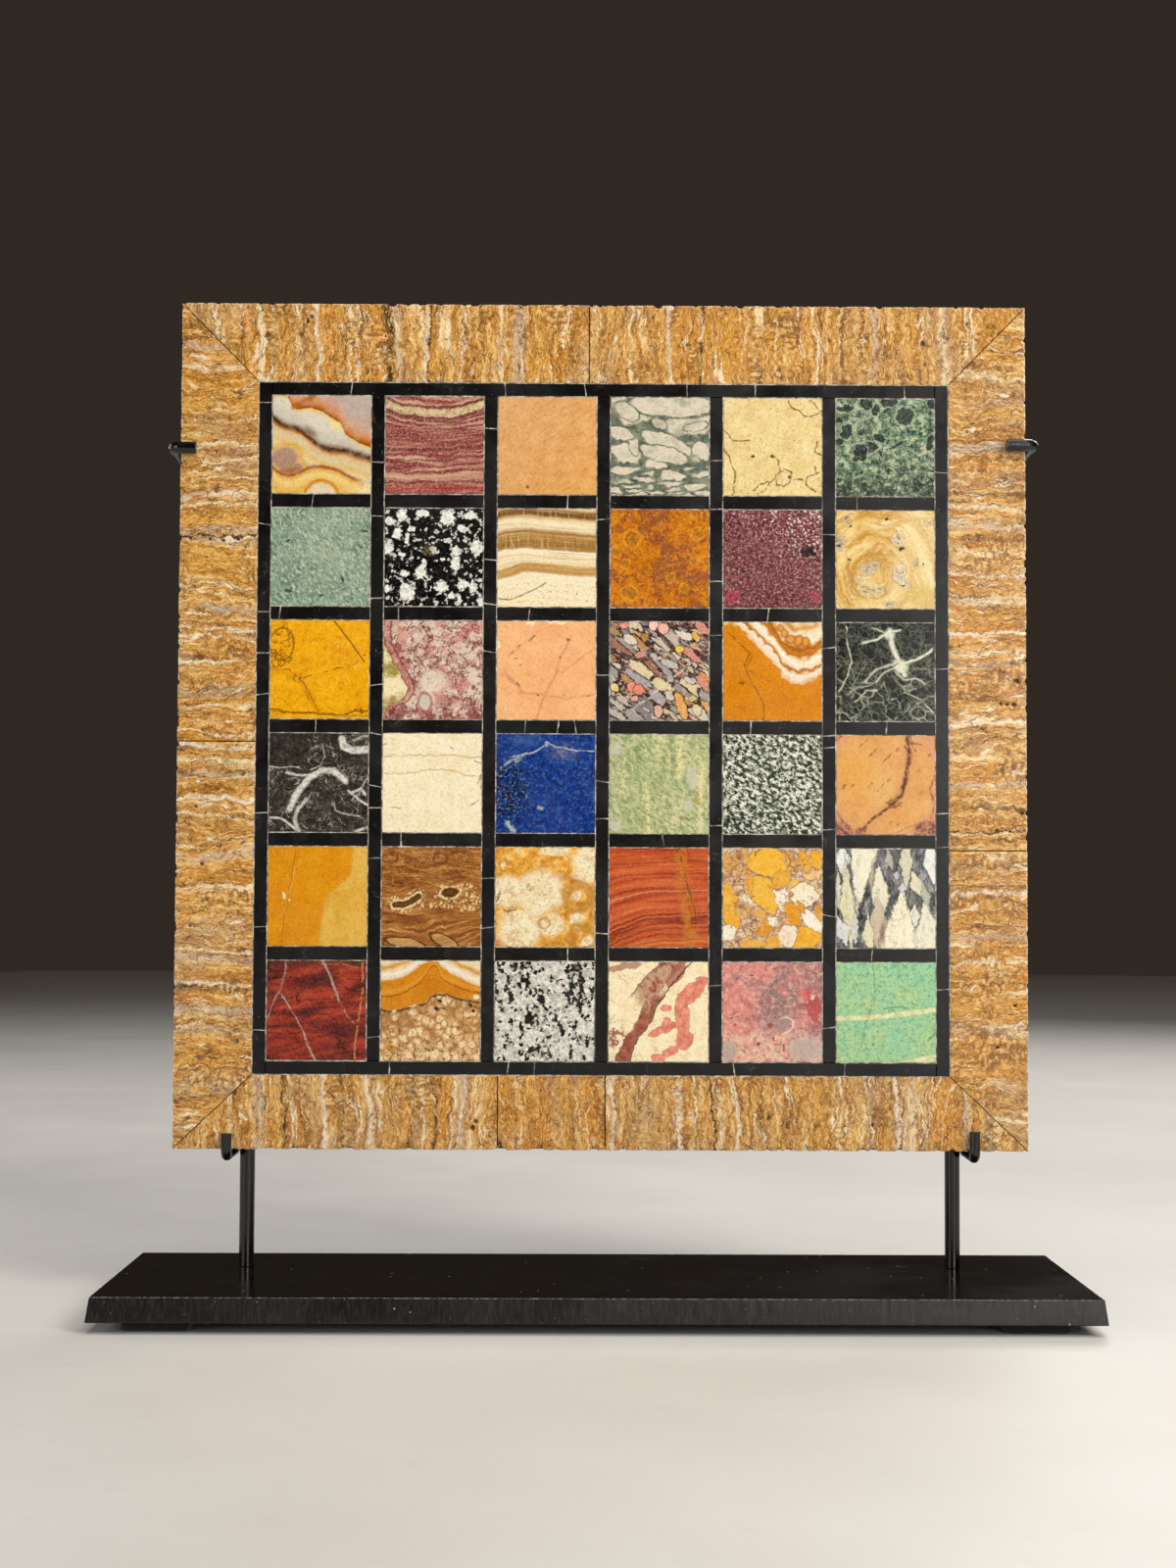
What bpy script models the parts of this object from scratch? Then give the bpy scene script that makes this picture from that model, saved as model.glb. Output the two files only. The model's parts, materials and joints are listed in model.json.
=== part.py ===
"""A square tablet of inlaid specimen marbles, held upright on a black stand.

Six rows of six stone tiles lie in a grid of black marble fillets, inside a mitred border of banded
alabaster, on a stone backing slab. Two steel uprights on a black stone base carry it, with a hook
under each end of the lower edge and an arm round each side.

Metres, +Z up. The tablet faces -Y. The origin is the middle of the footprint, where the feet rest.
"""

import math

import bmesh
import bpy
from mathutils import Matrix, Vector

# Spacing between pieces that touch, and the grout line round each inlaid stone.
GAP = 0.0003

# The inlaid face.
ROWS = 6
COLUMNS = 6
TILE = 0.0454
FILLET = 0.0060
FACE_THICKNESS = 0.0060
PITCH = TILE + 2 * GAP + FILLET
GRID_WIDTH = COLUMNS * PITCH + FILLET
GRID_HEIGHT = ROWS * PITCH + FILLET

# The border, by the width of each side, and its joints along each side from the grid's middle.
BORDER_SIDE = 0.0357
BORDER_TOP = 0.0365
BORDER_BOTTOM = 0.0338
TOP_JOINTS = (-0.0068,)
BOTTOM_JOINTS = (-0.0472, 0.0018)
LEFT_JOINTS = (-0.0072,)
RIGHT_JOINTS = (-0.0560,)

# The slab behind the inlay.
BACKING_INSET = 0.0008
TABLET_THICKNESS = 0.0200

# The base and its feet.
BASE_WIDTH = 0.4340
BASE_DEPTH = 0.1270
BASE_THICKNESS = 0.0108
BASE_FLARE = 0.0014
BASE_ARRIS = 0.0004
PAD_SIZE = 0.0300
PAD_HEIGHT = 0.0046
PAD_END_INSET = 0.0135
PAD_FRONT_INSET = 0.0080
PAD_ARRIS = 0.0006

# The tablet's place over the base.
TABLET_SHIFT = 0.0020
TABLET_LIFT = 0.0560

# The uprights behind the tablet.
UPRIGHT_RADIUS = 0.0035
UPRIGHT_OFFSET = 0.1637
UPRIGHT_RISE = 0.2820

# The hooks under the lower edge.
HOOK_RADIUS = 0.0024
HOOK_BEND = 0.0032
HOOK_TAIL = 0.0035
HOOK_LEFT_REACH = 0.0076
HOOK_RIGHT_REACH = 0.0094

# The arms that come round the sides.
ARM_RADIUS = 0.00275
ARM_BEND = 0.0036
ARM_ELBOW_BEND = 0.0120
ARM_LEAN = math.radians(36)
ARM_LEFT_HEIGHT = 0.3208
ARM_RIGHT_HEIGHT = 0.3240
ARM_LEFT_REACH = 0.0078
ARM_RIGHT_REACH = 0.0094
ARM_FOOT_RUN = 0.0240

# Smoothness of round pieces.
ROD_SIDES = 32
ROD_RESOLUTION = 6
BEND_STEPS = 8
SHARP_ANGLE = math.radians(40)

TABLET_WIDTH = GRID_WIDTH + 2 * GAP + 2 * BORDER_SIDE
TABLET_HEIGHT = GRID_HEIGHT + 2 * GAP + BORDER_TOP + BORDER_BOTTOM
GRID_MIDDLE = BORDER_BOTTOM + GAP + GRID_HEIGHT / 2
BASE_TOP = PAD_HEIGHT + GAP + BASE_THICKNESS
TABLET_BOTTOM = BASE_TOP + TABLET_LIFT
UPRIGHT_DEPTH = TABLET_THICKNESS + GAP + UPRIGHT_RADIUS

# The stone of each tile, from the top row down.
TILE_STONES = (
    ("banded_agate", "rose_wood_marble", "apricot_marble", "pebble_breccia", "cream_palombino", "verde_antico"),
    ("grey_green_marble", "black_white_granite", "brown_alabaster", "flame_marble", "red_porphyry", "ochre_lumachella"),
    ("yellow_siena", "pink_breccia", "salmon_marble", "mixed_breccia", "orange_alabaster", "veined_serpentine"),
    ("black_white_marble", "ivory_marble", "lapis_lazuli", "straw_marble", "grey_granite", "apricot_jasper"),
    ("golden_marble", "wood_alabaster", "cloud_alabaster", "red_wave_jasper", "yellow_breccia", "white_cipollino"),
    ("red_jasper", "tawny_breccia", "white_granite", "ivory_jasper", "peach_grey_marble", "mint_marble"),
)

STONE_COLOURS = {
    "banded_agate": (0.62, 0.55, 0.47),
    "rose_wood_marble": (0.45, 0.13, 0.11),
    "apricot_marble": (0.66, 0.40, 0.22),
    "pebble_breccia": (0.60, 0.56, 0.48),
    "cream_palombino": (0.78, 0.69, 0.46),
    "verde_antico": (0.10, 0.15, 0.10),
    "grey_green_marble": (0.26, 0.34, 0.28),
    "black_white_granite": (0.10, 0.10, 0.11),
    "brown_alabaster": (0.40, 0.23, 0.12),
    "flame_marble": (0.55, 0.19, 0.05),
    "red_porphyry": (0.20, 0.08, 0.09),
    "ochre_lumachella": (0.67, 0.51, 0.23),
    "yellow_siena": (0.78, 0.42, 0.04),
    "pink_breccia": (0.55, 0.38, 0.33),
    "salmon_marble": (0.72, 0.36, 0.20),
    "mixed_breccia": (0.40, 0.24, 0.18),
    "orange_alabaster": (0.67, 0.32, 0.09),
    "veined_serpentine": (0.07, 0.09, 0.07),
    "black_white_marble": (0.06, 0.06, 0.06),
    "ivory_marble": (0.74, 0.67, 0.53),
    "lapis_lazuli": (0.07, 0.11, 0.30),
    "straw_marble": (0.62, 0.58, 0.34),
    "grey_granite": (0.19, 0.20, 0.18),
    "apricot_jasper": (0.58, 0.32, 0.21),
    "golden_marble": (0.73, 0.42, 0.08),
    "wood_alabaster": (0.42, 0.26, 0.12),
    "cloud_alabaster": (0.69, 0.50, 0.27),
    "red_wave_jasper": (0.55, 0.20, 0.10),
    "yellow_breccia": (0.67, 0.49, 0.20),
    "white_cipollino": (0.66, 0.64, 0.57),
    "red_jasper": (0.33, 0.06, 0.06),
    "tawny_breccia": (0.56, 0.40, 0.20),
    "white_granite": (0.46, 0.46, 0.46),
    "ivory_jasper": (0.74, 0.62, 0.45),
    "peach_grey_marble": (0.55, 0.40, 0.36),
    "mint_marble": (0.32, 0.52, 0.35),
}


def clear_scene():
    for obj in list(bpy.data.objects):
        bpy.data.objects.remove(obj, do_unlink=True)


def make_collection(name):
    collection = bpy.data.collections.new(name)
    bpy.context.scene.collection.children.link(collection)
    return collection


def make_empty(name, location, collection):
    empty = bpy.data.objects.new(name, None)
    empty.location = location
    collection.objects.link(empty)
    return empty


def make_material(name, colour, roughness):
    material = bpy.data.materials.new(name)
    material.use_nodes = True
    shader = material.node_tree.nodes["Principled BSDF"]
    shader.inputs["Base Color"].default_value = (*colour, 1.0)
    shader.inputs["Roughness"].default_value = roughness
    shader.inputs["Metallic"].default_value = 0.0
    material.diffuse_color = (*colour, 1.0)
    return material


def place(obj, location, parent, material, collection):
    obj.location = location
    obj.parent = parent
    obj.data.materials.append(material)
    collection.objects.link(obj)
    return obj


def box_mesh(name, size, flare=0.0):
    """A box centred on its origin, whose lower rim stands out past its upper rim by the flare."""
    shape = bmesh.new()
    bmesh.ops.create_cube(shape, size=1.0, matrix=Matrix.Diagonal((*size, 1.0)))
    for vertex in shape.verts:
        if vertex.co.z < 0:
            vertex.co.x += math.copysign(flare, vertex.co.x)
            vertex.co.y += math.copysign(flare, vertex.co.y)
    mesh = bpy.data.meshes.new(name)
    shape.to_mesh(mesh)
    shape.free()
    return mesh


def rod_mesh(name, radius, length):
    """A round rod along Z, centred on its origin."""
    shape = bmesh.new()
    bmesh.ops.create_cone(
        shape, cap_ends=True, segments=ROD_SIDES, radius1=radius, radius2=radius, depth=length
    )
    mesh = bpy.data.meshes.new(name)
    shape.to_mesh(mesh)
    shape.free()
    mesh.shade_smooth()
    mesh.set_sharp_from_angle(angle=SHARP_ANGLE)
    return mesh


def add_bevel(obj, width):
    bevel = obj.modifiers.new("arris", "BEVEL")
    bevel.width = width
    bevel.segments = 2
    bevel.limit_method = "ANGLE"
    return bevel


def flat_outline(name, loops, thickness):
    """A plate with the outer loop first and its holes after it, standing upright and facing -Y."""
    curve = bpy.data.curves.new(name, "CURVE")
    curve.dimensions = "2D"
    curve.fill_mode = "BOTH"
    curve.extrude = thickness / 2
    for loop in loops:
        spline = curve.splines.new("POLY")
        spline.points.add(len(loop) - 1)
        for point, (x, z) in zip(spline.points, loop):
            point.co = (x, z, 0.0, 1.0)
        spline.use_cyclic_u = True
    plate = bpy.data.objects.new(name, curve)
    plate.rotation_euler = (math.pi / 2, 0.0, 0.0)
    return plate


def square_loop(x, z, width, height):
    return [
        (x - width / 2, z - height / 2),
        (x + width / 2, z - height / 2),
        (x + width / 2, z + height / 2),
        (x - width / 2, z + height / 2),
    ]


def bent_route(corners, bends):
    """The corners joined by straight runs, with each inner corner rounded to its bend radius."""
    route = [Vector(corners[0])]
    for index, bend in enumerate(bends, start=1):
        corner = Vector(corners[index])
        back = (Vector(corners[index - 1]) - corner).normalized()
        ahead = (Vector(corners[index + 1]) - corner).normalized()
        half_angle = back.angle(ahead) / 2
        centre = corner + (back + ahead).normalized() * (bend / math.sin(half_angle))
        start = corner + back * (bend / math.tan(half_angle)) - centre
        turn = math.pi - 2 * half_angle
        axis = ahead.cross(back)
        for step in range(BEND_STEPS + 1):
            route.append(centre + Matrix.Rotation(turn * step / BEND_STEPS, 3, axis) @ start)
    route.append(Vector(corners[-1]))
    return route


def bent_rod(name, corners, bends, radius):
    curve = bpy.data.curves.new(name, "CURVE")
    curve.dimensions = "3D"
    curve.bevel_depth = radius
    curve.bevel_resolution = ROD_RESOLUTION
    curve.use_fill_caps = True
    route = bent_route(corners, bends)
    spline = curve.splines.new("POLY")
    spline.points.add(len(route) - 1)
    for point, place_on_route in zip(spline.points, route):
        point.co = (*place_on_route, 1.0)
    spline.use_smooth = True
    return bpy.data.objects.new(name, curve)


def grid_place(row, column):
    """The middle of a tile in the tablet's plane, from the middle of its lower edge."""
    x = (column - (COLUMNS - 1) / 2) * PITCH
    z = GRID_MIDDLE + ((ROWS - 1) / 2 - row) * PITCH
    return x, z


def add_tiles(tablet, collection):
    for row in range(ROWS):
        for column in range(COLUMNS):
            stone = TILE_STONES[row][column]
            name = f"tile_r{row + 1}c{column + 1}_{stone}"
            x, z = grid_place(row, column)
            tile = bpy.data.objects.new(name, box_mesh(name, (TILE, FACE_THICKNESS, TILE)))
            material = make_material(stone, STONE_COLOURS[stone], 0.25)
            place(tile, (x, FACE_THICKNESS / 2, z), tablet, material, collection)


def add_fillet_grid(tablet, collection):
    opening = TILE + 2 * GAP
    loops = [square_loop(0.0, GRID_MIDDLE, GRID_WIDTH, GRID_HEIGHT)]
    for row in range(ROWS):
        for column in range(COLUMNS):
            loops.append(square_loop(*grid_place(row, column), opening, opening))
    grid = flat_outline("black_fillet_grid", loops, FACE_THICKNESS)
    material = make_material("black_marble", (0.012, 0.012, 0.013), 0.3)
    place(grid, (0.0, FACE_THICKNESS / 2, 0.0), tablet, material, collection)


def shifted(point, along, by):
    moved = list(point)
    moved[along] += by
    return tuple(moved)


def at_station(point, along, where):
    moved = list(point)
    moved[along] = where
    return tuple(moved)


def add_border_side(start, end, names, joints, along, tablet, material, collection):
    """One side of the border, cut square at its joints and mitred at both ends.

    start and end are (inner corner, outer corner), each (x, z). along is 0 for a side that runs
    along X and 1 for one that runs up Z.
    """
    stations = [start]
    for joint in joints:
        stations.append([at_station(point, along, joint) for point in start])
    stations.append(end)
    for name, first, last in zip(names, stations, stations[1:]):
        near = [shifted(point, along, GAP / 2) for point in first]
        far = [shifted(point, along, -GAP / 2) for point in last]
        piece = flat_outline(name, [[near[0], far[0], far[1], near[1]]], FACE_THICKNESS)
        place(piece, (0.0, FACE_THICKNESS / 2, 0.0), tablet, material, collection)


def add_border(tablet, collection):
    inner_x = GRID_WIDTH / 2 + GAP
    inner_low = GRID_MIDDLE - GRID_HEIGHT / 2 - GAP
    inner_high = GRID_MIDDLE + GRID_HEIGHT / 2 + GAP
    outer_x = TABLET_WIDTH / 2
    corner = {
        "low_left": ((-inner_x, inner_low), (-outer_x, 0.0)),
        "low_right": ((inner_x, inner_low), (outer_x, 0.0)),
        "high_left": ((-inner_x, inner_high), (-outer_x, TABLET_HEIGHT)),
        "high_right": ((inner_x, inner_high), (outer_x, TABLET_HEIGHT)),
    }
    left_joints = [GRID_MIDDLE + joint for joint in LEFT_JOINTS]
    right_joints = [GRID_MIDDLE + joint for joint in RIGHT_JOINTS]
    runs = (
        ("high_left", "high_right", ("border_top_left", "border_top_right"), TOP_JOINTS, 0),
        (
            "low_left",
            "low_right",
            ("border_bottom_left", "border_bottom_middle", "border_bottom_right"),
            BOTTOM_JOINTS,
            0,
        ),
        ("low_left", "high_left", ("border_left_lower", "border_left_upper"), left_joints, 1),
        ("low_right", "high_right", ("border_right_lower", "border_right_upper"), right_joints, 1),
    )
    for start, end, names, joints, along in runs:
        material = make_material(names[0] + "_alabaster", (0.47, 0.29, 0.13), 0.3)
        add_border_side(corner[start], corner[end], names, joints, along, tablet, material, collection)


def add_backing(tablet, collection):
    thickness = TABLET_THICKNESS - FACE_THICKNESS - GAP
    size = (TABLET_WIDTH - 2 * BACKING_INSET, thickness, TABLET_HEIGHT - 2 * BACKING_INSET)
    slab = bpy.data.objects.new("backing_slab", box_mesh("backing_slab", size))
    material = make_material("grey_backing_stone", (0.20, 0.19, 0.17), 0.8)
    depth = TABLET_THICKNESS - thickness / 2
    place(slab, (0.0, depth, TABLET_HEIGHT / 2), tablet, material, collection)


def add_base(collection):
    size = (BASE_WIDTH, BASE_DEPTH, BASE_THICKNESS)
    base = bpy.data.objects.new("stand_base", box_mesh("stand_base", size, BASE_FLARE))
    material = make_material("polished_black_stone", (0.010, 0.009, 0.009), 0.1)
    place(base, (0.0, 0.0, BASE_TOP - BASE_THICKNESS / 2), None, material, collection)
    add_bevel(base, BASE_ARRIS)


def add_feet(collection):
    material = make_material("black_felt", (0.008, 0.008, 0.008), 0.95)
    x = BASE_WIDTH / 2 + BASE_FLARE - PAD_END_INSET - PAD_SIZE / 2
    y = BASE_DEPTH / 2 + BASE_FLARE - PAD_FRONT_INSET - PAD_SIZE / 2
    for side, across in (("left", -1), ("right", 1)):
        for end, along in (("front", -1), ("back", 1)):
            name = f"foot_pad_{end}_{side}"
            pad = bpy.data.objects.new(name, box_mesh(name, (PAD_SIZE, PAD_SIZE, PAD_HEIGHT)))
            place(pad, (across * x, along * y, PAD_HEIGHT / 2), None, material, collection)
            add_bevel(pad, PAD_ARRIS)


def add_upright(side, across, holder, material, collection):
    foot = GAP - TABLET_LIFT
    length = UPRIGHT_RISE - foot
    upright = bpy.data.objects.new(f"upright_{side}", rod_mesh(f"upright_{side}", UPRIGHT_RADIUS, length))
    middle = foot + length / 2
    place(upright, (across * UPRIGHT_OFFSET, UPRIGHT_DEPTH, middle), holder, material, collection)


def add_hook(side, across, reach, holder, material, collection):
    """A round rod from beside the upright, forward under the tablet and up its face."""
    x = across * (UPRIGHT_OFFSET + UPRIGHT_RADIUS + GAP + HOOK_RADIUS)
    clear = GAP + HOOK_RADIUS
    corners = (
        (x, UPRIGHT_DEPTH + HOOK_TAIL, -clear),
        (x, -clear, -clear),
        (x, -clear, reach),
    )
    hook = bent_rod(f"bottom_hook_{side}", corners, (HOOK_BEND,), HOOK_RADIUS)
    place(hook, (0.0, 0.0, 0.0), holder, material, collection)


def add_arm(side, across, height, reach, holder, material, collection):
    """A round rod up beside the upright, out to the edge, forward past it and in over the face."""
    root = UPRIGHT_OFFSET + UPRIGHT_RADIUS + GAP + ARM_RADIUS
    edge = TABLET_WIDTH / 2 + GAP + ARM_RADIUS
    elbow = height - (edge - root) / math.tan(ARM_LEAN)
    behind = TABLET_THICKNESS + GAP + ARM_RADIUS
    before = -GAP - ARM_RADIUS
    tip = TABLET_WIDTH / 2 - reach
    corners = (
        (across * root, behind, elbow - ARM_FOOT_RUN),
        (across * root, behind, elbow),
        (across * edge, behind, height),
        (across * edge, before, height),
        (across * tip, before, height),
    )
    arm = bent_rod(f"side_arm_{side}", corners, (ARM_ELBOW_BEND, ARM_BEND, ARM_BEND), ARM_RADIUS)
    place(arm, (0.0, 0.0, 0.0), holder, material, collection)


def add_armature(holder, collection):
    material = make_material("black_painted_steel", (0.012, 0.012, 0.013), 0.35)
    for side, across, hook_reach, arm_height, arm_reach in (
        ("left", -1, HOOK_LEFT_REACH, ARM_LEFT_HEIGHT, ARM_LEFT_REACH),
        ("right", 1, HOOK_RIGHT_REACH, ARM_RIGHT_HEIGHT, ARM_RIGHT_REACH),
    ):
        add_upright(side, across, holder, material, collection)
        add_hook(side, across, hook_reach, holder, material, collection)
        add_arm(side, across, arm_height, arm_reach, holder, material, collection)


def main():
    clear_scene()
    collection = make_collection("marble_specimen_tablet")
    tablet = make_empty("tablet", (TABLET_SHIFT, 0.0, TABLET_BOTTOM), collection)
    add_tiles(tablet, collection)
    add_fillet_grid(tablet, collection)
    add_border(tablet, collection)
    add_backing(tablet, collection)
    add_base(collection)
    add_feet(collection)
    add_armature(tablet, collection)


main()
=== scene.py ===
import json
import math
import random

import bmesh
import bpy
from mathutils import Matrix, Vector, noise as field

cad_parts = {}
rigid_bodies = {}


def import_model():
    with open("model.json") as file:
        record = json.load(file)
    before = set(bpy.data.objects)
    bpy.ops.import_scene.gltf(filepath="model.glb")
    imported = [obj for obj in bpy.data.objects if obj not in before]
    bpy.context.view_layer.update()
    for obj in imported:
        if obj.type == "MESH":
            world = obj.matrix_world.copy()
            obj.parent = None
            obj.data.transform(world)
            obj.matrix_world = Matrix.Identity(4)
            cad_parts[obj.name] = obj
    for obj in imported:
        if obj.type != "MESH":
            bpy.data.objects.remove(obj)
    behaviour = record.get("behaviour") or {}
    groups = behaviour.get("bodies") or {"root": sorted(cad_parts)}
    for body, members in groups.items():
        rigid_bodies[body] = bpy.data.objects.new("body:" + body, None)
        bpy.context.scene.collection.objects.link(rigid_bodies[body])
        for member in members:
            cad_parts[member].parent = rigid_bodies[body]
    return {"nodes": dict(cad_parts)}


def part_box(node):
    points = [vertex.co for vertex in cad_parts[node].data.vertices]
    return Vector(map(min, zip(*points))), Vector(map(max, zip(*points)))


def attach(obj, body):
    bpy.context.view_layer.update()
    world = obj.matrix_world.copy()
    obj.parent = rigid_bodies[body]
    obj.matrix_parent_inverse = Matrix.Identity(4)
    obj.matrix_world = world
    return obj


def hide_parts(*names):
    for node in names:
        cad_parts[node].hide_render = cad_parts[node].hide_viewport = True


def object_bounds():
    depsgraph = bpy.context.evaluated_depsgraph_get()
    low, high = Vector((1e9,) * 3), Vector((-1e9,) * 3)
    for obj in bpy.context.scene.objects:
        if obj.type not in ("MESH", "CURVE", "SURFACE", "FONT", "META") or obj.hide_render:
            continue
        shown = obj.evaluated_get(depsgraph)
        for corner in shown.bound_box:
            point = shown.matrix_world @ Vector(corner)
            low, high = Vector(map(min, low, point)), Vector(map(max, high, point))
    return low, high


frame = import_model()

CAD_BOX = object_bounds()
X, Y, Z = 0, 1, 2
# How a piece is seen: its axes across, up and into the picture, and the way its face looks along the last.
FROM_FRONT, FROM_BACK, FROM_ABOVE = (X, Z, Y, -1), (X, Z, Y, 1), (X, Y, Z, 1)
MM = 0.001
MM_IN_METRE = 1000.0
STONE_MIRROR = 0.32  # specular level of polished stone
ROUND_POINTS = 96  # points round a foot pad and round the floor
FACE = min(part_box(node)[0].y for node in frame["nodes"] if node.startswith("tile_"))
FILLET_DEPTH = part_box("black_fillet_grid")[1].y - FACE
FILLET_WIDTH = 6.0 * MM
BASE_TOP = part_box("stand_base")[1].z
# How far grout runs in behind the edge of a stone, and how deep it goes.
GROUT_LAP = 0.12 * MM
GROUT_DEPTH = 2.0 * MM


# ---------------------------------------------------------------- node trees


class Value:
    """One output in a material's node tree. Arithmetic on it adds the matching nodes."""

    def __init__(self, tree, socket):
        self.tree = tree
        self.socket = socket

    def __add__(self, other):
        return combine("ADD", self, other)

    def __sub__(self, other):
        return combine("SUBTRACT", self, other)

    def __rsub__(self, other):
        return combine("SUBTRACT", other, self)

    def __mul__(self, other):
        return combine("MULTIPLY", self, other)

    def __truediv__(self, other):
        return combine("DIVIDE", self, other)

    def __rtruediv__(self, other):
        return combine("DIVIDE", other, self)

    def __abs__(self):
        return combine("ABSOLUTE", self, None)

    __radd__ = __add__
    __rmul__ = __mul__


def linear(code):
    """The scene-linear colour of an sRGB hex code."""
    shades = [int(code[i : i + 2], 16) / 255 for i in (0, 2, 4)]
    return [s / 12.92 if s <= 0.04045 else ((s + 0.055) / 1.055) ** 2.4 for s in shades] + [1.0]


def add_node(tree, kind, **settings):
    node = tree.nodes.new("ShaderNode" + kind)
    for name, value in settings.items():
        setattr(node, name, value)
    return node


def feed(tree, socket, value):
    """Links a Value to a socket, or sets the socket to a number, a tuple or a hex colour."""
    if isinstance(value, Value):
        tree.links.new(value.socket, socket)
    elif isinstance(value, str):
        socket.default_value = linear(value)
    elif isinstance(value, (int, float)) and socket.type == "VECTOR":
        socket.default_value = (value, value, value)
    else:
        socket.default_value = value


def is_vector(value):
    return isinstance(value, tuple) or (isinstance(value, Value) and value.socket.type in ("VECTOR", "RGBA"))


def combine(operation, a, b, clamp=False):
    tree = a.tree if isinstance(a, Value) else b.tree
    if is_vector(a) or is_vector(b):
        node = add_node(tree, "VectorMath", operation=operation)
    else:
        node = add_node(tree, "Math", operation=operation, use_clamp=clamp)
    feed(tree, node.inputs[0], a)
    if b is not None:
        feed(tree, node.inputs[1], b)
    return Value(tree, node.outputs[0])


def least(a, b):
    return combine("MINIMUM", a, b)


def most(first, *others):
    """The greatest of several values."""
    for other in others:
        first = combine("MAXIMUM", first, other)
    return first


def wave(x):
    return combine("SINE", x, None)


def parts(value, kind="XYZ"):
    """A point's three coordinates, or a colour's three channels."""
    node = add_node(value.tree, "Separate" + kind)
    feed(value.tree, node.inputs[0], value)
    return [Value(value.tree, output) for output in node.outputs]


def plane(at):
    """The two coordinates of a point on the face."""
    return parts(at)[:2]


def vec(x, y, z=0.0):
    tree = x.tree if isinstance(x, Value) else y.tree
    node = add_node(tree, "CombineXYZ")
    for socket, value in zip(node.inputs, (x, y, z)):
        feed(tree, socket, value)
    return Value(tree, node.outputs[0])


def length(at):
    node = add_node(at.tree, "VectorMath", operation="LENGTH")
    feed(at.tree, node.inputs[0], at)
    return Value(at.tree, node.outputs["Value"])


def turned(at, degrees, about=(0.5, 0.5, 0.0)):
    node = add_node(at.tree, "VectorRotate", rotation_type="Z_AXIS")
    feed(at.tree, node.inputs["Vector"], at)
    node.inputs["Center"].default_value = about
    node.inputs["Angle"].default_value = math.radians(degrees)
    return Value(at.tree, node.outputs[0])


def texture(at, kind, seed, settings, **numbers):
    """A texture node read at a point; a seed other than 0 moves to another part of the pattern."""
    node = add_node(at.tree, kind, **settings)
    feed(at.tree, node.inputs["Vector"], at + (0.0, 0.0, seed) if seed else at)
    for name, value in numbers.items():
        node.inputs[name].default_value = value
    return node


def noise(at, scale, detail=2.0, rough=0.5, seed=0.0, swirl=0.0, colour=False):
    node = texture(at, "TexNoise", seed, {}, Scale=scale, Detail=detail, Roughness=rough, Distortion=swirl)
    return Value(at.tree, node.outputs[1 if colour else 0])


def ridges(at, scale, width, detail=2.0, rough=0.5, seed=0.0):
    """1 along the winding lines where a noise crosses its middle, falling to 0 at width from it."""
    return spread(abs(noise(at, scale, detail, rough, seed) - 0.5), width, 0.0)


def warp(at, scale, amount, detail=2.0, seed=3.7):
    return at + (noise(at, scale, detail, 0.55, seed, colour=True) - 0.5) * amount


def cells(at, scale, randomness=1.0, seed=0.0):
    """Distance to the nearest cell's point, the cell's own random colour, and the place of the point."""
    node = texture(at, "TexVoronoi", seed, {}, Scale=scale, Randomness=randomness)
    return [Value(at.tree, node.outputs[name]) for name in ("Distance", "Color", "Position")]


def cell_edges(at, scale, randomness=1.0, seed=0.0):
    """Distance to the nearest cell wall."""
    walls = {"feature": "DISTANCE_TO_EDGE"}
    node = texture(at, "TexVoronoi", seed, walls, Scale=scale, Randomness=randomness)
    return Value(at.tree, node.outputs["Distance"])


def channel(colour, index=0):
    return parts(colour, "Color")[index]


def spread(x, low, high, top=1.0):
    """0 before low and top after high, with a soft turn at both; low may be the greater."""
    node = add_node(x.tree, "MapRange", interpolation_type="SMOOTHSTEP")
    for name, value in (("Value", x), ("From Min", low), ("From Max", high), ("To Max", top)):
        feed(x.tree, node.inputs[name], value)
    return Value(x.tree, node.outputs[0])


def band(x, middle, half, soft=0.4):
    """1 within half of middle, and 0 outside."""
    return spread(abs(x - middle), half * (1 + soft), half * (1 - soft))


def ramp(x, *stops, kind="LINEAR"):
    """Colour along x, by stops of (position, hex code)."""
    low, high = stops[0][0], stops[-1][0]
    scaled = add_node(x.tree, "MapRange")
    for name, value in (("Value", x), ("From Min", low), ("From Max", high)):
        feed(x.tree, scaled.inputs[name], value)
    node = add_node(x.tree, "ValToRGB")
    node.color_ramp.interpolation = kind
    elements = node.color_ramp.elements
    while len(elements) < len(stops):
        elements.new(0.5)
    for element, (position, code) in zip(elements, stops):
        element.position = (position - low) / (high - low)
    for element, (position, code) in zip(elements, stops):
        element.color = linear(code)
    x.tree.links.new(scaled.outputs[0], node.inputs[0])
    return Value(x.tree, node.outputs[0])


def mix(amount, a, b):
    """Colour b laid over colour a by an amount from 0 to 1."""
    tree = next(value.tree for value in (amount, a, b) if isinstance(value, Value))
    node = add_node(tree, "Mix", data_type="RGBA")
    for index, value in ((0, amount), (6, a), (7, b)):
        feed(tree, node.inputs[index], value)
    return Value(tree, node.outputs[2])


def flecked(colour, pattern, *flecks):
    """Tints a colour where a pattern runs from low to high, for each (low, high, amount, tone)."""
    for low, high, amount, tone in flecks:
        colour = mix(spread(pattern, low, high) * amount, colour, tone)
    return colour


def curve(x, *points):
    """A smooth curve through points of (x, y), all from 0 to 1."""
    node = add_node(x.tree, "FloatCurve")
    line = node.mapping.curves[0]
    for place, (px, py) in zip((0, 1), (points[0], points[-1])):
        line.points[place].location = (px, py)
    for px, py in points[1:-1]:
        line.points.new(px, py)
    node.mapping.update()
    feed(x.tree, node.inputs["Value"], x)
    return Value(x.tree, node.outputs[0])


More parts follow.
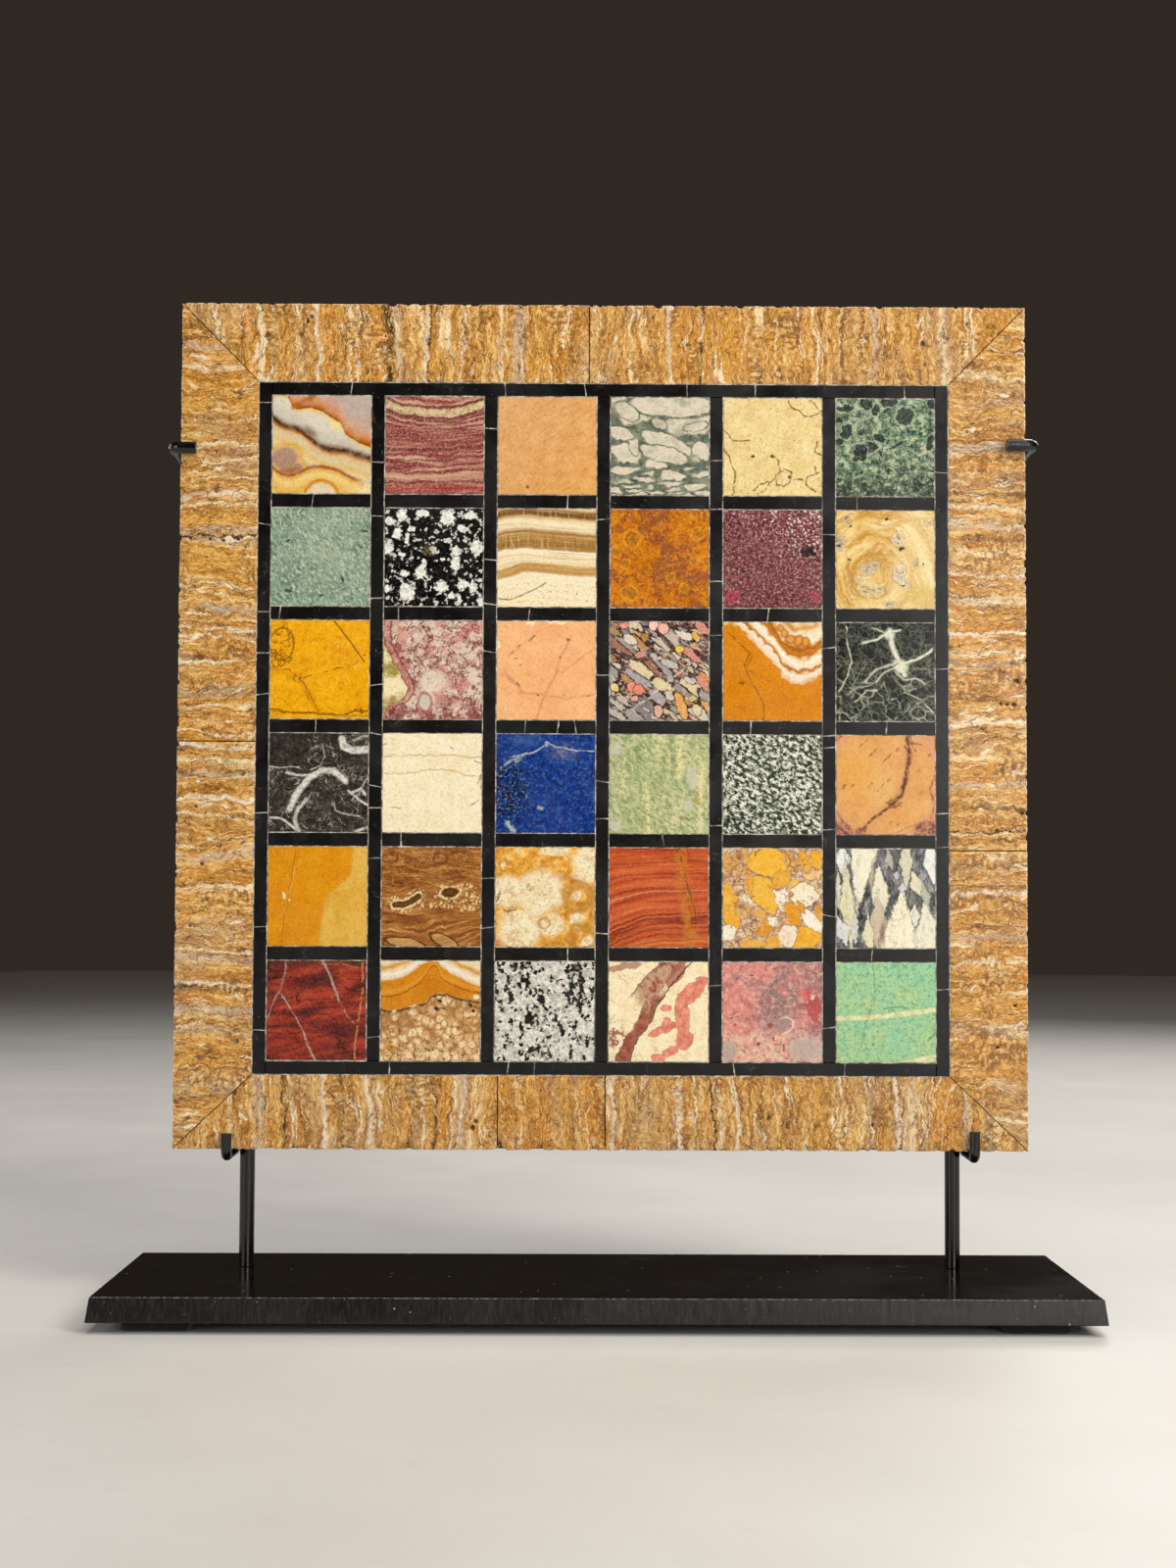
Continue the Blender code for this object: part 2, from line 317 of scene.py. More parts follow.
def to_line(at, *points):
    """Distance from at to a line through points."""
    nearest = None
    for (ax, ay), (bx, by) in zip(points, points[1:]):
        run = Vector((bx - ax, by - ay, 0.0))
        out = at - (ax, ay, 0.0)
        node = add_node(at.tree, "VectorMath", operation="DOT_PRODUCT")
        feed(at.tree, node.inputs[0], out)
        node.inputs[1].default_value = run / run.length_squared
        share = combine("MULTIPLY", Value(at.tree, node.outputs["Value"]), 1.0, clamp=True)
        rise = length(out - vec(share * run.x, share * run.y))
        nearest = rise if nearest is None else least(nearest, rise)
    return nearest


def stroke(at, width, *points, soft=0.5):
    return spread(to_line(at, *points), width * (1 + soft), width * (1 - soft))


def blob(at, x, y, wide, high, degrees=0.0):
    """Distance from the middle of an ellipse, 1 at its rim."""
    if degrees:
        at = turned(at, -degrees, (x, y, 0.0))
    return length((at - (x, y, 0.0)) * (1 / wide, 1 / high, 0.0))


def spots(at, scale, radius, share=1.0, seed=0.0):
    """Scattered round spots: the share of cells that hold one, and its radius in cells."""
    distance, colour, _ = cells(at, scale, seed=seed)
    mask = spread(distance, radius, radius * 0.5)
    if share < 1.0:
        mask = mask * combine("LESS_THAN", channel(colour), share)
    return mask


def grains(at, scale, spacing, low, high, seed):
    """Crystal grains: whole cells taken where a broad noise, read at the cell's point, is high."""
    _, _, place = cells(at, scale)
    return spread(noise(place, spacing, 2.0, 0.6, seed), low, high)


def shattered(at, scale, amount):
    """Moves whole cells of the plane a little each, as broken stone does, for ragged angular edges."""
    return at + (cells(at, scale)[1] - 0.5) * amount


def ramp_grey(x, low, high, least_value):
    """Runs from least_value at low to 1 at high."""
    return spread(x, low, high, 1.0 - least_value) + least_value


# ---------------------------------------------------------------- stones
# Each takes at, the place on its tile from (0, 0) at bottom left to (1, 1) at top right, and gives
# the colour there. Layers, veins and clasts that the real tile shows are laid out by such places.


def banded_agate(at):
    at = warp(warp(at, 5, 0.04), 24, 0.014)
    u, v = plane(at)
    upper = v - curve(
        u, (0, 1), (0.15, 1), (0.21, 0.88), (0.4, 0.88), (0.58, 0.79), (0.7, 0.7), (0.76, 0.6), (1, 0.48),
    )
    middle = v - curve(
        u, (0, 0.77), (0.13, 0.69), (0.27, 0.65), (0.4, 0.54), (0.56, 0.46), (0.71, 0.44), (1, 0.355),
    )
    lower = v - curve(
        u, (0, 0.28), (0.1, 0.2), (0.24, 0.21), (0.38, 0.26), (0.52, 0.275), (0.66, 0.24), (0.87, 0.14),
        (1, 0.13),
    )
    body = ramp(
        middle, (-0.45, "d6b888"), (-0.3, "d2b488"), (-0.23, "e0cc96"), (-0.17, "dcb768"),
        (-0.12, "d4c49c"), (-0.06, "d8b47c"), (-0.036, "b87428"), (-0.014, "5c2c06"), (0, "3a1a02"),
        (0.014, "5e3410"), (0.034, "a08c74"), (0.06, "c4bcac"), (0.2, "d8d0be"), (0.35, "dccfae"),
    )
    body = mix(spread(blob(at, 0.38, 0.63, 0.15, 0.08, -35), 1, 0) * 0.85, body, "6c4628")
    body = mix(spread(middle, -0.06, -0.1) * ridges(at, 7, 0.02, 3, 0.6, 4) * 0.5, body, "dcbc66")
    base = ramp(
        lower, (-0.34, "dcb464"), (-0.27, "e8d49a"), (-0.2, "dba83e"), (-0.14, "e4ba60"), (-0.08, "e8cc7c"),
        (-0.035, "dfa844"), (-0.014, "b4680e"), (0, "7c3c06"), (0.016, "b4703a"), (0.05, "cca078"),
        (0.09, "d8b898"),
    )
    arch = blob(at, 0.5, -0.04, 0.17, 0.17)
    base = mix(band(arch, 1, 0.1), base, "cf8416")
    base = mix(spread(arch, 0.95, 0.75), base, "e0ccaa")
    base = mix(spread(u, 0.8, 0.94) * spread(noise(at, 9, 4, 0.7, 8), 0.4, 0.55) * 0.7, base, "e8dcb8")
    body = mix(spread(lower, 0.04, 0.0), body, base)
    mauve = least(blob(at, 0.13, 0.36, 0.14, 0.12, 20), blob(at, 0.19, 0.26, 0.12, 0.08))
    above = spread(lower, 0.0, 0.03)
    body = mix(band(mauve, 1.15, 0.22, 0.9) * above * 0.75, body, "d8a03c")
    body = mix(spread(mauve, 1.1, 0.75) * above * 0.9, body, "a07a68")
    body = mix(spread(blob(at, 0.18, 0.24, 0.12, 0.03, 10), 1.2, 0.5) * 0.8, body, "a8601c")
    top = ramp(
        upper, (0, "8a4204"), (0.03, "b8600c"), (0.055, "c97c38"), (0.1, "cc9270"), (0.18, "c4a28e"),
        (0.32, "b8a69c"),
    )
    body = mix(spread(upper, -0.06, -0.01), body, "dfc070")
    colour = mix(spread(upper, -0.012, 0.0), body, top)
    colour = mix(stroke(at, 0.024, (0.2, 0.88), (0.3, 0.93), (0.42, 1.0), soft=0.8) * 0.9, colour, "ac5c08")
    colour = mix(spread(blob(at, 0.64, 0.7, 0.07, 0.05), 1.2, 0.4), colour, "ecd688")
    cloud = spread(noise(at, 9, 5, 0.7, 5), 0.42, 0.66)
    return mix(cloud * 0.16, colour, "ece0c8")


def rose_wood_marble(at):
    at = warp(warp(at, 5, 0.05, 3), 24, 0.02, 3)
    u, v = plane(at)
    bowl = u * 2 - 1
    level = v + (1 - bowl * bowl) * spread(v, 0.35, 1.0, 0.115)
    level = level - spread(u, 0.66, 0.8, 0.035) * band(v, 0.36, 0.2, 0.9)
    level = level + (noise(vec(u * 5.5, v * 1.6), 1, 3, 0.6, 4) - 0.5) * 0.075
    fine = noise(vec(u * 2.2, level * 26), 1, 5, 0.7, 2)
    colour = ramp(
        fine, (0.32, "641c20"), (0.43, "8a3a38"), (0.5, "a45c56"), (0.56, "c4947e"), (0.66, "d8b694"),
    )
    colour = mix(band(level, 0.54, 0.13) * 0.55, colour, "84302e")
    colour = mix(band(level, 0.045, 0.06, 0.8) * 0.65, colour, "9a3830")
    colour = mix(band(level, 0.17, 0.035, 0.9) * 0.6, colour, "caa47e")
    cream = band(level, 0.925, 0.045, 0.3)
    colour = mix(
        cream, colour, ramp(noise(at, 22, 4, 0.72, 7), (0.38, "a48658"), (0.48, "c8b082"), (0.6, "dac69c")),
    )
    for line in (1.0, 0.985, 0.87, 0.855, 0.83, 0.78, 0.72, 0.6, 0.47, 0.455, 0.4, 0.345, 0.28, 0.22, 0.12):
        colour = mix(band(level, line, 0.009, 0.8) * 0.8, colour, "641c20")
    grain = noise(at, 44, 4, 0.75)
    return flecked(colour, grain, (0.5, 0.66, 0.5, "dcbea0"), (0.46, 0.32, 0.45, "5c2422"))


def apricot_marble(at):
    u, v = plane(at)
    colour = ramp(u - v, (-0.7, "dca66c"), (0.3, "dda260"), (0.9, "e2a552"))
    hairs = noise(turned(at, 55) * (12.0, 60.0, 1.0), 1, 4, 0.65)
    colour = mix(spread(hairs, 0.45, 0.68) * 0.5, colour, "c4884e")
    colour = mix(spread(noise(at, 6, 5, 0.65, 4), 0.42, 0.66) * 0.5, colour, "ecba7c")
    colour = mix(
        spread(noise(turned(at, -35) * (8.0, 30.0, 1.0), 1, 3, 0.6, 3), 0.52, 0.66) * 0.35, colour,
        "b87c48",
    )
    colour = mix(spots(at, 30, 0.2, 0.2) * 0.4, colour, "a86c3c")
    return mix(spread(blob(at, 0.3, 0.08, 0.018, 0.02), 1.3, 0.4), colour, "8c5028")


def pebble_breccia(at):
    at = shattered(warp(warp(at, 6, 0.07), 24, 0.016), 24, 0.014)
    u, v = plane(at)
    far = v + 0.36
    spread_out = turned(vec((u - 0.5) / far * 1.2, 1.9 / far), 8, (0, 0, 0))
    wall = cell_edges(spread_out, 1.7, 0.9, 6.3)
    clast = spread(wall + (noise(at, 14, 4, 0.65, 2) - 0.5) * 0.1, 0.1, 0.17)
    for x, y, wide, high, degrees in (
        (0.62, 0.93, 0.42, 0.13, -2), (0.16, 0.86, 0.13, 0.075, -38), (0.57, 0.53, 0.28, 0.085, -22),
        (0.54, 0.42, 0.26, 0.08, -16), (0.86, 0.7, 0.12, 0.05, 12), (0.5, 0.73, 0.09, 0.04, -25),
        (0.23, 0.5, 0.045, 0.09, 5), (0.92, 0.45, 0.08, 0.1, 30), (0.1, 0.63, 0.13, 0.06, -20),
    ):
        ring = blob(at, x, y, wide, high, degrees)
        clast = most(clast * spread(ring, 1.06, 1.24), spread(ring, 1.03, 0.93))
    tone = noise(at, 5, 5, 0.68, 2)
    stone_colour = ramp(tone, (0.35, "b0a894"), (0.45, "cdc4ae"), (0.56, "dcd2ba"), (0.66, "d2c2b4"))
    matrix = ramp(noise(at, 9, 5, 0.7, 8), (0.36, "3e4a3a"), (0.5, "667060"), (0.64, "98987e"))
    colour = mix(clast, matrix, stone_colour)
    streaks = ridges(turned(at, -18) * (3.0, 12.0, 1.0), 1, 0.024, 4, 0.65, 4)
    return mix(streaks * 0.3, colour, "7c8470")


def cream_palombino(at):
    crazed = warp(warp(at, 14, 0.06, 3), 40, 0.014)
    colour = ramp(noise(at, 5, 5, 0.65, 1), (0.3, "dcc080"), (0.5, "ead294"), (0.7, "f0dfac"))
    colour = mix(spread(noise(at, 26, 4, 0.72), 0.5, 0.66) * 0.6, colour, "cfae6a")
    pocked = noise(warp(at, 12, 0.04), 30, 4, 0.75, 4)
    colour = mix(
        spread(pocked, 0.58, 0.64) * spread(noise(at, 5, 3, 0.6, 8), 0.42, 0.56) * 0.75, colour, "a47c3c",
    )
    cracks = (
        ((0.0, 0.5), (0.07, 0.35), (0.13, 0.2), (0.09, 0.0)), ((0.0, 0.68), (0.08, 0.57), (0.27, 0.56)),
        (
            (0.31, 0.05), (0.38, 0.12), (0.48, 0.14), (0.56, 0.24), (0.62, 0.28), (0.69, 0.24),
            (0.69, 0.16), (0.62, 0.1), (0.54, 0.12), (0.53, 0.2),
        ),
        ((0.48, 0.14), (0.42, 0.06), (0.36, 0.02)), ((0.67, 0.18), (0.75, 0.16), (0.82, 0.17)),
        ((0.95, 0.55), (0.93, 0.45), (1.0, 0.43)), ((0.97, 0.24), (0.86, 0.2), (0.84, 0.1), (0.93, 0.05)),
        ((0.66, 0.97), (0.7, 0.9), (0.77, 0.88), (0.83, 0.81), (0.98, 0.84)),
        ((0.5, 0.41), (0.56, 0.36), (0.57, 0.26)), ((0.93, 0.3), (0.95, 0.22)),
        ((0.88, 0.98), (0.95, 0.92), (0.99, 0.86)),
    )
    mask = most(*(stroke(crazed, 0.0075, *line, soft=0.9) for line in cracks))
    colour = mix(spread(mask, 0.0, 0.6) * 0.35, colour, "b48c4c")
    colour = mix(mask * 0.9, colour, "6c4a1c")
    colour = mix(spots(crazed, 24, 0.18, 0.35) * 0.7, colour, "8c6834")
    for x, y in ((0.5, 0.41), (0.67, 0.19), (0.3, 0.4)):
        colour = mix(spread(blob(crazed, x, y, 0.02, 0.018), 1.3, 0.5), colour, "4e3814")
    return colour


def verde_antico(at):
    at = shattered(warp(warp(at, 9, 0.05, 3), 30, 0.02), 26, 0.024)
    _, v = plane(at)
    net = noise(at, 13, 6, 0.75, 3)
    colour = ramp(
        net, (0.36, "101e1a"), (0.43, "203a2e"), (0.49, "4c6e52"), (0.54, "8ea182"), (0.6, "c2caa8"),
        (0.68, "98a888"),
    )
    greens = spread(noise(at, 4, 3, 0.6, 7), 0.47, 0.58)
    colour = mix(greens * spread(net, 0.56, 0.46) * 0.7, colour, "2c5438")
    colour = mix(ridges(at, 10, 0.024, 5, 0.72, 5) * 0.7, colour, "c6ceb0")
    ragged = noise(at, 17, 5, 0.75, 6)
    dark = most(
        spread(blob(at, 0.88, 0.12, 0.24, 0.13, 8), 1.15, 0.5),
        spread(v + (noise(at, 3, 2) - 0.5) * 0.2, 0.24, 0.1) * 0.9,
        spread(blob(at, 0.73, 0.33, 0.14, 0.1, 30), 1.2, 0.5) * 0.85,
        spread(blob(at, 0.3, 0.1, 0.4, 0.16, 0), 1.15, 0.5) * 0.7,
    )
    dark = most(dark * spread(ragged, 0.56, 0.48), spread(noise(at, 8, 5, 0.72, 12), 0.57, 0.62) * 0.88)
    colour = mix(dark * 0.92, colour, "18201e")
    for x, y, wide, high, degrees in (
        (0.09, 0.9, 0.07, 0.03, 0), (0.3, 0.95, 0.045, 0.06, 20), (0.4, 0.88, 0.035, 0.055, -10),
        (0.54, 0.97, 0.08, 0.04, 0), (0.7, 0.82, 0.075, 0.08, -30), (0.11, 0.66, 0.05, 0.07, -20),
        (0.03, 0.56, 0.04, 0.03, 0), (0.28, 0.49, 0.12, 0.05, 12), (0.25, 0.45, 0.06, 0.07, 0),
        (0.44, 0.6, 0.06, 0.035, -25), (0.96, 0.55, 0.03, 0.08, -20), (0.03, 0.78, 0.03, 0.025, 0),
        (0.98, 0.96, 0.04, 0.04, 0), (0.62, 0.52, 0.1, 0.014, 20), (0.2, 0.38, 0.03, 0.02, 0),
        (0.45, 0.44, 0.02, 0.03, 0),
    ):
        ring = blob(at, x, y, wide, high, degrees)
        colour = mix(band(ring, 1.36, 0.12, 0.8) * 0.6, colour, "aebaa0")
        colour = mix(spread(ring, 1.26, 1.14) * 0.93, colour, ramp(net, (0.4, "121a18"), (0.66, "303a36")))
    return mix(spread(noise(at, 40, 3, 0.75), 0.55, 0.68) * 0.45, colour, "a8b698")


def grey_green_marble(at):
    swirled = warp(at, 7, 0.12, 3)
    colour = ramp(noise(at, 3.2, 4, 0.6, 2), (0.32, "5f7b68"), (0.5, "76907c"), (0.68, "90a28a"))
    hairs = noise(turned(swirled, 52) * (15.0, 40.0, 1.0), 1, 5, 0.75)
    colour = flecked(colour, hairs, (0.51, 0.6, 0.9, "c2ccb4"), (0.44, 0.35, 0.95, "3f5a4c"))
    colour = mix(ridges(swirled, 15, 0.03, 4, 0.65, 6) * 0.6, colour, "d0d8c0")
    colour = mix(spread(noise(at, 44, 3, 0.75, 4), 0.56, 0.66) * 0.5, colour, "4c6656")
    for x, y, wide, high in (
        (0.17, 0.17, 0.035, 0.02), (0.72, 0.27, 0.016, 0.035), (0.17, 0.66, 0.03, 0.016),
        (0.93, 0.77, 0.06, 0.014), (0.9, 0.6, 0.02, 0.012), (0.5, 0.1, 0.02, 0.014),
    ):
        colour = mix(spread(blob(swirled, x, y, wide, high), 1.3, 0.5) * 0.9, colour, "26382e")
    return mix(spots(at, 17, 0.2, 0.25, 3) * 0.6, colour, "36503f")


def black_white_granite(at):
    at = shattered(warp(at, 22, 0.02), 40, 0.014)
    white = grains(at, 44, 20, 0.585, 0.6, 8.4) * 0.75
    ragged = noise(at, 21, 5, 0.74, 2) - 0.5
    for x, y, wide, high in (
        (0.17, 0.92, 0.05, 0.06), (0.05, 0.87, 0.06, 0.05), (0.38, 0.95, 0.065, 0.04),
        (0.64, 0.91, 0.08, 0.09), (0.87, 0.92, 0.065, 0.045), (0.13, 0.74, 0.05, 0.06),
        (0.04, 0.6, 0.05, 0.07), (0.23, 0.68, 0.024, 0.06), (0.27, 0.79, 0.05, 0.028),
        (0.79, 0.8, 0.065, 0.04), (0.65, 0.67, 0.05, 0.026), (0.5, 0.57, 0.045, 0.04),
        (0.73, 0.56, 0.055, 0.05), (0.72, 0.43, 0.05, 0.09), (0.94, 0.6, 0.07, 0.09),
        (0.37, 0.34, 0.065, 0.075), (0.4, 0.44, 0.028, 0.05), (0.2, 0.34, 0.06, 0.034),
        (0.18, 0.53, 0.034, 0.028), (0.23, 0.14, 0.085, 0.1), (0.58, 0.2, 0.07, 0.055),
        (0.8, 0.23, 0.075, 0.045), (0.9, 0.2, 0.045, 0.07), (0.68, 0.11, 0.045, 0.034),
        (0.77, 0.07, 0.028, 0.05), (0.03, 0.18, 0.034, 0.04), (0.98, 0.05, 0.04, 0.05),
        (0.59, 0.48, 0.03, 0.022),
    ):
        white = most(white, spread(blob(at, x, y, wide, high) + ragged * 2.4, 0.96, 0.86))
    dark = ramp(noise(at, 30, 4, 0.75), (0.4, "020202"), (0.6, "0b0b0a"), (0.7, "2a2a28"), (0.78, "74746e"))
    pale = ramp(noise(at, 20, 5, 0.72, 5), (0.35, "aeaea6"), (0.46, "dadad0"), (0.58, "f4f4ec"))
    colour = mix(white, dark, pale)
    return mix(
        spread(blob(at, 0.46, 0.57, 0.08, 0.06), 1.2, 0.5) * spread(ragged, 0.08, -0.02) * 0.6, colour,
        "8a7c50",
    )


def brown_alabaster(at):
    at = warp(warp(at, 4, 0.03), 20, 0.012)
    u, v = plane(at)
    level = v + curve(u, (0, 0.53), (0.12, 0.5), (0.25, 0.49), (0.5, 0.505), (0.8, 0.53), (1, 0.54)) - 0.52
    level = level + spread(u, 0.3, 0.12, 0.05) * band(v, 0.33, 0.1, 0.9)
    level = level + (noise(vec(u * 9, v * 2), 1, 3, 0.6, 7) - 0.5) * 0.022
    colour = ramp(
        level, (0, "f4e4bc"), (0.29, "f4e6c4"), (0.315, "f6e8c8"), (0.335, "d0aa6c"), (0.35, "b88a48"),
        (0.37, "c89e5c"), (0.41, "c09450"), (0.43, "e8d2a4"), (0.48, "f4e4c0"), (0.5, "e2c690"),
        (0.515, "f4e4c0"), (0.56, "f6eacb"), (0.578, "b08344"), (0.61, "986c30"), (0.66, "a4783a"),
        (0.7, "b08446"), (0.722, "c9a468"), (0.735, "94683a"), (0.752, "b48c54"), (0.775, "e8d2a8"),
        (0.83, "f4e6c4"), (0.875, "ecd6ac"), (0.9, "c8a26a"), (0.915, "7c5026"), (0.94, "6c4420"),
        (0.965, "8a6030"), (0.985, "b88e4e"), (1, "e4ca98"),
    )
    ruled = noise(vec(u * 1.2, level * 60), 1, 4, 0.68)
    colour = mix(spread(ruled, 0.5, 0.62) * spread(v, 0.28, 0.34) * 0.45, colour, "a47a40")
    colour = mix(spread(ruled, 0.46, 0.36) * spread(v, 0.28, 0.34) * 0.35, colour, "f0dcb0")
    fibres = noise(vec(u * 40, v * 3), 1, 4, 0.65, 2)
    brown = most(band(level, 0.65, 0.07, 0.2), band(level, 0.94, 0.03, 0.3))
    colour = mix(spread(fibres, 0.52, 0.68) * brown * 0.85, colour, "d0a866")
    colour = mix(spread(fibres, 0.48, 0.34) * brown * 0.6, colour, "6c4418")
    strokes = most(
        stroke(at, 0.006, (0.13, 0.7), (0.19, 0.56), soft=0.9),
        stroke(at, 0.005, (0.45, 0.7), (0.44, 0.6), soft=0.9),
    )
    colour = mix(strokes * 0.7, colour, "e4c48c")
    low = spread(level, 0.3, 0.22)
    rows = spread(wave(level * 95), -0.2, 0.7)
    specks = most(spots(at, 30, 0.3, 0.4), spots(at, 50, 0.3, 0.5, 3)) * low
    colour = mix(specks * ramp_grey(rows, 0, 1, 0.35) * 0.8, colour, "967238")
    dust = spread(noise(at * (1.0, 2.4, 1.0), 26, 4, 0.72, 5), 0.54, 0.62) * low * rows
    colour = mix(dust * 0.65, colour, "b08a4c")
    crack = stroke(
        warp(at, 12, 0.03), 0.007, (0.0, 0.09), (0.12, 0.07), (0.24, 0.11), (0.34, 0.16), (0.49, 0.25),
        soft=0.9,
    )
    return mix(crack * 0.85, colour, "5c4420")


def flame_marble(at):
    at = warp(warp(at, 8, 0.08, 3), 30, 0.024, 3)
    u, v = plane(at)
    colour = ramp(
        noise(at, 7, 6, 0.72, 3), (0.32, "aa5204"), (0.45, "c46e04"), (0.56, "d68206"), (0.68, "d4941c"),
    )
    zone = band(u * 0.9 + v * 0.35, 0.74, 0.2, 0.8)
    patches = noise(at, 8.5, 6, 0.72, 7)
    maroon = spread(patches + zone * 0.1, 0.55, 0.6)
    colour = mix(
        maroon * 0.85, colour,
        ramp(noise(at, 30, 4, 0.75, 2), (0.4, "743420"), (0.52, "94502c"), (0.64, "b06c3c")),
    )
    colour = mix(spread(noise(at, 20, 5, 0.72, 5), 0.53, 0.6) * 0.7, colour, "8c4410")
    colour = mix(ridges(at, 9, 0.02, 4, 0.7, 4) * 0.6, colour, "a05a10")
    colour = mix(spread(noise(at, 22, 5, 0.72, 9), 0.56, 0.64) * 0.6, colour, "e8a428")
    for x, y, size in (
        (0.22, 0.7, 0.1), (0.06, 0.56, 0.06), (0.2, 0.15, 0.09), (0.88, 0.76, 0.07), (0.16, 0.44, 0.05),
        (0.62, 0.3, 0.05), (0.85, 0.48, 0.05), (0.74, 0.2, 0.05),
    ):
        ring = blob(at, x, y, size, size)
        colour = mix(spread(ring, 1.2, 0.9) * 0.5, colour, "d88c10")
        colour = mix(
            band(ring, 0.95, 0.16, 0.9) * spread(noise(at, 16, 3), 0.4, 0.55) * 0.6, colour, "e8a428",
        )
        colour = mix(
            band(ring, 0.62, 0.12, 0.9) * spread(noise(at, 24, 3), 0.4, 0.55) * 0.7, colour, "80440c",
        )
        colour = mix(spread(ring, 0.5, 0.2) * 0.7, colour, "78622a")
    return mix(spread(noise(at, 40, 4, 0.75), 0.54, 0.64) * 0.6, colour, "84400c")


def red_porphyry(at):
    at = shattered(warp(at, 30, 0.016), 44, 0.012)
    u, v = plane(at)
    colour = ramp(
        noise(at, 34, 5, 0.78, 2), (0.36, "280e14"), (0.46, "502024"), (0.54, "783438"), (0.64, "a86c6c"),
    )
    rise = spread(u * 0.7 + v, 0.75, 1.5)
    colour = mix(spread(noise(at, 40, 4, 0.75, 6), 0.54, 0.62) * 0.85, colour, "cc9e9c")
    colour = mix(spots(at, 40, 0.3, 0.3) * 0.85, colour, "d6b2b0")
    colour = mix(most(spots(at, 21, 0.36, 0.75, 2.2), spots(at, 32, 0.36, 0.6, 7.2)) * rise, colour, "f4e4de")
    colour = mix(spots(at, 17, 0.22, 0.4, 4.2) * rise, colour, "f4e8e2")
    crimson = most(
        spread(blob(warp(at, 18, 0.1), 0.09, 0.12, 0.09, 0.08), 1.1, 0.6),
        spread(blob(warp(at, 18, 0.1), 0.93, 0.12, 0.07, 0.06), 1.1, 0.5) * 0.7,
    )
    colour = mix(crimson * spread(noise(at, 30, 4, 0.7), 0.36, 0.52) * 0.85, colour, "b43c58")
    colour = mix(spread(noise(at, 5, 4, 0.65, 9), 0.54, 0.66) * 0.4, colour, "8c3444")
    return mix(spread(blob(warp(at, 16, 0.14), 0.86, 0.57, 0.09, 0.05), 1.1, 0.7) * 0.9, colour, "160a0c")


def ochre_lumachella(at):
    at = warp(warp(at, 4, 0.16), 16, 0.03, 3)
    u, v = plane(at)
    swirl = blob(at, 0.42, 0.36, 1.0, 1.0)
    flow = noise(vec(swirl * 7.0, u * 2.2 + v), 1, 4, 0.65, 3)
    colour = ramp(
        flow, (0.32, "c48e34"), (0.42, "d4a650"), (0.5, "e2c072"), (0.6, "ecd498"), (0.72, "f0deb0"),
    )
    left = spread(u - v * 0.2, 0.62, 0.34)
    colour = mix(spread(left, 1.0, 0.3) * 0.4, colour, "f0deac")
    arcs = ridges(vec(swirl * 6.0, u + v * 0.5), 1, 0.04, 4, 0.65, 6)
    colour = mix(arcs * ramp_grey(left, 0, 1, 0.2) * 0.7, colour, "b88434")
    colour = mix(spread(blob(at, 0.85, 0.12, 0.2, 0.16), 1.1, 0.4) * 0.6, colour, "d0ae50")
    colour = mix(spread(blob(at, 0.66, 0.86, 0.3, 0.04, 12), 1.1, 0.4) * 0.6, colour, "d4a850")
    for x, y, wide, high, degrees in (
        (0.35, 0.6, 0.16, 0.03, 40), (0.4, 0.56, 0.14, 0.02, 30), (0.16, 0.3, 0.03, 0.22, 12),
        (0.12, 0.24, 0.02, 0.2, 16),
    ):
        colour = mix(spread(blob(at, x, y, wide, high, degrees), 1.1, 0.6) * 0.65, colour, "b98438")
    for x, y, wide, high, tone, degrees in (
        (0.1, 0.9, 0.06, 0.045, "cbb294", 0), (0.05, 0.68, 0.06, 0.1, "c4ae98", 10),
        (0.62, 0.7, 0.07, 0.085, "dccaae", 20), (0.35, 0.42, 0.12, 0.08, "c8b498", 25),
        (0.66, 0.36, 0.07, 0.12, "e4d6be", 15), (0.36, 0.2, 0.14, 0.1, "dcc896", -10),
        (0.95, 0.88, 0.05, 0.04, "cbb69a", 0), (0.81, 0.46, 0.035, 0.04, "c4ac94", 0),
        (0.55, 0.05, 0.06, 0.03, "cbb69a", 0), (0.7, 0.26, 0.05, 0.06, "d8c6ac", 20),
        (0.22, 0.3, 0.04, 0.05, "e0cca6", 0),
    ):
        ring = blob(at, x, y, wide, high, degrees)
        colour = mix(spread(ring, 1.15, 0.7) * 0.75, colour, tone)
        colour = mix(band(ring, 1.0, 0.07, 0.9) * spread(noise(at, 14, 3), 0.4, 0.54) * 0.6, colour, "947650")
        colour = mix(
            spread(ring, 0.95, 0.3) * spread(noise(at, 30, 4, 0.75), 0.5, 0.57) * 0.85, colour, "75604e",
        )
    for x, y, size in (
        (0.66, 0.6, 0.028), (0.05, 0.665, 0.022), (0.49, 0.925, 0.02), (0.17, 0.83, 0.02),
        (0.14, 0.48, 0.015), (0.89, 0.45, 0.012), (0.68, 0.24, 0.016),
    ):
        colour = mix(spread(blob(at, x, y, size, size * 0.85), 1.2, 0.6), colour, "3e3014")
    colour = mix(spots(at, 20, 0.12, 0.2, 5) * 0.6, colour, "8a6a34")
    return mix(spread(noise(at, 24, 5, 0.75), 0.54, 0.66) * 0.45, colour, "fbeec4")


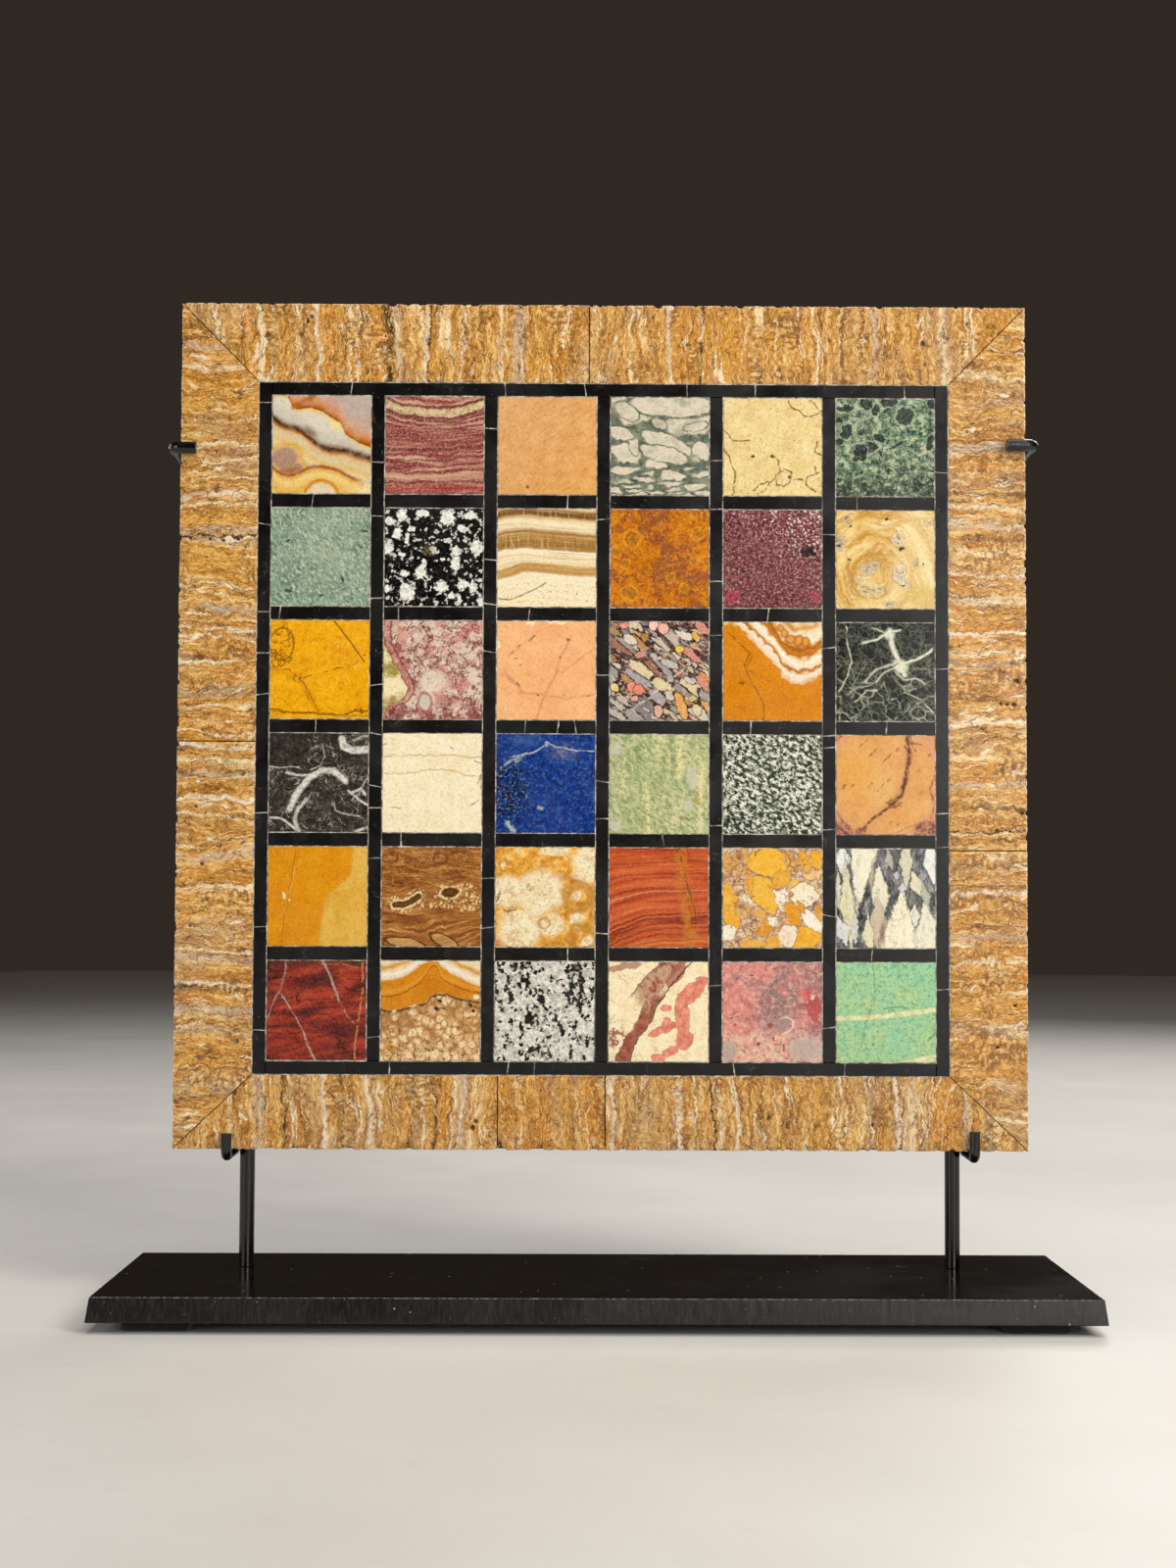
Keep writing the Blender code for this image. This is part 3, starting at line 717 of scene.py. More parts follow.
def yellow_siena(at):
    wavy = warp(warp(at, 9, 0.06, 3), 30, 0.016, 3)
    colour = ramp(noise(at, 4, 5, 0.68, 2), (0.3, "dc9300"), (0.5, "eda802"), (0.7, "f4b60c"))
    straight = stroke(warp(at, 8, 0.012), 0.0075, (0.64, 1.0), (0.83, 0.75), (0.95, 0.58), soft=0.9)
    branch = stroke(
        wavy, 0.006, (0.32, 0.41), (0.55, 0.47), (0.86, 0.55), (0.99, 0.69), soft=0.9,
    ) * spread(noise(at, 14, 3), 0.36, 0.5)
    net = stroke(wavy, 0.006, (0.02, 0.5), (0.2, 0.5), (0.3, 0.41), (0.4, 0.26), (0.5, 0.06), soft=0.9) * 0.8
    loop = most(
        stroke(wavy, 0.005, (0.23, 0.1), (0.3, 0.23), (0.38, 0.24), (0.43, 0.12), soft=0.9),
        stroke(wavy, 0.004, (0.08, 0.22), (0.24, 0.1), (0.46, 0.04), soft=0.9),
    )
    veins = most(most(straight, branch), most(net, loop * 0.6))
    corner = spread(blob(at, 0.13, 0.74, 0.13, 0.25), 1.05, 0.85)
    curls = spread(abs(noise(wavy, 9, 4, 0.65, 5) - 0.5), 0.03, 0.006) * corner
    veins = most(veins, curls, band(blob(wavy, 0.12, 0.76, 0.12, 0.16), 1, 0.06, 0.9) * 0.9)
    for x, y in ((0.05, 0.56), (0.12, 0.57), (0.17, 0.61), (0.08, 0.62), (0.03, 0.66)):
        veins = most(veins, band(blob(wavy, x, y, 0.035, 0.035), 1, 0.16, 0.9))
    u, v = plane(wavy)
    veins = most(
        veins,
        band(v - curve(u, (0, 0.09), (0.35, 0.06), (0.7, 0.05), (1, 0.09)), 0, 0.008, 0.9),
        band(v - curve(u, (0, 0.07), (0.35, 0.05), (0.7, 0.03), (1, 0.03)), 0, 0.005, 0.9) * 0.7,
        spread(blob(wavy, 0.9, 0.075, 0.09, 0.035), 1.1, 0.5) * spread(noise(at, 24, 3), 0.42, 0.54),
        spread(blob(wavy, 0.28, 0.41, 0.07, 0.08), 1.1, 0.4) * ridges(at, 16, 0.05, 3, 0.6, 3),
    )
    colour = mix(spread(noise(at, 13, 5, 0.72, 8), 0.51, 0.6) * 0.5, colour, "ca8602")
    colour = mix(spread(noise(at, 20, 4, 0.72, 3), 0.55, 0.64) * 0.4, colour, "fcca48")
    halo = spread(to_line(wavy, (0.02, 0.5), (0.3, 0.41), (0.5, 0.06)), 0.06, 0.0)
    colour = mix(halo * 0.4, colour, "bc7404")
    return mix(veins * 0.85, colour, "683a04")


def pink_breccia(at):
    at = warp(warp(at, 8, 0.06, 3), 30, 0.02, 3)
    u, v = plane(at)
    colour = ramp(
        noise(at, 8, 5, 0.68, 1), (0.34, "b08a80"), (0.44, "d0b0a0"), (0.54, "e2ceba"), (0.66, "ccb8a6"),
    )
    colour = mix(spread(noise(at, 4, 4, 0.62, 4), 0.49, 0.56) * 0.62, colour, "c87c72")
    for scale, wide, low, high, seed in (
        (4.4, 0.03, 0.44, 0.5, 6), (7.5, 0.036, 0.46, 0.52, 2), (13, 0.045, 0.49, 0.55, 9),
    ):
        squiggle = ridges(
            warp(at, 5, 0.1, 2, seed), scale, wide, 3, 0.62, seed,
        ) * spread(noise(at, 5, 4, 0.65, seed + 2), low, high)
        colour = mix(squiggle * 0.9, colour, "742428")
    colour = mix(
        spread(blob(at, 0.5, 0.38, 0.16, 0.13), 1.2, 0.6) * spread(noise(at, 18, 4, 0.7), 0.34, 0.48) * 0.8,
        colour, "e2d6c0",
    )
    wall = curve(
        v, (0, 0.0), (0.12, 0.06), (0.2, 0.2), (0.3, 0.24), (0.42, 0.2), (0.6, 0.1), (0.75, 0.02), (1, 0.0),
    )
    side = wall - u + (noise(at, 9, 4, 0.65, 7) - 0.5) * 0.05
    edge = ramp(noise(at, 14, 4, 0.72, 3), (0.4, "9a4c46"), (0.5, "bc7a6c"), (0.6, "d4a494"))
    colour = mix(band(side, -0.035, 0.035, 0.6) * 0.9, colour, edge)
    colour = mix(band(side, -0.07, 0.009, 0.9) * 0.85, colour, "74262a")
    patch = ramp(
        noise(at, 7, 5, 0.7, 5) + band(v, 0.34, 0.07, 0.9) * 0.2, (0.4, "9c8c44"), (0.5, "beac68"),
        (0.62, "eee0b4"),
    )
    colour = mix(spread(side, -0.01, 0.01), colour, patch)
    colour = mix(band(side, 0.0, 0.008, 0.9) * 0.8, colour, "7c4a2c")
    low = spread(v, 0.24, 0.05) * spread(noise(at, 9, 5, 0.7, 7), 0.46, 0.52)
    colour = mix(low * 0.8, colour, "7c2a2e")
    ring = blob(at, 0.42, 0.17, 0.07, 0.1, 10)
    return flecked(colour, ring, (1.3, 1.0, 0.7, "b0645c"), (0.85, 0.7, 0.95, "ccc6ba"))


def salmon_marble(at):
    fine = warp(warp(at, 6, 0.04, 3), 30, 0.012)
    colour = ramp(noise(fine, 3, 5, 0.65, 3), (0.32, "ecaa74"), (0.5, "f2b47c"), (0.7, "f6bf88"))
    faint = ramp_grey(noise(at, 9, 4, 0.7, 2), 0.4, 0.56, 0.35)
    pink = most(
        stroke(
            fine, 0.012, (0.76, 0.85), (0.66, 0.66), (0.58, 0.42), (0.48, 0.24), (0.41, 0.02), soft=0.9,
        ) * 0.5,
        stroke(fine, 0.018, (0.08, 0.5), (0.15, 0.4), (0.22, 0.34), (0.24, 0.28), soft=0.9) * 0.55,
        stroke(fine, 0.012, (0.24, 0.27), (0.45, 0.26), (0.7, 0.21), (0.98, 0.26), soft=0.9) * 0.4,
        stroke(fine, 0.012, (0.12, 0.64), (0.3, 0.8), (0.42, 0.9), soft=0.9) * 0.35,
        stroke(fine, 0.01, (0.66, 0.48), (0.8, 0.58), (1.0, 0.74), soft=0.9) * 0.3,
        spread(blob(fine, 0.07, 0.48, 0.07, 0.06), 1.2, 0.4) * 0.25,
    )
    colour = mix(pink * faint, colour, "b0564e")
    hairs = noise(turned(fine, 35) * (7.0, 26.0, 1.0), 1, 4, 0.68, 4)
    colour = mix(spread(hairs, 0.52, 0.64) * 0.3, colour, "d2945e")
    jagged = warp(at, 16, 0.04)
    for x, y, wide, high, degrees in (
        (0.72, 0.81, 0.025, 0.014, 0), (0.64, 0.63, 0.014, 0.014, 0), (0.37, 0.84, 0.04, 0.008, 40),
        (0.34, 0.81, 0.03, 0.007, 50), (0.22, 0.75, 0.03, 0.007, 35), (0.16, 0.68, 0.03, 0.006, 40),
        (0.42, 0.25, 0.014, 0.012, 0), (0.68, 0.25, 0.014, 0.008, 0), (0.22, 0.36, 0.035, 0.008, -50),
        (0.19, 0.62, 0.02, 0.006, 0), (0.24, 0.55, 0.02, 0.006, 30), (0.92, 0.24, 0.014, 0.008, 0),
    ):
        colour = mix(spread(blob(jagged, x, y, wide, high, degrees), 1.3, 0.4) * 0.75, colour, "5e3a28")
    chip_places = (
        (0.36, 1.0, 0.03, 0.05), (0.32, 0.98, 0.03, 0.02), (0.55, 1.0, 0.05, 0.03),
        (0.65, 1.0, 0.06, 0.035), (0.01, 0.76, 0.03, 0.04),
    )
    chips = most(*(spread(blob(jagged, x, y, wide, high), 1.1, 0.9) for x, y, wide, high in chip_places))
    return mix(chips * 0.85, colour, "fae6bc")


def mixed_breccia(at):
    at = shattered(warp(at, 10, 0.024, 3), 24, 0.014)
    slanted = turned(at, 36) * (0.5, 1.4, 1.0)
    wall = cell_edges(slanted, 8.2, 1.0, 2.6)
    _, tint, _ = cells(slanted, 8.2, 1.0, 2.6)
    picks = (
        (0.0, "a09a98"), (0.14, "d4c8b2"), (0.3, "80787a"), (0.42, "c0b4a8"), (0.52, "dccba0"),
        (0.6, "b88850"), (0.66, "a8a2a6"), (0.74, "dca064"), (0.79, "d48a78"), (0.84, "e0d4be"),
        (0.95, "9c6a50"), (1.0, "9c6a50"),
    )
    shard = ramp(channel(tint), *picks, kind="CONSTANT")
    chips = spread(wall, 0.07, 0.11) * spread(channel(tint, 1), 0.16, 0.24)
    small_wall = cell_edges(slanted, 21, 1.0, 5.1)
    _, small_tint, _ = cells(slanted, 21, 1.0, 5.1)
    small = ramp(channel(small_tint, 2), *picks, kind="CONSTANT")
    crumbs = spread(small_wall, 0.08, 0.16) * spread(channel(small_tint), 0.3, 0.4)
    ground = mix(
        crumbs * 0.9, ramp(noise(at, 20, 4, 0.72), (0.38, "26120e"), (0.55, "442620"), (0.68, "6c4840")),
        small,
    )
    colour = mix(chips, ground, shard)
    for x, y, wide, high, degrees, code in (
        (0.72, 0.15, 0.045, 0.15, 20, "e0a458"), (0.22, 0.34, 0.05, 0.05, 0, "ec8e74"),
        (0.29, 0.31, 0.05, 0.05, 30, "e88870"), (0.25, 0.22, 0.04, 0.03, 0, "e8a08c"),
        (0.44, 0.96, 0.05, 0.05, -10, "f0c8b4"), (0.54, 0.93, 0.06, 0.05, 10, "f0b4a0"),
        (0.7, 0.72, 0.04, 0.035, 0, "ecc83c"), (0.6, 0.57, 0.1, 0.035, -20, "c4bcb4"),
        (0.88, 0.1, 0.045, 0.06, 30, "dccca0"), (0.49, 0.1, 0.045, 0.06, 15, "dcaa94"),
        (0.14, 0.96, 0.05, 0.03, 0, "e49484"), (0.87, 0.85, 0.03, 0.06, 30, "dcb448"),
        (0.2, 0.82, 0.08, 0.04, -30, "dcd0b8"), (0.6, 0.25, 0.06, 0.035, -52, "ccc4ba"),
        (0.05, 0.33, 0.05, 0.04, -30, "e4cc7c"), (0.35, 0.84, 0.04, 0.05, 40, "a87c34"),
        (0.96, 0.45, 0.02, 0.07, 55, "dc9448"), (0.8, 0.4, 0.06, 0.025, -30, "ccc8c0"),
        (0.84, 0.22, 0.04, 0.03, 0, "ccbc7c"),
    ):
        ring = blob(at, x, y, wide, high, degrees)
        colour = mix(spread(ring, 1.25, 1.08) * 0.85, colour, "2c1614")
        colour = mix(spread(ring, 1.02, 0.93), colour, code)
    vein = stroke(at, 0.009, (0.22, 0.1), (0.36, 0.2), (0.55, 0.36), (0.72, 0.5), (0.83, 0.6), soft=0.8)
    colour = mix(vein * spread(noise(at, 15, 3), 0.38, 0.48) * 0.85, colour, "dcd0bc")
    grain = noise(at, 34, 4, 0.75)
    return flecked(colour, grain, (0.52, 0.66, 0.3, "ece0cc"), (0.46, 0.36, 0.35, "3a2420"))


def orange_alabaster(at):
    wavy = warp(warp(at, 9, 0.06, 3), 26, 0.024, 3)
    u, v = plane(wavy)
    edge = curve(
        u, (0, 1.0), (0.08, 1.0), (0.28, 0.83), (0.42, 0.7), (0.52, 0.6), (0.6, 0.47), (0.7, 0.4),
        (0.86, 0.4), (1, 0.48),
    )
    scallop = cells(at, 12, 1, 2)[0]
    depth = v - edge + (scallop - 0.4) * 0.06
    ripple = (noise(at, 16, 4, 0.68) - 0.5) * 0.06
    colour = ramp(noise(at, 3, 5, 0.65, 2), (0.35, "cf7c00"), (0.65, "dc8a00"))
    colour = mix(ridges(at, 6, 0.03, 4, 0.65, 8) * 0.25, colour, "b46a02")
    layers = ramp(
        depth + ripple, (-0.02, "d88c14"), (0.0, "e0b47c"), (0.03, "ecd8bc"), (0.075, "f2e6d2"),
        (0.1, "e0a45c"), (0.115, "9c5808"), (0.13, "d0923c"), (0.155, "eed8b4"), (0.21, "f6eedc"),
        (0.245, "e8bc74"), (0.27, "b46404"), (0.31, "cc7c10"), (0.345, "a05804"), (0.38, "d89844"),
        (0.42, "f2e6c8"), (0.5, "ecd8b0"), (0.56, "d08c2c"), (0.6, "e8cca0"),
    )
    colour = mix(spread(depth + ripple, -0.02, 0.0), colour, layers)
    for x, y, size in (
        (0.68, 0.83, 0.055), (0.76, 0.81, 0.06), (0.84, 0.8, 0.05), (0.62, 0.89, 0.045),
        (0.58, 0.94, 0.035),
    ):
        ring = blob(wavy, x, y, size, size)
        colour = mix(spread(ring, 1.15, 0.85) * 0.85, colour, "b4640a")
        colour = mix(spread(ring, 0.85, 0.3), colour, "e09c38")
    jagged = warp(at, 14, 0.04)
    hair = stroke(
        jagged, 0.006, (0.05, 0.9), (0.21, 0.75), (0.28, 0.68), (0.21, 0.58), (0.25, 0.47), (0.31, 0.35),
        (0.41, 0.19), (0.41, 0.0), soft=0.9,
    )
    inner = most(
        stroke(jagged, 0.0055, (0.3, 0.66), (0.25, 0.57), (0.27, 0.5), (0.31, 0.48), soft=0.9),
        stroke(jagged, 0.0045, (0.26, 0.69), (0.23, 0.57), (0.26, 0.44), soft=0.9) * 0.7,
    )
    colour = mix(most(hair * 0.75, inner * 0.65), colour, "4c330a")
    colour = mix(spread(noise(at, 24, 4, 0.75, 6), 0.54, 0.66) * 0.25, colour, "a86204")
    return mix(spread(blob(jagged, 0.19, 0.38, 0.035, 0.022), 1.3, 0.3) * 0.65, colour, "5e3a06")


def veined_serpentine(at):
    at = warp(warp(at, 8, 0.05, 3), 30, 0.014)
    _, v = plane(at)
    colour = ramp(noise(at, 10, 6, 0.7, 2), (0.35, "060806"), (0.5, "0f120e"), (0.68, "2c322a"))
    net = spread(
        cell_edges(warp(at, 5, 0.12), 6.5, 1, 3), 0.065, 0.0,
    ) * spread(noise(at, 5, 3, 0.6, 5), 0.4, 0.54)
    colour = mix(net * spread(v, 0.8, 0.3) * 0.85, colour, "a9ab96")
    fine = spread(
        cell_edges(warp(at, 9, 0.08), 15, 1, 7), 0.07, 0.0,
    ) * spread(noise(at, 5, 3, 0.6, 8), 0.44, 0.54)
    colour = mix(fine * 0.55, colour, "8c917c")
    colour = mix(ridges(turned(at, 40) * (3.0, 8.0, 1.0), 1, 0.02, 4, 0.65, 6) * 0.5, colour, "7c8472")
    star = most(
        stroke(at, 0.024, (0.54, 0.93), (0.56, 0.78), (0.63, 0.62), (0.69, 0.47), soft=0.7),
        stroke(at, 0.012, (0.28, 0.8), (0.42, 0.83), (0.54, 0.91), (0.66, 0.93), soft=0.8),
        stroke(at, 0.014, (0.64, 0.59), (0.8, 0.62), (0.97, 0.72), soft=0.7),
        spread(blob(at, 0.65, 0.56, 0.1, 0.085, -40), 1.1, 0.5) * spread(noise(at, 16, 4, 0.7, 3), 0.38, 0.5),
        spread(blob(at, 0.54, 0.88, 0.07, 0.06), 1.1, 0.5) * 0.9,
    )
    for size, line in (
        (0.01, ((0.62, 0.6), (0.45, 0.54), (0.34, 0.48), (0.3, 0.4))),
        (0.008, ((0.1, 0.96), (0.11, 0.8), (0.16, 0.6), (0.1, 0.42), (0.03, 0.3))),
        (0.009, ((0.6, 0.5), (0.68, 0.42), (0.8, 0.44), (0.9, 0.38))), (0.006, ((0.36, 0.95), (0.5, 0.9))),
        (0.008, ((0.4, 0.4), (0.5, 0.5), (0.6, 0.55))), (0.007, ((0.2, 0.2), (0.3, 0.3), (0.42, 0.32))),
        (0.006, ((0.7, 0.3), (0.85, 0.22), (0.98, 0.1))),
    ):
        star = most(star, stroke(at, size, *line, soft=0.9) * 0.75)
    return mix(star * ramp_grey(noise(at, 14, 4, 0.7), 0.35, 0.55, 0.75), colour, "e0e0c8")




def black_white_marble(at):
    at = warp(warp(at, 7, 0.035, 3), 30, 0.012)
    colour = ramp(noise(at, 12, 5, 0.7, 2), (0.35, "1e1a17"), (0.55, "342f2a"), (0.7, "544c44"))
    quiet = spread(blob(at, 0.14, 0.85, 0.3, 0.2), 0.7, 1.2)
    for angle, scale, seed in ((30, 5.0, 3), (-50, 6.5, 6), (80, 5.5, 9), (0, 8.0, 12)):
        swirl = turned(warp(at, 4, 0.35), angle) * (1.0, 2.4, 1.0)
        wisps = ridges(swirl, scale, 0.016, 2, 0.5, seed) * spread(noise(at, 6, 2, 0.5, seed + 2), 0.5, 0.58)
        colour = mix(wisps * quiet * 0.8, colour, "b8b1a4")
    arch = most(
        stroke(at, 0.029, (0.21, 0.23), (0.29, 0.4), (0.4, 0.54), (0.53, 0.625), (0.65, 0.62), (0.77, 0.52)),
        stroke(at, 0.012, (0.18, 0.6), (0.28, 0.575), (0.4, 0.57), (0.47, 0.6), soft=0.7),
        stroke(at, 0.017, (0.31, 0.01), (0.26, 0.13), (0.3, 0.24), (0.38, 0.33), soft=0.7) * 0.8,
        stroke(at, 0.011, (0.0, 0.14), (0.13, 0.14), (0.31, 0.01), soft=0.7),
        stroke(at, 0.011, (0.8, 0.42), (0.9, 0.33), (1.0, 0.28), soft=0.7),
        stroke(at, 0.006, (0.0, 0.66), (0.16, 0.65), (0.31, 0.655), soft=0.8) * 0.8,
        stroke(at, 0.006, (0.42, 0.63), (0.52, 0.68), (0.56, 0.76), (0.54, 0.84), soft=0.9) * 0.7,
        stroke(at, 0.007, (0.66, 0.3), (0.67, 0.22), (0.74, 0.19), (0.92, 0.16), soft=0.9) * 0.6,
        stroke(at, 0.007, (0.84, 0.32), (0.92, 0.4), (1.0, 0.56), soft=0.9) * 0.6,
        stroke(at, 0.012, (0.84, 0.4), (0.93, 0.44), (0.97, 0.38), soft=0.9),
        stroke(at, 0.034, (0.73, 0.94), (0.75, 0.87), (0.84, 0.83), (1.0, 0.84), soft=0.4),
        stroke(at, 0.012, (0.86, 0.93), (0.95, 0.97), (1.0, 0.96), soft=0.9) * 0.6,
        stroke(at, 0.014, (0.88, 0.01), (1.0, 0.05), soft=0.8) * 0.8,
    )
    lined = ramp(noise(at, 26, 4, 0.7, 5), (0.36, "a09c94"), (0.48, "d2cec4"), (0.6, "e8e4da"))
    return mix(arch * ramp_grey(noise(at, 20, 3), 0.36, 0.5, 0.72), colour, lined)


def ivory_marble(at):
    at = warp(at, 30, 0.01)
    u, v = plane(at)
    colour = ramp(noise(at, 5, 5, 0.6, 2), (0.3, "efdfb6"), (0.5, "f5e8c6"), (0.7, "f8edd2"))
    wavy = v + (noise(vec(u, v * 0.2), 10, 5, 0.7) - 0.5) * 0.1
    upper = band(wavy - curve(u, (0, 0.765), (0.4, 0.78), (0.75, 0.775), (1, 0.77)), 0, 0.007, 0.9)
    lower = band(
        wavy - curve(u, (0, 0.6), (0.15, 0.59), (0.4, 0.62), (0.67, 0.63), (0.85, 0.58), (1, 0.58)), 0,
        0.006, 0.9,
    )
    colour = mix(most(upper, lower) * ramp_grey(noise(at, 8), 0.32, 0.5, 0.4) * 0.7, colour, "bc9458")
    colour = mix(spread(noise(at, 26, 4, 0.7, 5), 0.52, 0.66) * 0.5, colour, "dcc08a")
    rough = grains(at, 30, 9, 0.5, 0.56, 7) * spots(at, 46, 0.3, 0.5, 2)
    colour = mix(rough * 0.55, colour, "ac8e58")
    chips = stroke(warp(at, 20, 0.03), 0.006, (0.93, 0.72), (1.0, 0.7), soft=0.9)
    for line in (
        ((0.96, 0.5), (1.0, 0.6)), ((0.1, 0.25), (0.18, 0.24)), ((0.68, 0.87), (0.72, 0.84)),
        ((0.99, 0.56), (1.0, 0.44)), ((0.0, 0.88), (0.03, 0.9)), ((0.9, 0.28), (0.97, 0.33)),
    ):
        chips = most(chips, stroke(warp(at, 20, 0.03), 0.006, *line, soft=0.9))
    return mix(chips * 0.75, colour, "5e4a26")


def lapis_lazuli(at):
    at = warp(at, 30, 0.012)
    wavy = warp(at, 12, 0.04, 3)
    colour = ramp(
        noise(at, 15, 6, 0.75, 2), (0.34, "03174a"), (0.45, "082b78"), (0.55, "0f3a8c"), (0.68, "2257a0"),
    )
    colour = mix(grains(at, 48, 30, 0.55, 0.62, 7) * 0.5, colour, "4470a8")
    colour = mix(spread(noise(at, 24, 4, 0.7, 3), 0.52, 0.62) * 0.6, colour, "071a4a")
    left = spread(blob(at, 0.1, 0.42, 0.28, 0.36), 1.2, 0.4)
    colour = mix(left * spread(noise(at, 17, 4, 0.7, 5), 0.44, 0.52) * 0.85, colour, "05102c")
    colour = mix(left * spread(noise(at, 34, 4, 0.7, 9), 0.57, 0.62) * 0.85, colour, "8fa8ac")
    colour = mix(
        spread(blob(at, 0.68, 0.82, 0.24, 0.15), 1, 0) * spread(noise(at, 14, 4, 0.7), 0.36, 0.6) * 0.55,
        colour, "8c8ca0",
    )
    colour = mix(spread(blob(at, 0.3, 0.93, 0.3, 0.08), 1, 0) * 0.4, colour, "4a6cb0")
    vein = most(
        stroke(wavy, 0.007, (0.16, 0.77), (0.24, 0.79), (0.41, 0.82), (0.51, 0.91), soft=0.8),
        stroke(wavy, 0.006, (0.51, 0.91), (0.62, 0.87), (0.77, 0.84), (1.0, 0.83), soft=0.8),
        stroke(
            wavy, 0.012, (0.05, 0.66), (0.12, 0.71), (0.18, 0.74), (0.27, 0.79), soft=0.8,
        ) * spread(noise(at, 22, 3), 0.4, 0.5),
        spread(blob(wavy, 0.51, 0.9, 0.022, 0.03), 1.2, 0.6),
        stroke(wavy, 0.024, (0.12, 0.1), (0.18, 0.02), soft=0.8) * spread(noise(at, 18, 3), 0.38, 0.5),
        stroke(wavy, 0.016, (0.43, 0.26), (0.47, 0.25), soft=0.8) * 0.8,
        spread(blob(wavy, 0.22, 0.74, 0.05, 0.03, 30), 1.2, 0.6) * 0.6,
    )
    return mix(vein * ramp_grey(noise(at, 26, 3), 0.35, 0.5, 0.5), colour, "a9b8bc")


def straw_marble(at):
    at = warp(warp(at, 6, 0.04, 3), 30, 0.014)
    u, v = plane(at)
    drift = noise(at * (7.0, 2.2, 1.0), 1, 5, 0.65, 2)
    colour = ramp(drift, (0.3, "8c9c64"), (0.43, "a3b07c"), (0.55, "b9be8c"), (0.68, "d2cc9c"))
    strokes = noise(turned(warp(at, 14, 0.06), 35) * (12.0, 34.0, 1.0), 1, 4, 0.7, 4)
    colour = flecked(colour, strokes, (0.49, 0.4, 0.75, "6e8454"), (0.53, 0.62, 0.65, "dcdcb0"))
    colour = mix(spread(noise(at, 30, 4, 0.75, 8), 0.46, 0.36) * 0.5, colour, "7a8048")
    yellow = ridges(at * (7.0, 1.4, 1.0), 1, 0.03, 3, 0.6, 6) * spread(noise(at, 16, 4, 0.7), 0.44, 0.54)
    colour = mix(yellow * 0.8, colour, "e4d59c")
    stripe = most(
        band(u, 0.71, 0.03, 0.9) * spread(v, 0.45, 0.65),
        band(u, 0.92, 0.025, 0.9) * spread(v, 0.85, 0.65),
        band(u + v * 0.05, 0.4, 0.02, 0.9) * spread(v, 0.6, 0.4),
    )
    colour = mix(stripe * spread(noise(at, 18, 4, 0.7), 0.4, 0.52) * 0.9, colour, "e8d9a4")
    pale = most(
        spread(blob(at, 0.83, 0.56, 0.06, 0.13), 1.2, 0.6),
        spread(blob(at, 0.8, 0.28, 0.05, 0.08), 1.2, 0.6),
        spread(blob(at, 0.06, 0.86, 0.08, 0.08), 1.2, 0.5),
        spread(blob(at, 0.06, 0.08, 0.06, 0.08), 1.2, 0.5),
        spread(blob(at, 0.95, 0.06, 0.06, 0.08), 1.2, 0.5) * 0.6,
    )
    colour = mix(pale * spread(noise(at, 12, 4, 0.7, 5), 0.36, 0.5) * 0.85, colour, "c9c6b2")
    colour = mix(
        spread(blob(at, 0.9, 0.36, 0.07, 0.07), 1.2, 0.5) * spread(noise(at, 20, 4, 0.7), 0.48, 0.58),
        colour, "b09a4c",
    )
    return mix(stroke(at, 0.01, (0.7, 0.17), (0.8, 0.14), (0.86, 0.16), soft=0.9) * 0.6, colour, "747644")


def grey_granite(at):
    at = warp(warp(at, 9, 0.03), 40, 0.014)
    mesh = noise(turned(at, 30) * (19.0, 27.0, 1.0), 1, 4, 0.68, 2)
    tone = mesh + (noise(at, 3.2, 2, 0.5, 5) - 0.5) * 0.1
    colour = ramp(
        tone, (0.38, "1a201a"), (0.455, "2c342a"), (0.5, "6c7466"), (0.53, "c2c6b4"), (0.58, "e6e6d6"),
        (0.7, "f2f1e2"),
    )
    return mix(spread(noise(at, 52, 3, 0.7, 7), 0.54, 0.64) * 0.35, colour, "7c8472")


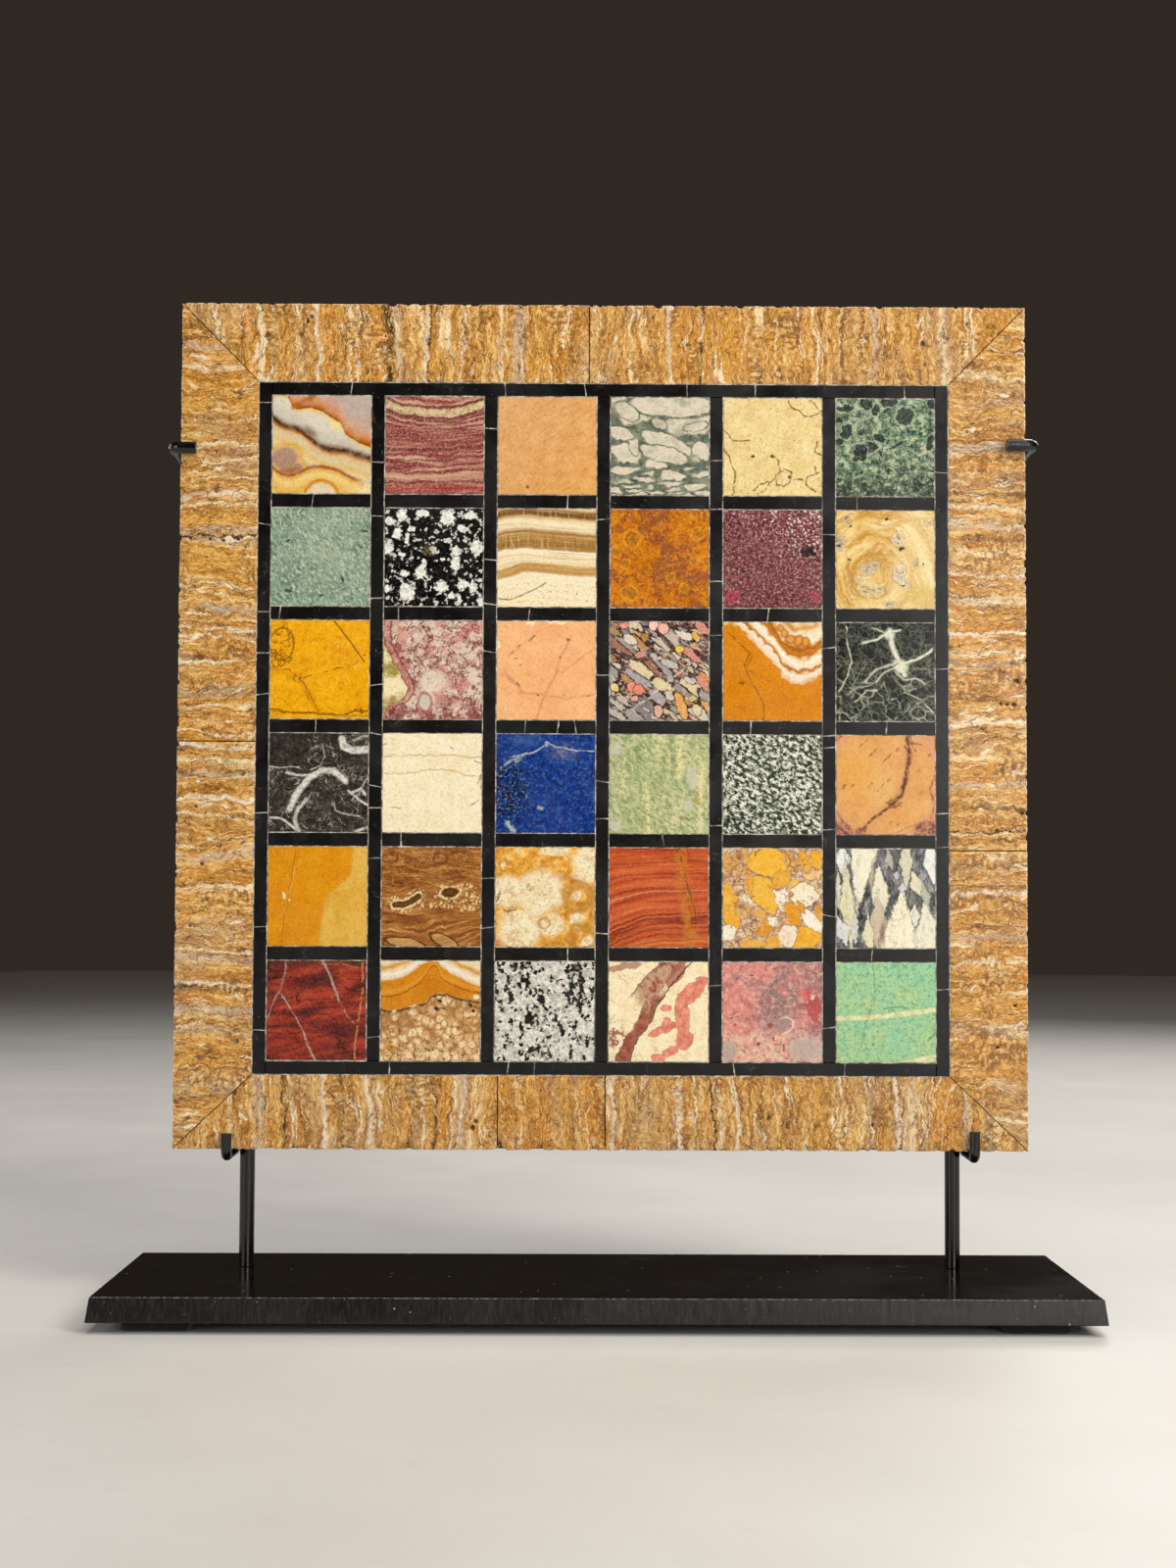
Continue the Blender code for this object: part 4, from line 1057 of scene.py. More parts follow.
def apricot_jasper(at):
    at = warp(at, 34, 0.01)
    wavy = warp(warp(at, 13, 0.05, 3), 36, 0.02)
    colour = ramp(noise(at, 3.4, 5, 0.6, 2), (0.32, "d2944e"), (0.5, "dfa25c"), (0.7, "e2b06c"))
    colour = mix(spread(blob(at, 0.2, 0.65, 0.3, 0.35), 1.1, 0.2) * 0.5, colour, "e4a844")
    edge = spread(blob(at, 0.47, 0.53, 0.55, 0.56), 0.8, 1.25)
    colour = mix(edge * 0.6, colour, "cc8a72")
    colour = mix(
        spread(to_line(wavy, (0.73, 0.98), (0.7, 0.55), (0.56, 0.3), (0.25, 0.03)), 0.1, 0.0) * 0.4, colour,
        "c88c5c",
    )
    vein = most(
        stroke(wavy, 0.021, (0.72, 1.0), (0.74, 0.8), (0.7, 0.55), (0.66, 0.4), (0.56, 0.3), soft=0.7),
        stroke(wavy, 0.014, (0.56, 0.3), (0.45, 0.22), (0.35, 0.15), (0.25, 0.03), soft=0.7),
    )
    for line in (
        ((0.5, 0.33), (0.6, 0.28), (0.66, 0.32)), ((0.52, 0.27), (0.56, 0.36)),
        ((0.72, 0.92), (0.8, 0.92), (0.87, 0.9)), ((0.75, 0.98), (0.8, 0.85)), ((0.6, 0.36), (0.66, 0.28)),
        ((0.69, 0.9), (0.73, 0.84)),
    ):
        vein = most(vein, stroke(wavy, 0.009, *line, soft=0.8) * 0.85)
    colour = mix(vein * ramp_grey(noise(at, 30, 3), 0.38, 0.5, 0.5), colour, "642818")
    dashe_places = (
        (0.37, 0.83, 0.035), (0.52, 0.78, 0.035), (0.25, 0.9, 0.012), (0.3, 0.94, 0.012),
        (0.53, 0.55, 0.014), (0.08, 0.48, 0.02), (0.17, 0.49, 0.012), (0.35, 0.5, 0.015),
        (0.84, 0.64, 0.01), (0.45, 0.47, 0.03), (0.86, 0.42, 0.01), (0.55, 0.12, 0.012), (0.62, 0.1, 0.012),
        (0.62, 0.86, 0.015), (0.94, 0.8, 0.01),
    )
    dashes = most(
        *(
            stroke(wavy, 0.008, (x - run, y - run), (x + run, y + run), soft=0.9)
            for x, y, run in dashe_places
        )
    )
    colour = mix(dashes * spread(noise(at, 30, 3), 0.34, 0.48) * 0.8, colour, "74422c")
    corner = most(
        spread(blob(wavy, 0.06, 0.03, 0.13, 0.1, -30), 1.1, 0.6),
        spread(blob(wavy, 0.92, 0.05, 0.15, 0.1), 1.1, 0.6),
        spread(blob(wavy, 0.25, 0.04, 0.07, 0.05), 1.1, 0.6) * 0.8,
        stroke(wavy, 0.012, (0.0, 0.22), (0.07, 0.12), (0.16, 0.02), soft=0.8),
        stroke(wavy, 0.01, (0.99, 0.6), (0.95, 0.45), (0.99, 0.3), (0.96, 0.15), soft=0.8) * 0.8,
        stroke(wavy, 0.012, (0.0, 0.95), (0.05, 1.0), soft=0.8) * 0.8,
    )
    colour = mix(corner * 0.5, colour, "a4605a")
    colour = mix(corner * spread(noise(at, 17, 4, 0.7), 0.44, 0.54) * 0.85, colour, "5e2830")
    return mix(stroke(wavy, 0.005, (0.6, 0.02), (0.72, 0.08), (0.88, 0.12), soft=0.9) * 0.6, colour, "84523c")


def golden_marble(at):
    u, v = plane(warp(at, 5, 0.03, 3))
    colour = ramp(noise(at, 3, 5, 0.6, 2), (0.3, "cf8200"), (0.5, "da8e02"), (0.7, "e09a0c"))
    wall = curve(
        v, (0, 0.53), (0.2, 0.54), (0.35, 0.57), (0.5, 0.62), (0.62, 0.74), (0.72, 0.84), (0.85, 0.85),
        (1, 0.87),
    )
    side = u - wall
    pale = ramp(
        noise(at, 3, 5, 0.6, 6) + band(side, 0.08, 0.05, 0.9) * 0.08, (0.35, "d8a02c"), (0.6, "e0b450"),
    )
    colour = mix(spread(side, -0.05, 0.02) * 0.5, colour, "dfae3c")
    colour = mix(spread(side, -0.01, 0.015), colour, pale)
    colour = mix(spread(noise(at, 12, 5, 0.7, 4), 0.5, 0.66) * 0.25, colour, "b97400")
    colour = mix(
        spread(noise(turned(at, 12) * (22.0, 3.0, 1.0), 1, 3, 0.6, 3), 0.54, 0.7) * 0.2, colour, "e8b040",
    )
    jagged = warp(at, 20, 0.014)
    line = stroke(jagged, 0.0045, (0.14, 0.0), (0.17, 0.3), (0.2, 0.5), (0.24, 0.7), (0.28, 0.97), soft=0.9)
    colour = mix(line * 0.65, colour, "7c5a10")
    colour = mix(
        stroke(jagged, 0.004, (0.17, 0.32), (0.19, 0.5), (0.25, 0.62), (0.27, 0.8), soft=0.9) * 0.5, colour,
        "e8c468",
    )
    for x, y, wide, high in (
        (0.165, 0.5, 0.012, 0.03), (0.22, 0.46, 0.01, 0.012), (0.155, 0.53, 0.008, 0.016),
    ):
        colour = mix(spread(blob(jagged, x, y, wide, high), 1.2, 0.7), colour, "f4e2b0")
    for x, y in ((0.19, 0.84), (0.01, 0.47), (0.16, 0.4), (0.33, 0.9)):
        colour = mix(spread(blob(jagged, x, y, 0.009, 0.008), 1.3, 0.6) * 0.6, colour, "a86808")
    return colour


def wood_alabaster(at):
    at = warp(at, 30, 0.012)
    swirled = warp(at, 4, 0.06, 3)
    u, v = plane(swirled)
    level = v + (
        curve(u, (0, 0.5), (0.3, 0.53), (0.6, 0.5), (0.85, 0.43), (1, 0.38)) - 0.5
    ) * spread(v, 0.45, 0.1, 1.1)
    level = level + (noise(at * (1.0, 1.5, 1.0), 4, 3, 0.6, 8) - 0.5) * 0.16
    lines = noise(vec(u * 2.2, level * 26), 1, 5, 0.68, 2)
    colour = ramp(
        lines, (0.3, "5c3010"), (0.42, "82491a"), (0.52, "9f6428"), (0.6, "bd8444"), (0.7, "dcab68"),
    )
    curls = ridges(warp(at * (1.0, 1.6, 1.0), 4, 0.16), 5, 0.022, 3, 0.6, 6) * spread(v, 0.5, 0.66)
    colour = mix(curls * 0.6, colour, "d0a058")
    dark = ridges(warp(at * (1.0, 1.6, 1.0), 4, 0.12), 7, 0.02, 3, 0.6, 9) * spread(v, 0.5, 0.66)
    colour = mix(dark * 0.55, colour, "542c0e")
    for x, y, wide, high in ((0.08, 0.88, 0.08, 0.04), (0.58, 0.88, 0.07, 0.05)):
        colour = mix(band(blob(swirled, x, y, wide, high), 1, 0.16, 0.8) * 0.6, colour, "4e2a10")
    rough = warp(at, 12, 0.03)
    left = to_line(rough, (0.14, 0.42), (0.22, 0.42), (0.3, 0.45), (0.37, 0.5))
    right = blob(rough, 0.69, 0.545, 0.085, 0.05, 8)
    halo = spread(least(left * 11, blob(rough, 0.67, 0.52, 0.15, 0.11)), 1.05, 0.9)
    low = curve(u, (0, 0.4), (0.15, 0.37), (0.4, 0.38), (0.6, 0.39), (0.75, 0.38), (0.9, 0.36), (1, 0.42))
    fringe = most(
        most(band(v - low, 0.02, 0.03, 0.4), halo) * spread(u, 0.02, 0.1),
        spread(blob(rough, 0.86, 0.52, 0.14, 0.12, -30), 1.05, 0.9),
    )
    teeth = spread(
        cell_edges(at * (1.0, 0.7, 1.0), 24, 1, 2), 0.06, 0.16,
    ) * spread(noise(at, 17, 3, 0.6, 4), 0.43, 0.5)
    colour = mix(halo * 0.5, colour, "7c4c1c")
    colour = mix(fringe * teeth * 0.9, colour, "e6c688")
    rim = most(band(left, 0.042, 0.009, 0.9), band(right, 1.28, 0.1, 0.9))
    colour = mix(rim * spread(noise(at, 24, 3), 0.36, 0.5) * 0.95, colour, "ecd29a")
    colour = mix(spread(left, 0.033, 0.022), colour, "54300f")
    colour = mix(spread(right, 1.1, 0.9), colour, "54300f")
    colour = mix(spread(least(left * 40, right), 0.6, 0.2) * 0.5, colour, "7c4a1c")
    colour = mix(spread(blob(rough, 0.44, 0.5, 0.06, 0.05), 1.1, 0.7) * 0.7, colour, "8c6634")
    flames = most(
        spread(blob(swirled, 0.24, 0.035, 0.2, 0.045, -12), 1.05, 0.8),
        spread(blob(swirled, 0.64, 0.05, 0.15, 0.05, -28), 1.05, 0.8),
    )
    colour = mix(flames * ramp_grey(lines, 0.4, 0.6, 0.6) * 0.85, colour, "cfa060")
    edges = most(
        band(blob(swirled, 0.64, 0.05, 0.15, 0.05, -28), 1.1, 0.12, 0.8),
        band(blob(swirled, 0.24, 0.035, 0.2, 0.045, -12), 1.1, 0.12, 0.8),
    )
    return mix(edges * 0.8, colour, "422208")


def cloud_alabaster(at):
    at = warp(warp(at, 6, 0.13, 3), 26, 0.02)
    rust = noise(at, 8, 6, 0.72, 2)
    pale = ramp(noise(at, 6, 5, 0.65, 5), (0.3, "e6d09e"), (0.5, "f2e4bc"), (0.7, "f8f0d6"))
    gold = ramp(rust, (0.34, "b47018"), (0.44, "d28c26"), (0.53, "eaae42"), (0.64, "f6d488"))
    cream_places = (
        (0.44, 0.54, 0.25, 0.22, 20), (0.12, 0.55, 0.18, 0.15, 0), (0.25, 0.18, 0.22, 0.2, 10),
        (0.56, 0.22, 0.13, 0.11, 0), (0.92, 0.82, 0.14, 0.2, 0), (0.6, 0.97, 0.14, 0.05, 0),
        (0.83, 0.28, 0.07, 0.05, 30), (0.93, 0.06, 0.06, 0.05, 0), (0.83, 0.5, 0.04, 0.05, 0),
        (0.08, 0.84, 0.03, 0.04, 0),
    )
    cream = most(
        *(
            spread(blob(at, x, y, wide, high, degrees) + (rust - 0.5) * 1.4, 1.25, 0.75)
            for x, y, wide, high, degrees in cream_places
        )
    )
    cream = cream * ramp_grey(rust, 0.38, 0.5, 0.55)
    colour = mix(cream, gold, pale)
    for x, y, size in (
        (0.1, 0.81, 0.06), (0.83, 0.5, 0.09), (0.83, 0.5, 0.14), (0.49, 0.24, 0.055), (0.9, 0.08, 0.1),
        (0.9, 0.08, 0.15),
    ):
        colour = mix(band(blob(at, x, y, size, size), 1, 0.2, 0.9) * 0.7, colour, "b47a20")
    grain = noise(at, 24, 5, 0.75, 3)
    colour = flecked(colour, grain, (0.52, 0.64, 0.55, "b07428"), (0.42, 0.32, 0.35, "efe0b8"))
    specks = spots(at, 24, 0.2, 0.3) * spread(cream, 0.3, 0.6)
    colour = mix(specks * 0.8, colour, "6a4a24")
    smudge = most(
        spread(blob(at, 0.15, 0.375, 0.06, 0.025), 1.2, 0.5) * spread(noise(at, 30, 3), 0.42, 0.5),
        spread(blob(at, 0.04, 0.5, 0.05, 0.09), 1.2, 0.4) * spread(noise(at, 34, 3), 0.5, 0.56),
    )
    return mix(smudge * 0.9, colour, "4c3214")


def red_wave_jasper(at):
    at = warp(warp(at, 5, 0.045, 3), 22, 0.014)
    u, v = plane(at)
    arch = curve(u, (0, 0.5), (0.2, 0.6), (0.45, 0.665), (0.75, 0.68), (1, 0.7)) - 0.5
    level = v - arch * spread(v, 1.1, 0.2, 1.05)
    lines = noise(vec(u * 1.1, level * 17), 1, 5, 0.68, 2)
    colour = ramp(
        lines, (0.3, "8c2c12"), (0.42, "b0421e"), (0.52, "c35428"), (0.62, "d06836"), (0.74, "e0884e"),
    )
    colour = mix(
        band(level, 0.07, 0.04, 0.7) * spread(noise(vec(u * 2, level * 40), 1, 3), 0.4, 0.55) * 0.8, colour,
        "6c1c08",
    )
    for line, tone, amount in (
        (0.0, "6e2008", 0.7), (0.03, "c87834", 0.6), (0.115, "4c1a08", 0.85), (0.16, "5c200a", 0.75),
        (0.185, "c06a30", 0.5), (0.29, "c27440", 0.35), (0.4, "7c2a10", 0.4), (0.445, "e0a070", 0.65),
        (0.5, "7c2c10", 0.4), (0.62, "8a3414", 0.45), (0.68, "6e2408", 0.6), (0.82, "742808", 0.6),
        (0.87, "c47840", 0.3), (-0.1, "d28c34", 0.6), (-0.06, "6c2008", 0.6), (-0.14, "d28c34", 0.6),
    ):
        colour = mix(
            band(level + (noise(at, 14, 3, 0.7) - 0.5) * 0.03, line, 0.007, 0.9) * amount, colour, tone,
        )
    column = band(u + v * 0.14, 0.845, 0.06, 0.9)
    colour = mix(column * spread(noise(at, 11, 4, 0.7), 0.4, 0.56) * 0.8, colour, "c07c1c")
    cracks = most(
        stroke(
            warp(at, 14, 0.03), 0.006, (0.7, 1.0), (0.75, 0.8), (0.8, 0.6), (0.86, 0.4), (0.87, 0.28),
            soft=0.9,
        ),
        stroke(
            warp(at, 14, 0.03), 0.005, (0.8, 0.97), (0.79, 0.66), (0.8, 0.5), (0.83, 0.3), soft=0.9,
        ) * 0.8,
    )
    colour = mix(cracks * 0.8, colour, "5c2c0c")
    return mix(spread(noise(at * (1.0, 2.0, 1.0), 26, 4, 0.75), 0.52, 0.68) * 0.3, colour, "d8884c")


def yellow_breccia(at):
    at = shattered(shattered(warp(warp(at, 8, 0.04, 3), 26, 0.018), 8, 0.06), 26, 0.016)
    net = ridges(at, 12, 0.05, 4, 0.65, 5)
    ground = ramp(
        noise(at, 15, 5, 0.7, 4), (0.36, "c08e68"), (0.46, "dcbc98"), (0.56, "ecdcc2"), (0.68, "d8b08c"),
    )
    colour = mix(spread(cell_edges(at, 11, 1, 5.2), 0.08, 0.0) * 0.8, ground, "8c5636")
    colour = mix(net * 0.6, colour, "7c4630")
    tint = noise(at, 6, 4, 0.6, 6)
    for x, y, wide, high, lean, tone in (
        (0.46, 0.87, 0.2, 0.17, 0, "efb42c"), (0.42, 0.53, 0.13, 0.18, 8, "ecb63c"),
        (0.27, 0.66, 0.05, 0.12, -6, "e4a22c"), (0.05, 0.42, 0.09, 0.3, 4, "ecb030"),
        (0.84, 0.09, 0.17, 0.13, -12, "e9ac28"), (0.41, 0.21, 0.085, 0.07, 0, "dc9428"),
        (0.52, 0.08, 0.13, 0.07, 6, "e2aa48"), (0.3, 0.04, 0.16, 0.05, 0, "e2b052"),
        (0.58, 0.7, 0.1, 0.07, 25, "e4a838"), (0.81, 0.87, 0.05, 0.12, -4, "e9a81c"),
        (0.95, 0.91, 0.07, 0.09, 0, "eaa820"), (0.22, 0.9, 0.065, 0.15, -20, "e4ac4a"),
        (0.06, 0.87, 0.07, 0.1, 0, "dca24e"), (0.92, 0.73, 0.09, 0.06, 0, "ecc488"),
        (0.74, 0.62, 0.07, 0.04, 0, "e4b454"), (0.16, 0.76, 0.05, 0.08, 0, "deb078"),
        (0.2, 0.36, 0.06, 0.06, 0, "d8a860"), (0.36, 0.34, 0.11, 0.035, -8, "dca858"),
        (0.68, 0.88, 0.05, 0.12, 10, "e8b244"), (0.23, 0.5, 0.05, 0.08, 0, "ece2c4"),
        (0.84, 0.52, 0.16, 0.11, -20, "f3e8cc"), (0.61, 0.47, 0.055, 0.15, 8, "f4ead8"),
        (0.91, 0.26, 0.055, 0.19, 32, "f6eedc"), (0.66, 0.13, 0.1, 0.12, 0, "f2e0cc"),
        (0.5, 0.27, 0.05, 0.05, 0, "f4eee0"), (0.05, 0.13, 0.085, 0.09, 0, "f2ecda"),
        (0.71, 0.36, 0.11, 0.13, 10, "df940e"), (0.98, 0.34, 0.03, 0.08, 0, "d89430"),
    ):
        rim = blob(at, x, y, wide, high, lean) * 0.5 + shard(
            at, x, y, wide, high, lean + 20,
        ) * 0.42 + (tint - 0.5) * 0.4
        colour = mix(band(rim, 1.05, 0.06, 0.9) * 0.75, colour, "8a5226")
        colour = mix(spread(rim, 1.04, 0.98), colour, tone)
    colour = mix(spread(noise(at, 9, 5, 0.65, 6), 0.5, 0.64) * 0.3, colour, "f6d47c")
    colour = mix(spread(noise(at, 16, 4, 0.7, 3), 0.52, 0.66) * 0.4, colour, "cc8a30")
    left = most(
        band(plane(at)[0] - 0.16, 0, 0.08, 0.7) * spread(noise(at, 4, 2, 0.5, 8), 0.42, 0.52),
        spread(blob(at, 0.28, 0.2, 0.13, 0.13), 1.1, 0.6),
        spread(blob(at, 0.72, 0.84, 0.1, 0.16, 0), 1.1, 0.6) * 0.8,
    )
    colour = mix(left * spread(noise(at, 12, 3, 0.6, 8), 0.46, 0.56) * 0.7, colour, "e2b892")
    colour = mix(left * spread(cell_edges(at, 11, 1, 5.2), 0.09, 0.0) * 0.9, colour, "8a5034")
    colour = mix(left * net * 0.7, colour, "7c4630")
    specks = most(
        spread(blob(at, 0.9, 0.43, 0.13, 0.08, -30), 1.1, 0.5) * spread(noise(at, 20, 4, 0.7, 3), 0.54, 0.58),
        spread(blob(at, 0.6, 0.5, 0.03, 0.08), 1.1, 0.5) * spread(noise(at, 24, 4, 0.7, 3), 0.53, 0.58),
    )
    return mix(specks * 0.9, colour, "2e2218")


def shard(at, x, y, wide, high, lean=0.0):
    """Distance from the middle of a pointed lozenge, 1 at its rim."""
    if lean:
        at = turned(at, -lean, (x, y, 0.0))
    across, along = plane((at - (x, y, 0.0)) * (1 / wide, 1 / high, 0.0))
    return abs(across) + abs(along)


def white_cipollino(at):
    at = shattered(warp(warp(warp(at, 4, 0.03, 2), 9, 0.04, 3), 28, 0.02), 28, 0.014)
    streaky = at * (1.0, 0.35, 1.0)
    colour = ramp(
        noise(streaky, 15, 5, 0.75, 2), (0.34, "1c1c20"), (0.43, "444448"), (0.52, "737373"),
        (0.6, "9c9b98"), (0.7, "c6c5be"),
    )
    colour = mix(spread(noise(at, 7, 4, 0.7, 6), 0.55, 0.66) * 0.5, colour, "85836e")
    colour = mix(ridges(streaky, 16, 0.03, 4, 0.65, 4) * 0.7, colour, "28282a")
    bloom = noise(streaky, 17, 5, 0.68, 3)
    jag = (noise(at * (1.0, 0.4, 1.0), 14, 4, 0.65, 7) - 0.5) * 0.7
    for x, y, wide, high, lean, tone in (
        (0.06, 0.9, 0.09, 0.15, 0, "e8ebe6"), (0.12, 0.42, 0.085, 0.48, 4, "e0d9b4"),
        (0.28, 1.02, 0.15, 0.68, -6, "efe9cf"), (0.365, 0.68, 0.04, 0.2, 0, "b3aa90"),
        (0.44, 0.52, 0.1, 0.34, 2, "ebe4c9"), (0.42, 0.24, 0.1, 0.3, 2, "cfbca4"),
        (0.65, 0.0, 0.22, 0.64, 0, "f4edd0"), (0.705, 0.86, 0.07, 0.28, 0, "d6d0b6"),
        (0.81, 0.64, 0.07, 0.16, 22, "e0dabe"), (0.97, 0.86, 0.1, 0.24, 6, "ecece6"),
        (0.94, 0.1, 0.16, 0.4, 8, "eae5ce"), (0.905, 0.53, 0.05, 0.15, 15, "b9b9a9"),
        (0.79, 0.34, 0.05, 0.12, 0, "e2e0d4"), (0.66, 0.6, 0.05, 0.05, 0, "cacad2"),
        (0.605, 0.73, 0.035, 0.05, 0, "c6c6cc"), (0.87, 0.73, 0.05, 0.07, 0, "9e9ba4"),
        (0.055, 0.17, 0.09, 0.16, 20, "dadad8"), (0.19, 0.2, 0.045, 0.16, 0, "d6d6d2"),
        (0.33, 0.12, 0.05, 0.26, 4, "e0d9b6"), (0.02, 0.6, 0.035, 0.2, 0, "d4d0ba"),
        (0.53, 0.9, 0.04, 0.12, 12, "b0ad9e"),
    ):
        rim = shard(at, x, y, wide, high, lean) + jag
        colour = mix(band(rim, 1.08, 0.1, 0.9) * spread(bloom, 0.62, 0.4) * 0.7, colour, "333335")
        colour = mix(spread(rim, 1.06, 0.88), colour, tone)
    colour = flecked(colour, bloom, (0.53, 0.66, 0.4, "9a9584"), (0.42, 0.32, 0.35, "fbf8ea"))
    colour = mix(spread(blob(at, 0.47, 0.14, 0.03, 0.16), 1.2, 0.4) * 0.7, colour, "85684e")
    return mix(ridges(at * (1.0, 0.22, 1.0), 9, 0.008, 3, 0.6, 8) * 0.5, colour, "4c4b4c")


def red_jasper(at):
    at = warp(warp(at, 5, 0.045, 3), 26, 0.012)
    _, v = plane(at)
    flow = turned(at, -7) * (2.2, 7.0, 1.0)
    layers = noise(flow, 1, 4, 0.55, 2, 0.5)
    colour = ramp(
        layers, (0.34, "4c1a16"), (0.44, "78261a"), (0.52, "98321f"), (0.6, "ab3c26"), (0.74, "b04c34"),
    )
    colour = mix(spread(noise(flow * (1.0, 2.4, 1.0), 1.6, 4, 0.7, 5), 0.5, 0.36) * 0.5, colour, "5c1c16")
    middle = spread(blob(warp(at, 5, 0.1), 0.62, 0.45, 0.46, 0.12, -5), 1.1, 0.4)
    colour = mix(middle * spread(layers, 0.64, 0.44) * 0.85, colour, "3c1c20")
    colour = mix(spread(blob(at, 0.08, 0.62, 0.2, 0.1, 0), 1.1, 0.4) * 0.5, colour, "42221a")
    colour = mix(spread(v, 0.9, 0.98) * spread(noise(at, 8, 3), 0.4, 0.54) * 0.75, colour, "48281e")
    folds = cell_edges(warp(flow, 1.5, 0.5), 0.9, 1, 3)
    folds = spread(folds, 0.05, 0.0) * spread(noise(at, 6, 2, 0.5, 4), 0.42, 0.54)
    colour = mix(folds * 0.8, colour, "260c0c")
    colour = mix(ridges(turned(at, -20) * (3.4, 9.0, 1.0), 1, 0.012, 4, 0.65, 6) * 0.75, colour, "260c0c")
    jagged = warp(at, 20, 0.02)
    grey_vein = most(
        stroke(jagged, 0.012, (0.56, 1.0), (0.64, 0.82), (0.7, 0.68), (0.73, 0.6), soft=0.7),
        stroke(jagged, 0.005, (0.73, 0.6), (0.82, 0.44), (0.88, 0.38), soft=0.8) * 0.8,
        stroke(jagged, 0.006, (0.15, 0.66), (0.3, 0.43), (0.38, 0.25), soft=0.7),
        stroke(jagged, 0.011, (0.38, 0.25), (0.42, 0.14), (0.5, 0.0), soft=0.7),
        stroke(jagged, 0.009, (0.2, 1.0), (0.15, 0.72), (0.07, 0.6), (0.01, 0.4), soft=0.8) * 0.6,
    )
    colour = mix(grey_vein * ramp_grey(noise(at, 18, 4, 0.7), 0.38, 0.54, 0.3), colour, "b49c92")
    cream = most(
        stroke(
            warp(at, 14, 0.05), 0.0065, (0.96, 0.98), (0.97, 0.7), (0.93, 0.5), (0.91, 0.3), (0.88, 0.12),
            (0.9, 0.0), soft=0.8,
        ),
        stroke(warp(at, 14, 0.03), 0.0045, (0.55, 0.96), (0.75, 0.97), (0.95, 0.92), soft=0.8) * 0.8,
        stroke(warp(at, 14, 0.05), 0.004, (0.9, 0.38), (0.96, 0.5), (0.93, 0.62), soft=0.9) * 0.6,
    )
    colour = mix(cream * 0.85, colour, "d4965e")
    return mix(spread(noise(at, 34, 3, 0.75), 0.53, 0.7) * 0.22, colour, "bc5c48")


def tawny_breccia(at):
    wavy = warp(warp(at, 9, 0.035, 3), 28, 0.02)
    u, v = plane(wavy)
    top = v - curve(
        u, (0, 0.79), (0.25, 0.85), (0.45, 0.98), (0.53, 1.0), (0.62, 0.93), (0.8, 0.82), (1, 0.74),
    )
    line = v - curve(
        u, (0, 0.64), (0.15, 0.66), (0.3, 0.72), (0.43, 0.82), (0.53, 0.95), (0.62, 0.82), (0.8, 0.73),
        (1, 0.68),
    )
    ground = v - curve(
        u, (0, 0.52), (0.15, 0.51), (0.35, 0.56), (0.47, 0.6), (0.52, 0.66), (0.65, 0.67), (0.8, 0.63),
        (1, 0.6),
    )
    orange = ramp(noise(at, 5, 4, 0.6, 2), (0.35, "c87804"), (0.65, "d68a10"))
    orange = mix(band(line, 0, 0.006, 0.9) * 0.75, orange, "7c4604")
    orange = mix(band(line, 0.04, 0.02, 0.9) * 0.5, orange, "e6a43c")
    sky = ramp(
        top + (noise(at, 14, 4) - 0.5) * 0.05, (0, "dca458"), (0.025, "e8d8bc"), (0.06, "efe8d6"),
        (0.1, "e8cc98"), (0.14, "d0902c"), (0.18, "e8d4ac"),
    )
    upper = mix(spread(top, -0.008, 0.008), orange, sky)
    curly = warp(warp(at, 12, 0.08), 34, 0.03)
    wall = cell_edges(curly, 11, 0.9, 3)
    distance, tint, _ = cells(curly, 11, 0.9, 3)
    pebble = ramp(
        distance + (noise(at, 30, 3) - 0.5) * 0.2, (0.0, "c8985e"), (0.1, "d8ae7a"), (0.2, "f2dcae"),
        (0.34, "ecce9a"), (0.48, "d2a46a"), (0.7, "a67642"),
    )
    pebble = mix(spread(channel(tint), 0.7, 0.78) * 0.7, pebble, "cc985c")
    cement = ramp(noise(at, 22, 4, 0.7), (0.38, "5c3a1e"), (0.5, "9c6c3a"), (0.65, "d09c66"))
    rubble = mix(spread(wall + (noise(at, 24, 4, 0.7, 5) - 0.5) * 0.16, 0.015, 0.06), cement, pebble)
    rubble = mix(spread(v, 0.3, 0.5) * spread(noise(at, 15, 4, 0.7, 2), 0.48, 0.58) * 0.4, rubble, "bc8a60")
    rubble = mix(
        spread(
            blob(at, 0.12, 0.36, 0.2, 0.16), 1.1, 0.4,
        ) * spread(noise(at, 20, 4, 0.7, 6), 0.4, 0.56) * 0.8,
        rubble, "a06a38",
    )
    rubble = mix(spread(v, 0.3, 0.05) * spread(noise(at, 22, 4, 0.7), 0.48, 0.56) * 0.6, rubble, "f0dcae")
    rubble = mix(
        spread(blob(at, 0.06, 0.1, 0.1, 0.1), 1.1, 0.4) * spread(noise(at, 16, 4), 0.46, 0.56), rubble,
        "c8861c",
    )
    for x, y in ((0.59, 0.6), (0.93, 0.5), (0.9, 0.56), (0.56, 0.52)):
        rubble = mix(spread(blob(wavy, x, y, 0.03, 0.02, -40), 1.1, 0.6), rubble, "3a3220")
    rubble = mix(band(ground, -0.015, 0.012, 0.8) * spread(noise(at, 12), 0.36, 0.5) * 0.9, rubble, "4c3014")
    upper = mix(spread(blob(at, 0.96, 0.64, 0.035, 0.025), 1.1, 0.8), upper, "e8dcbc")
    return mix(spread(ground, -0.005, 0.006), rubble, upper)


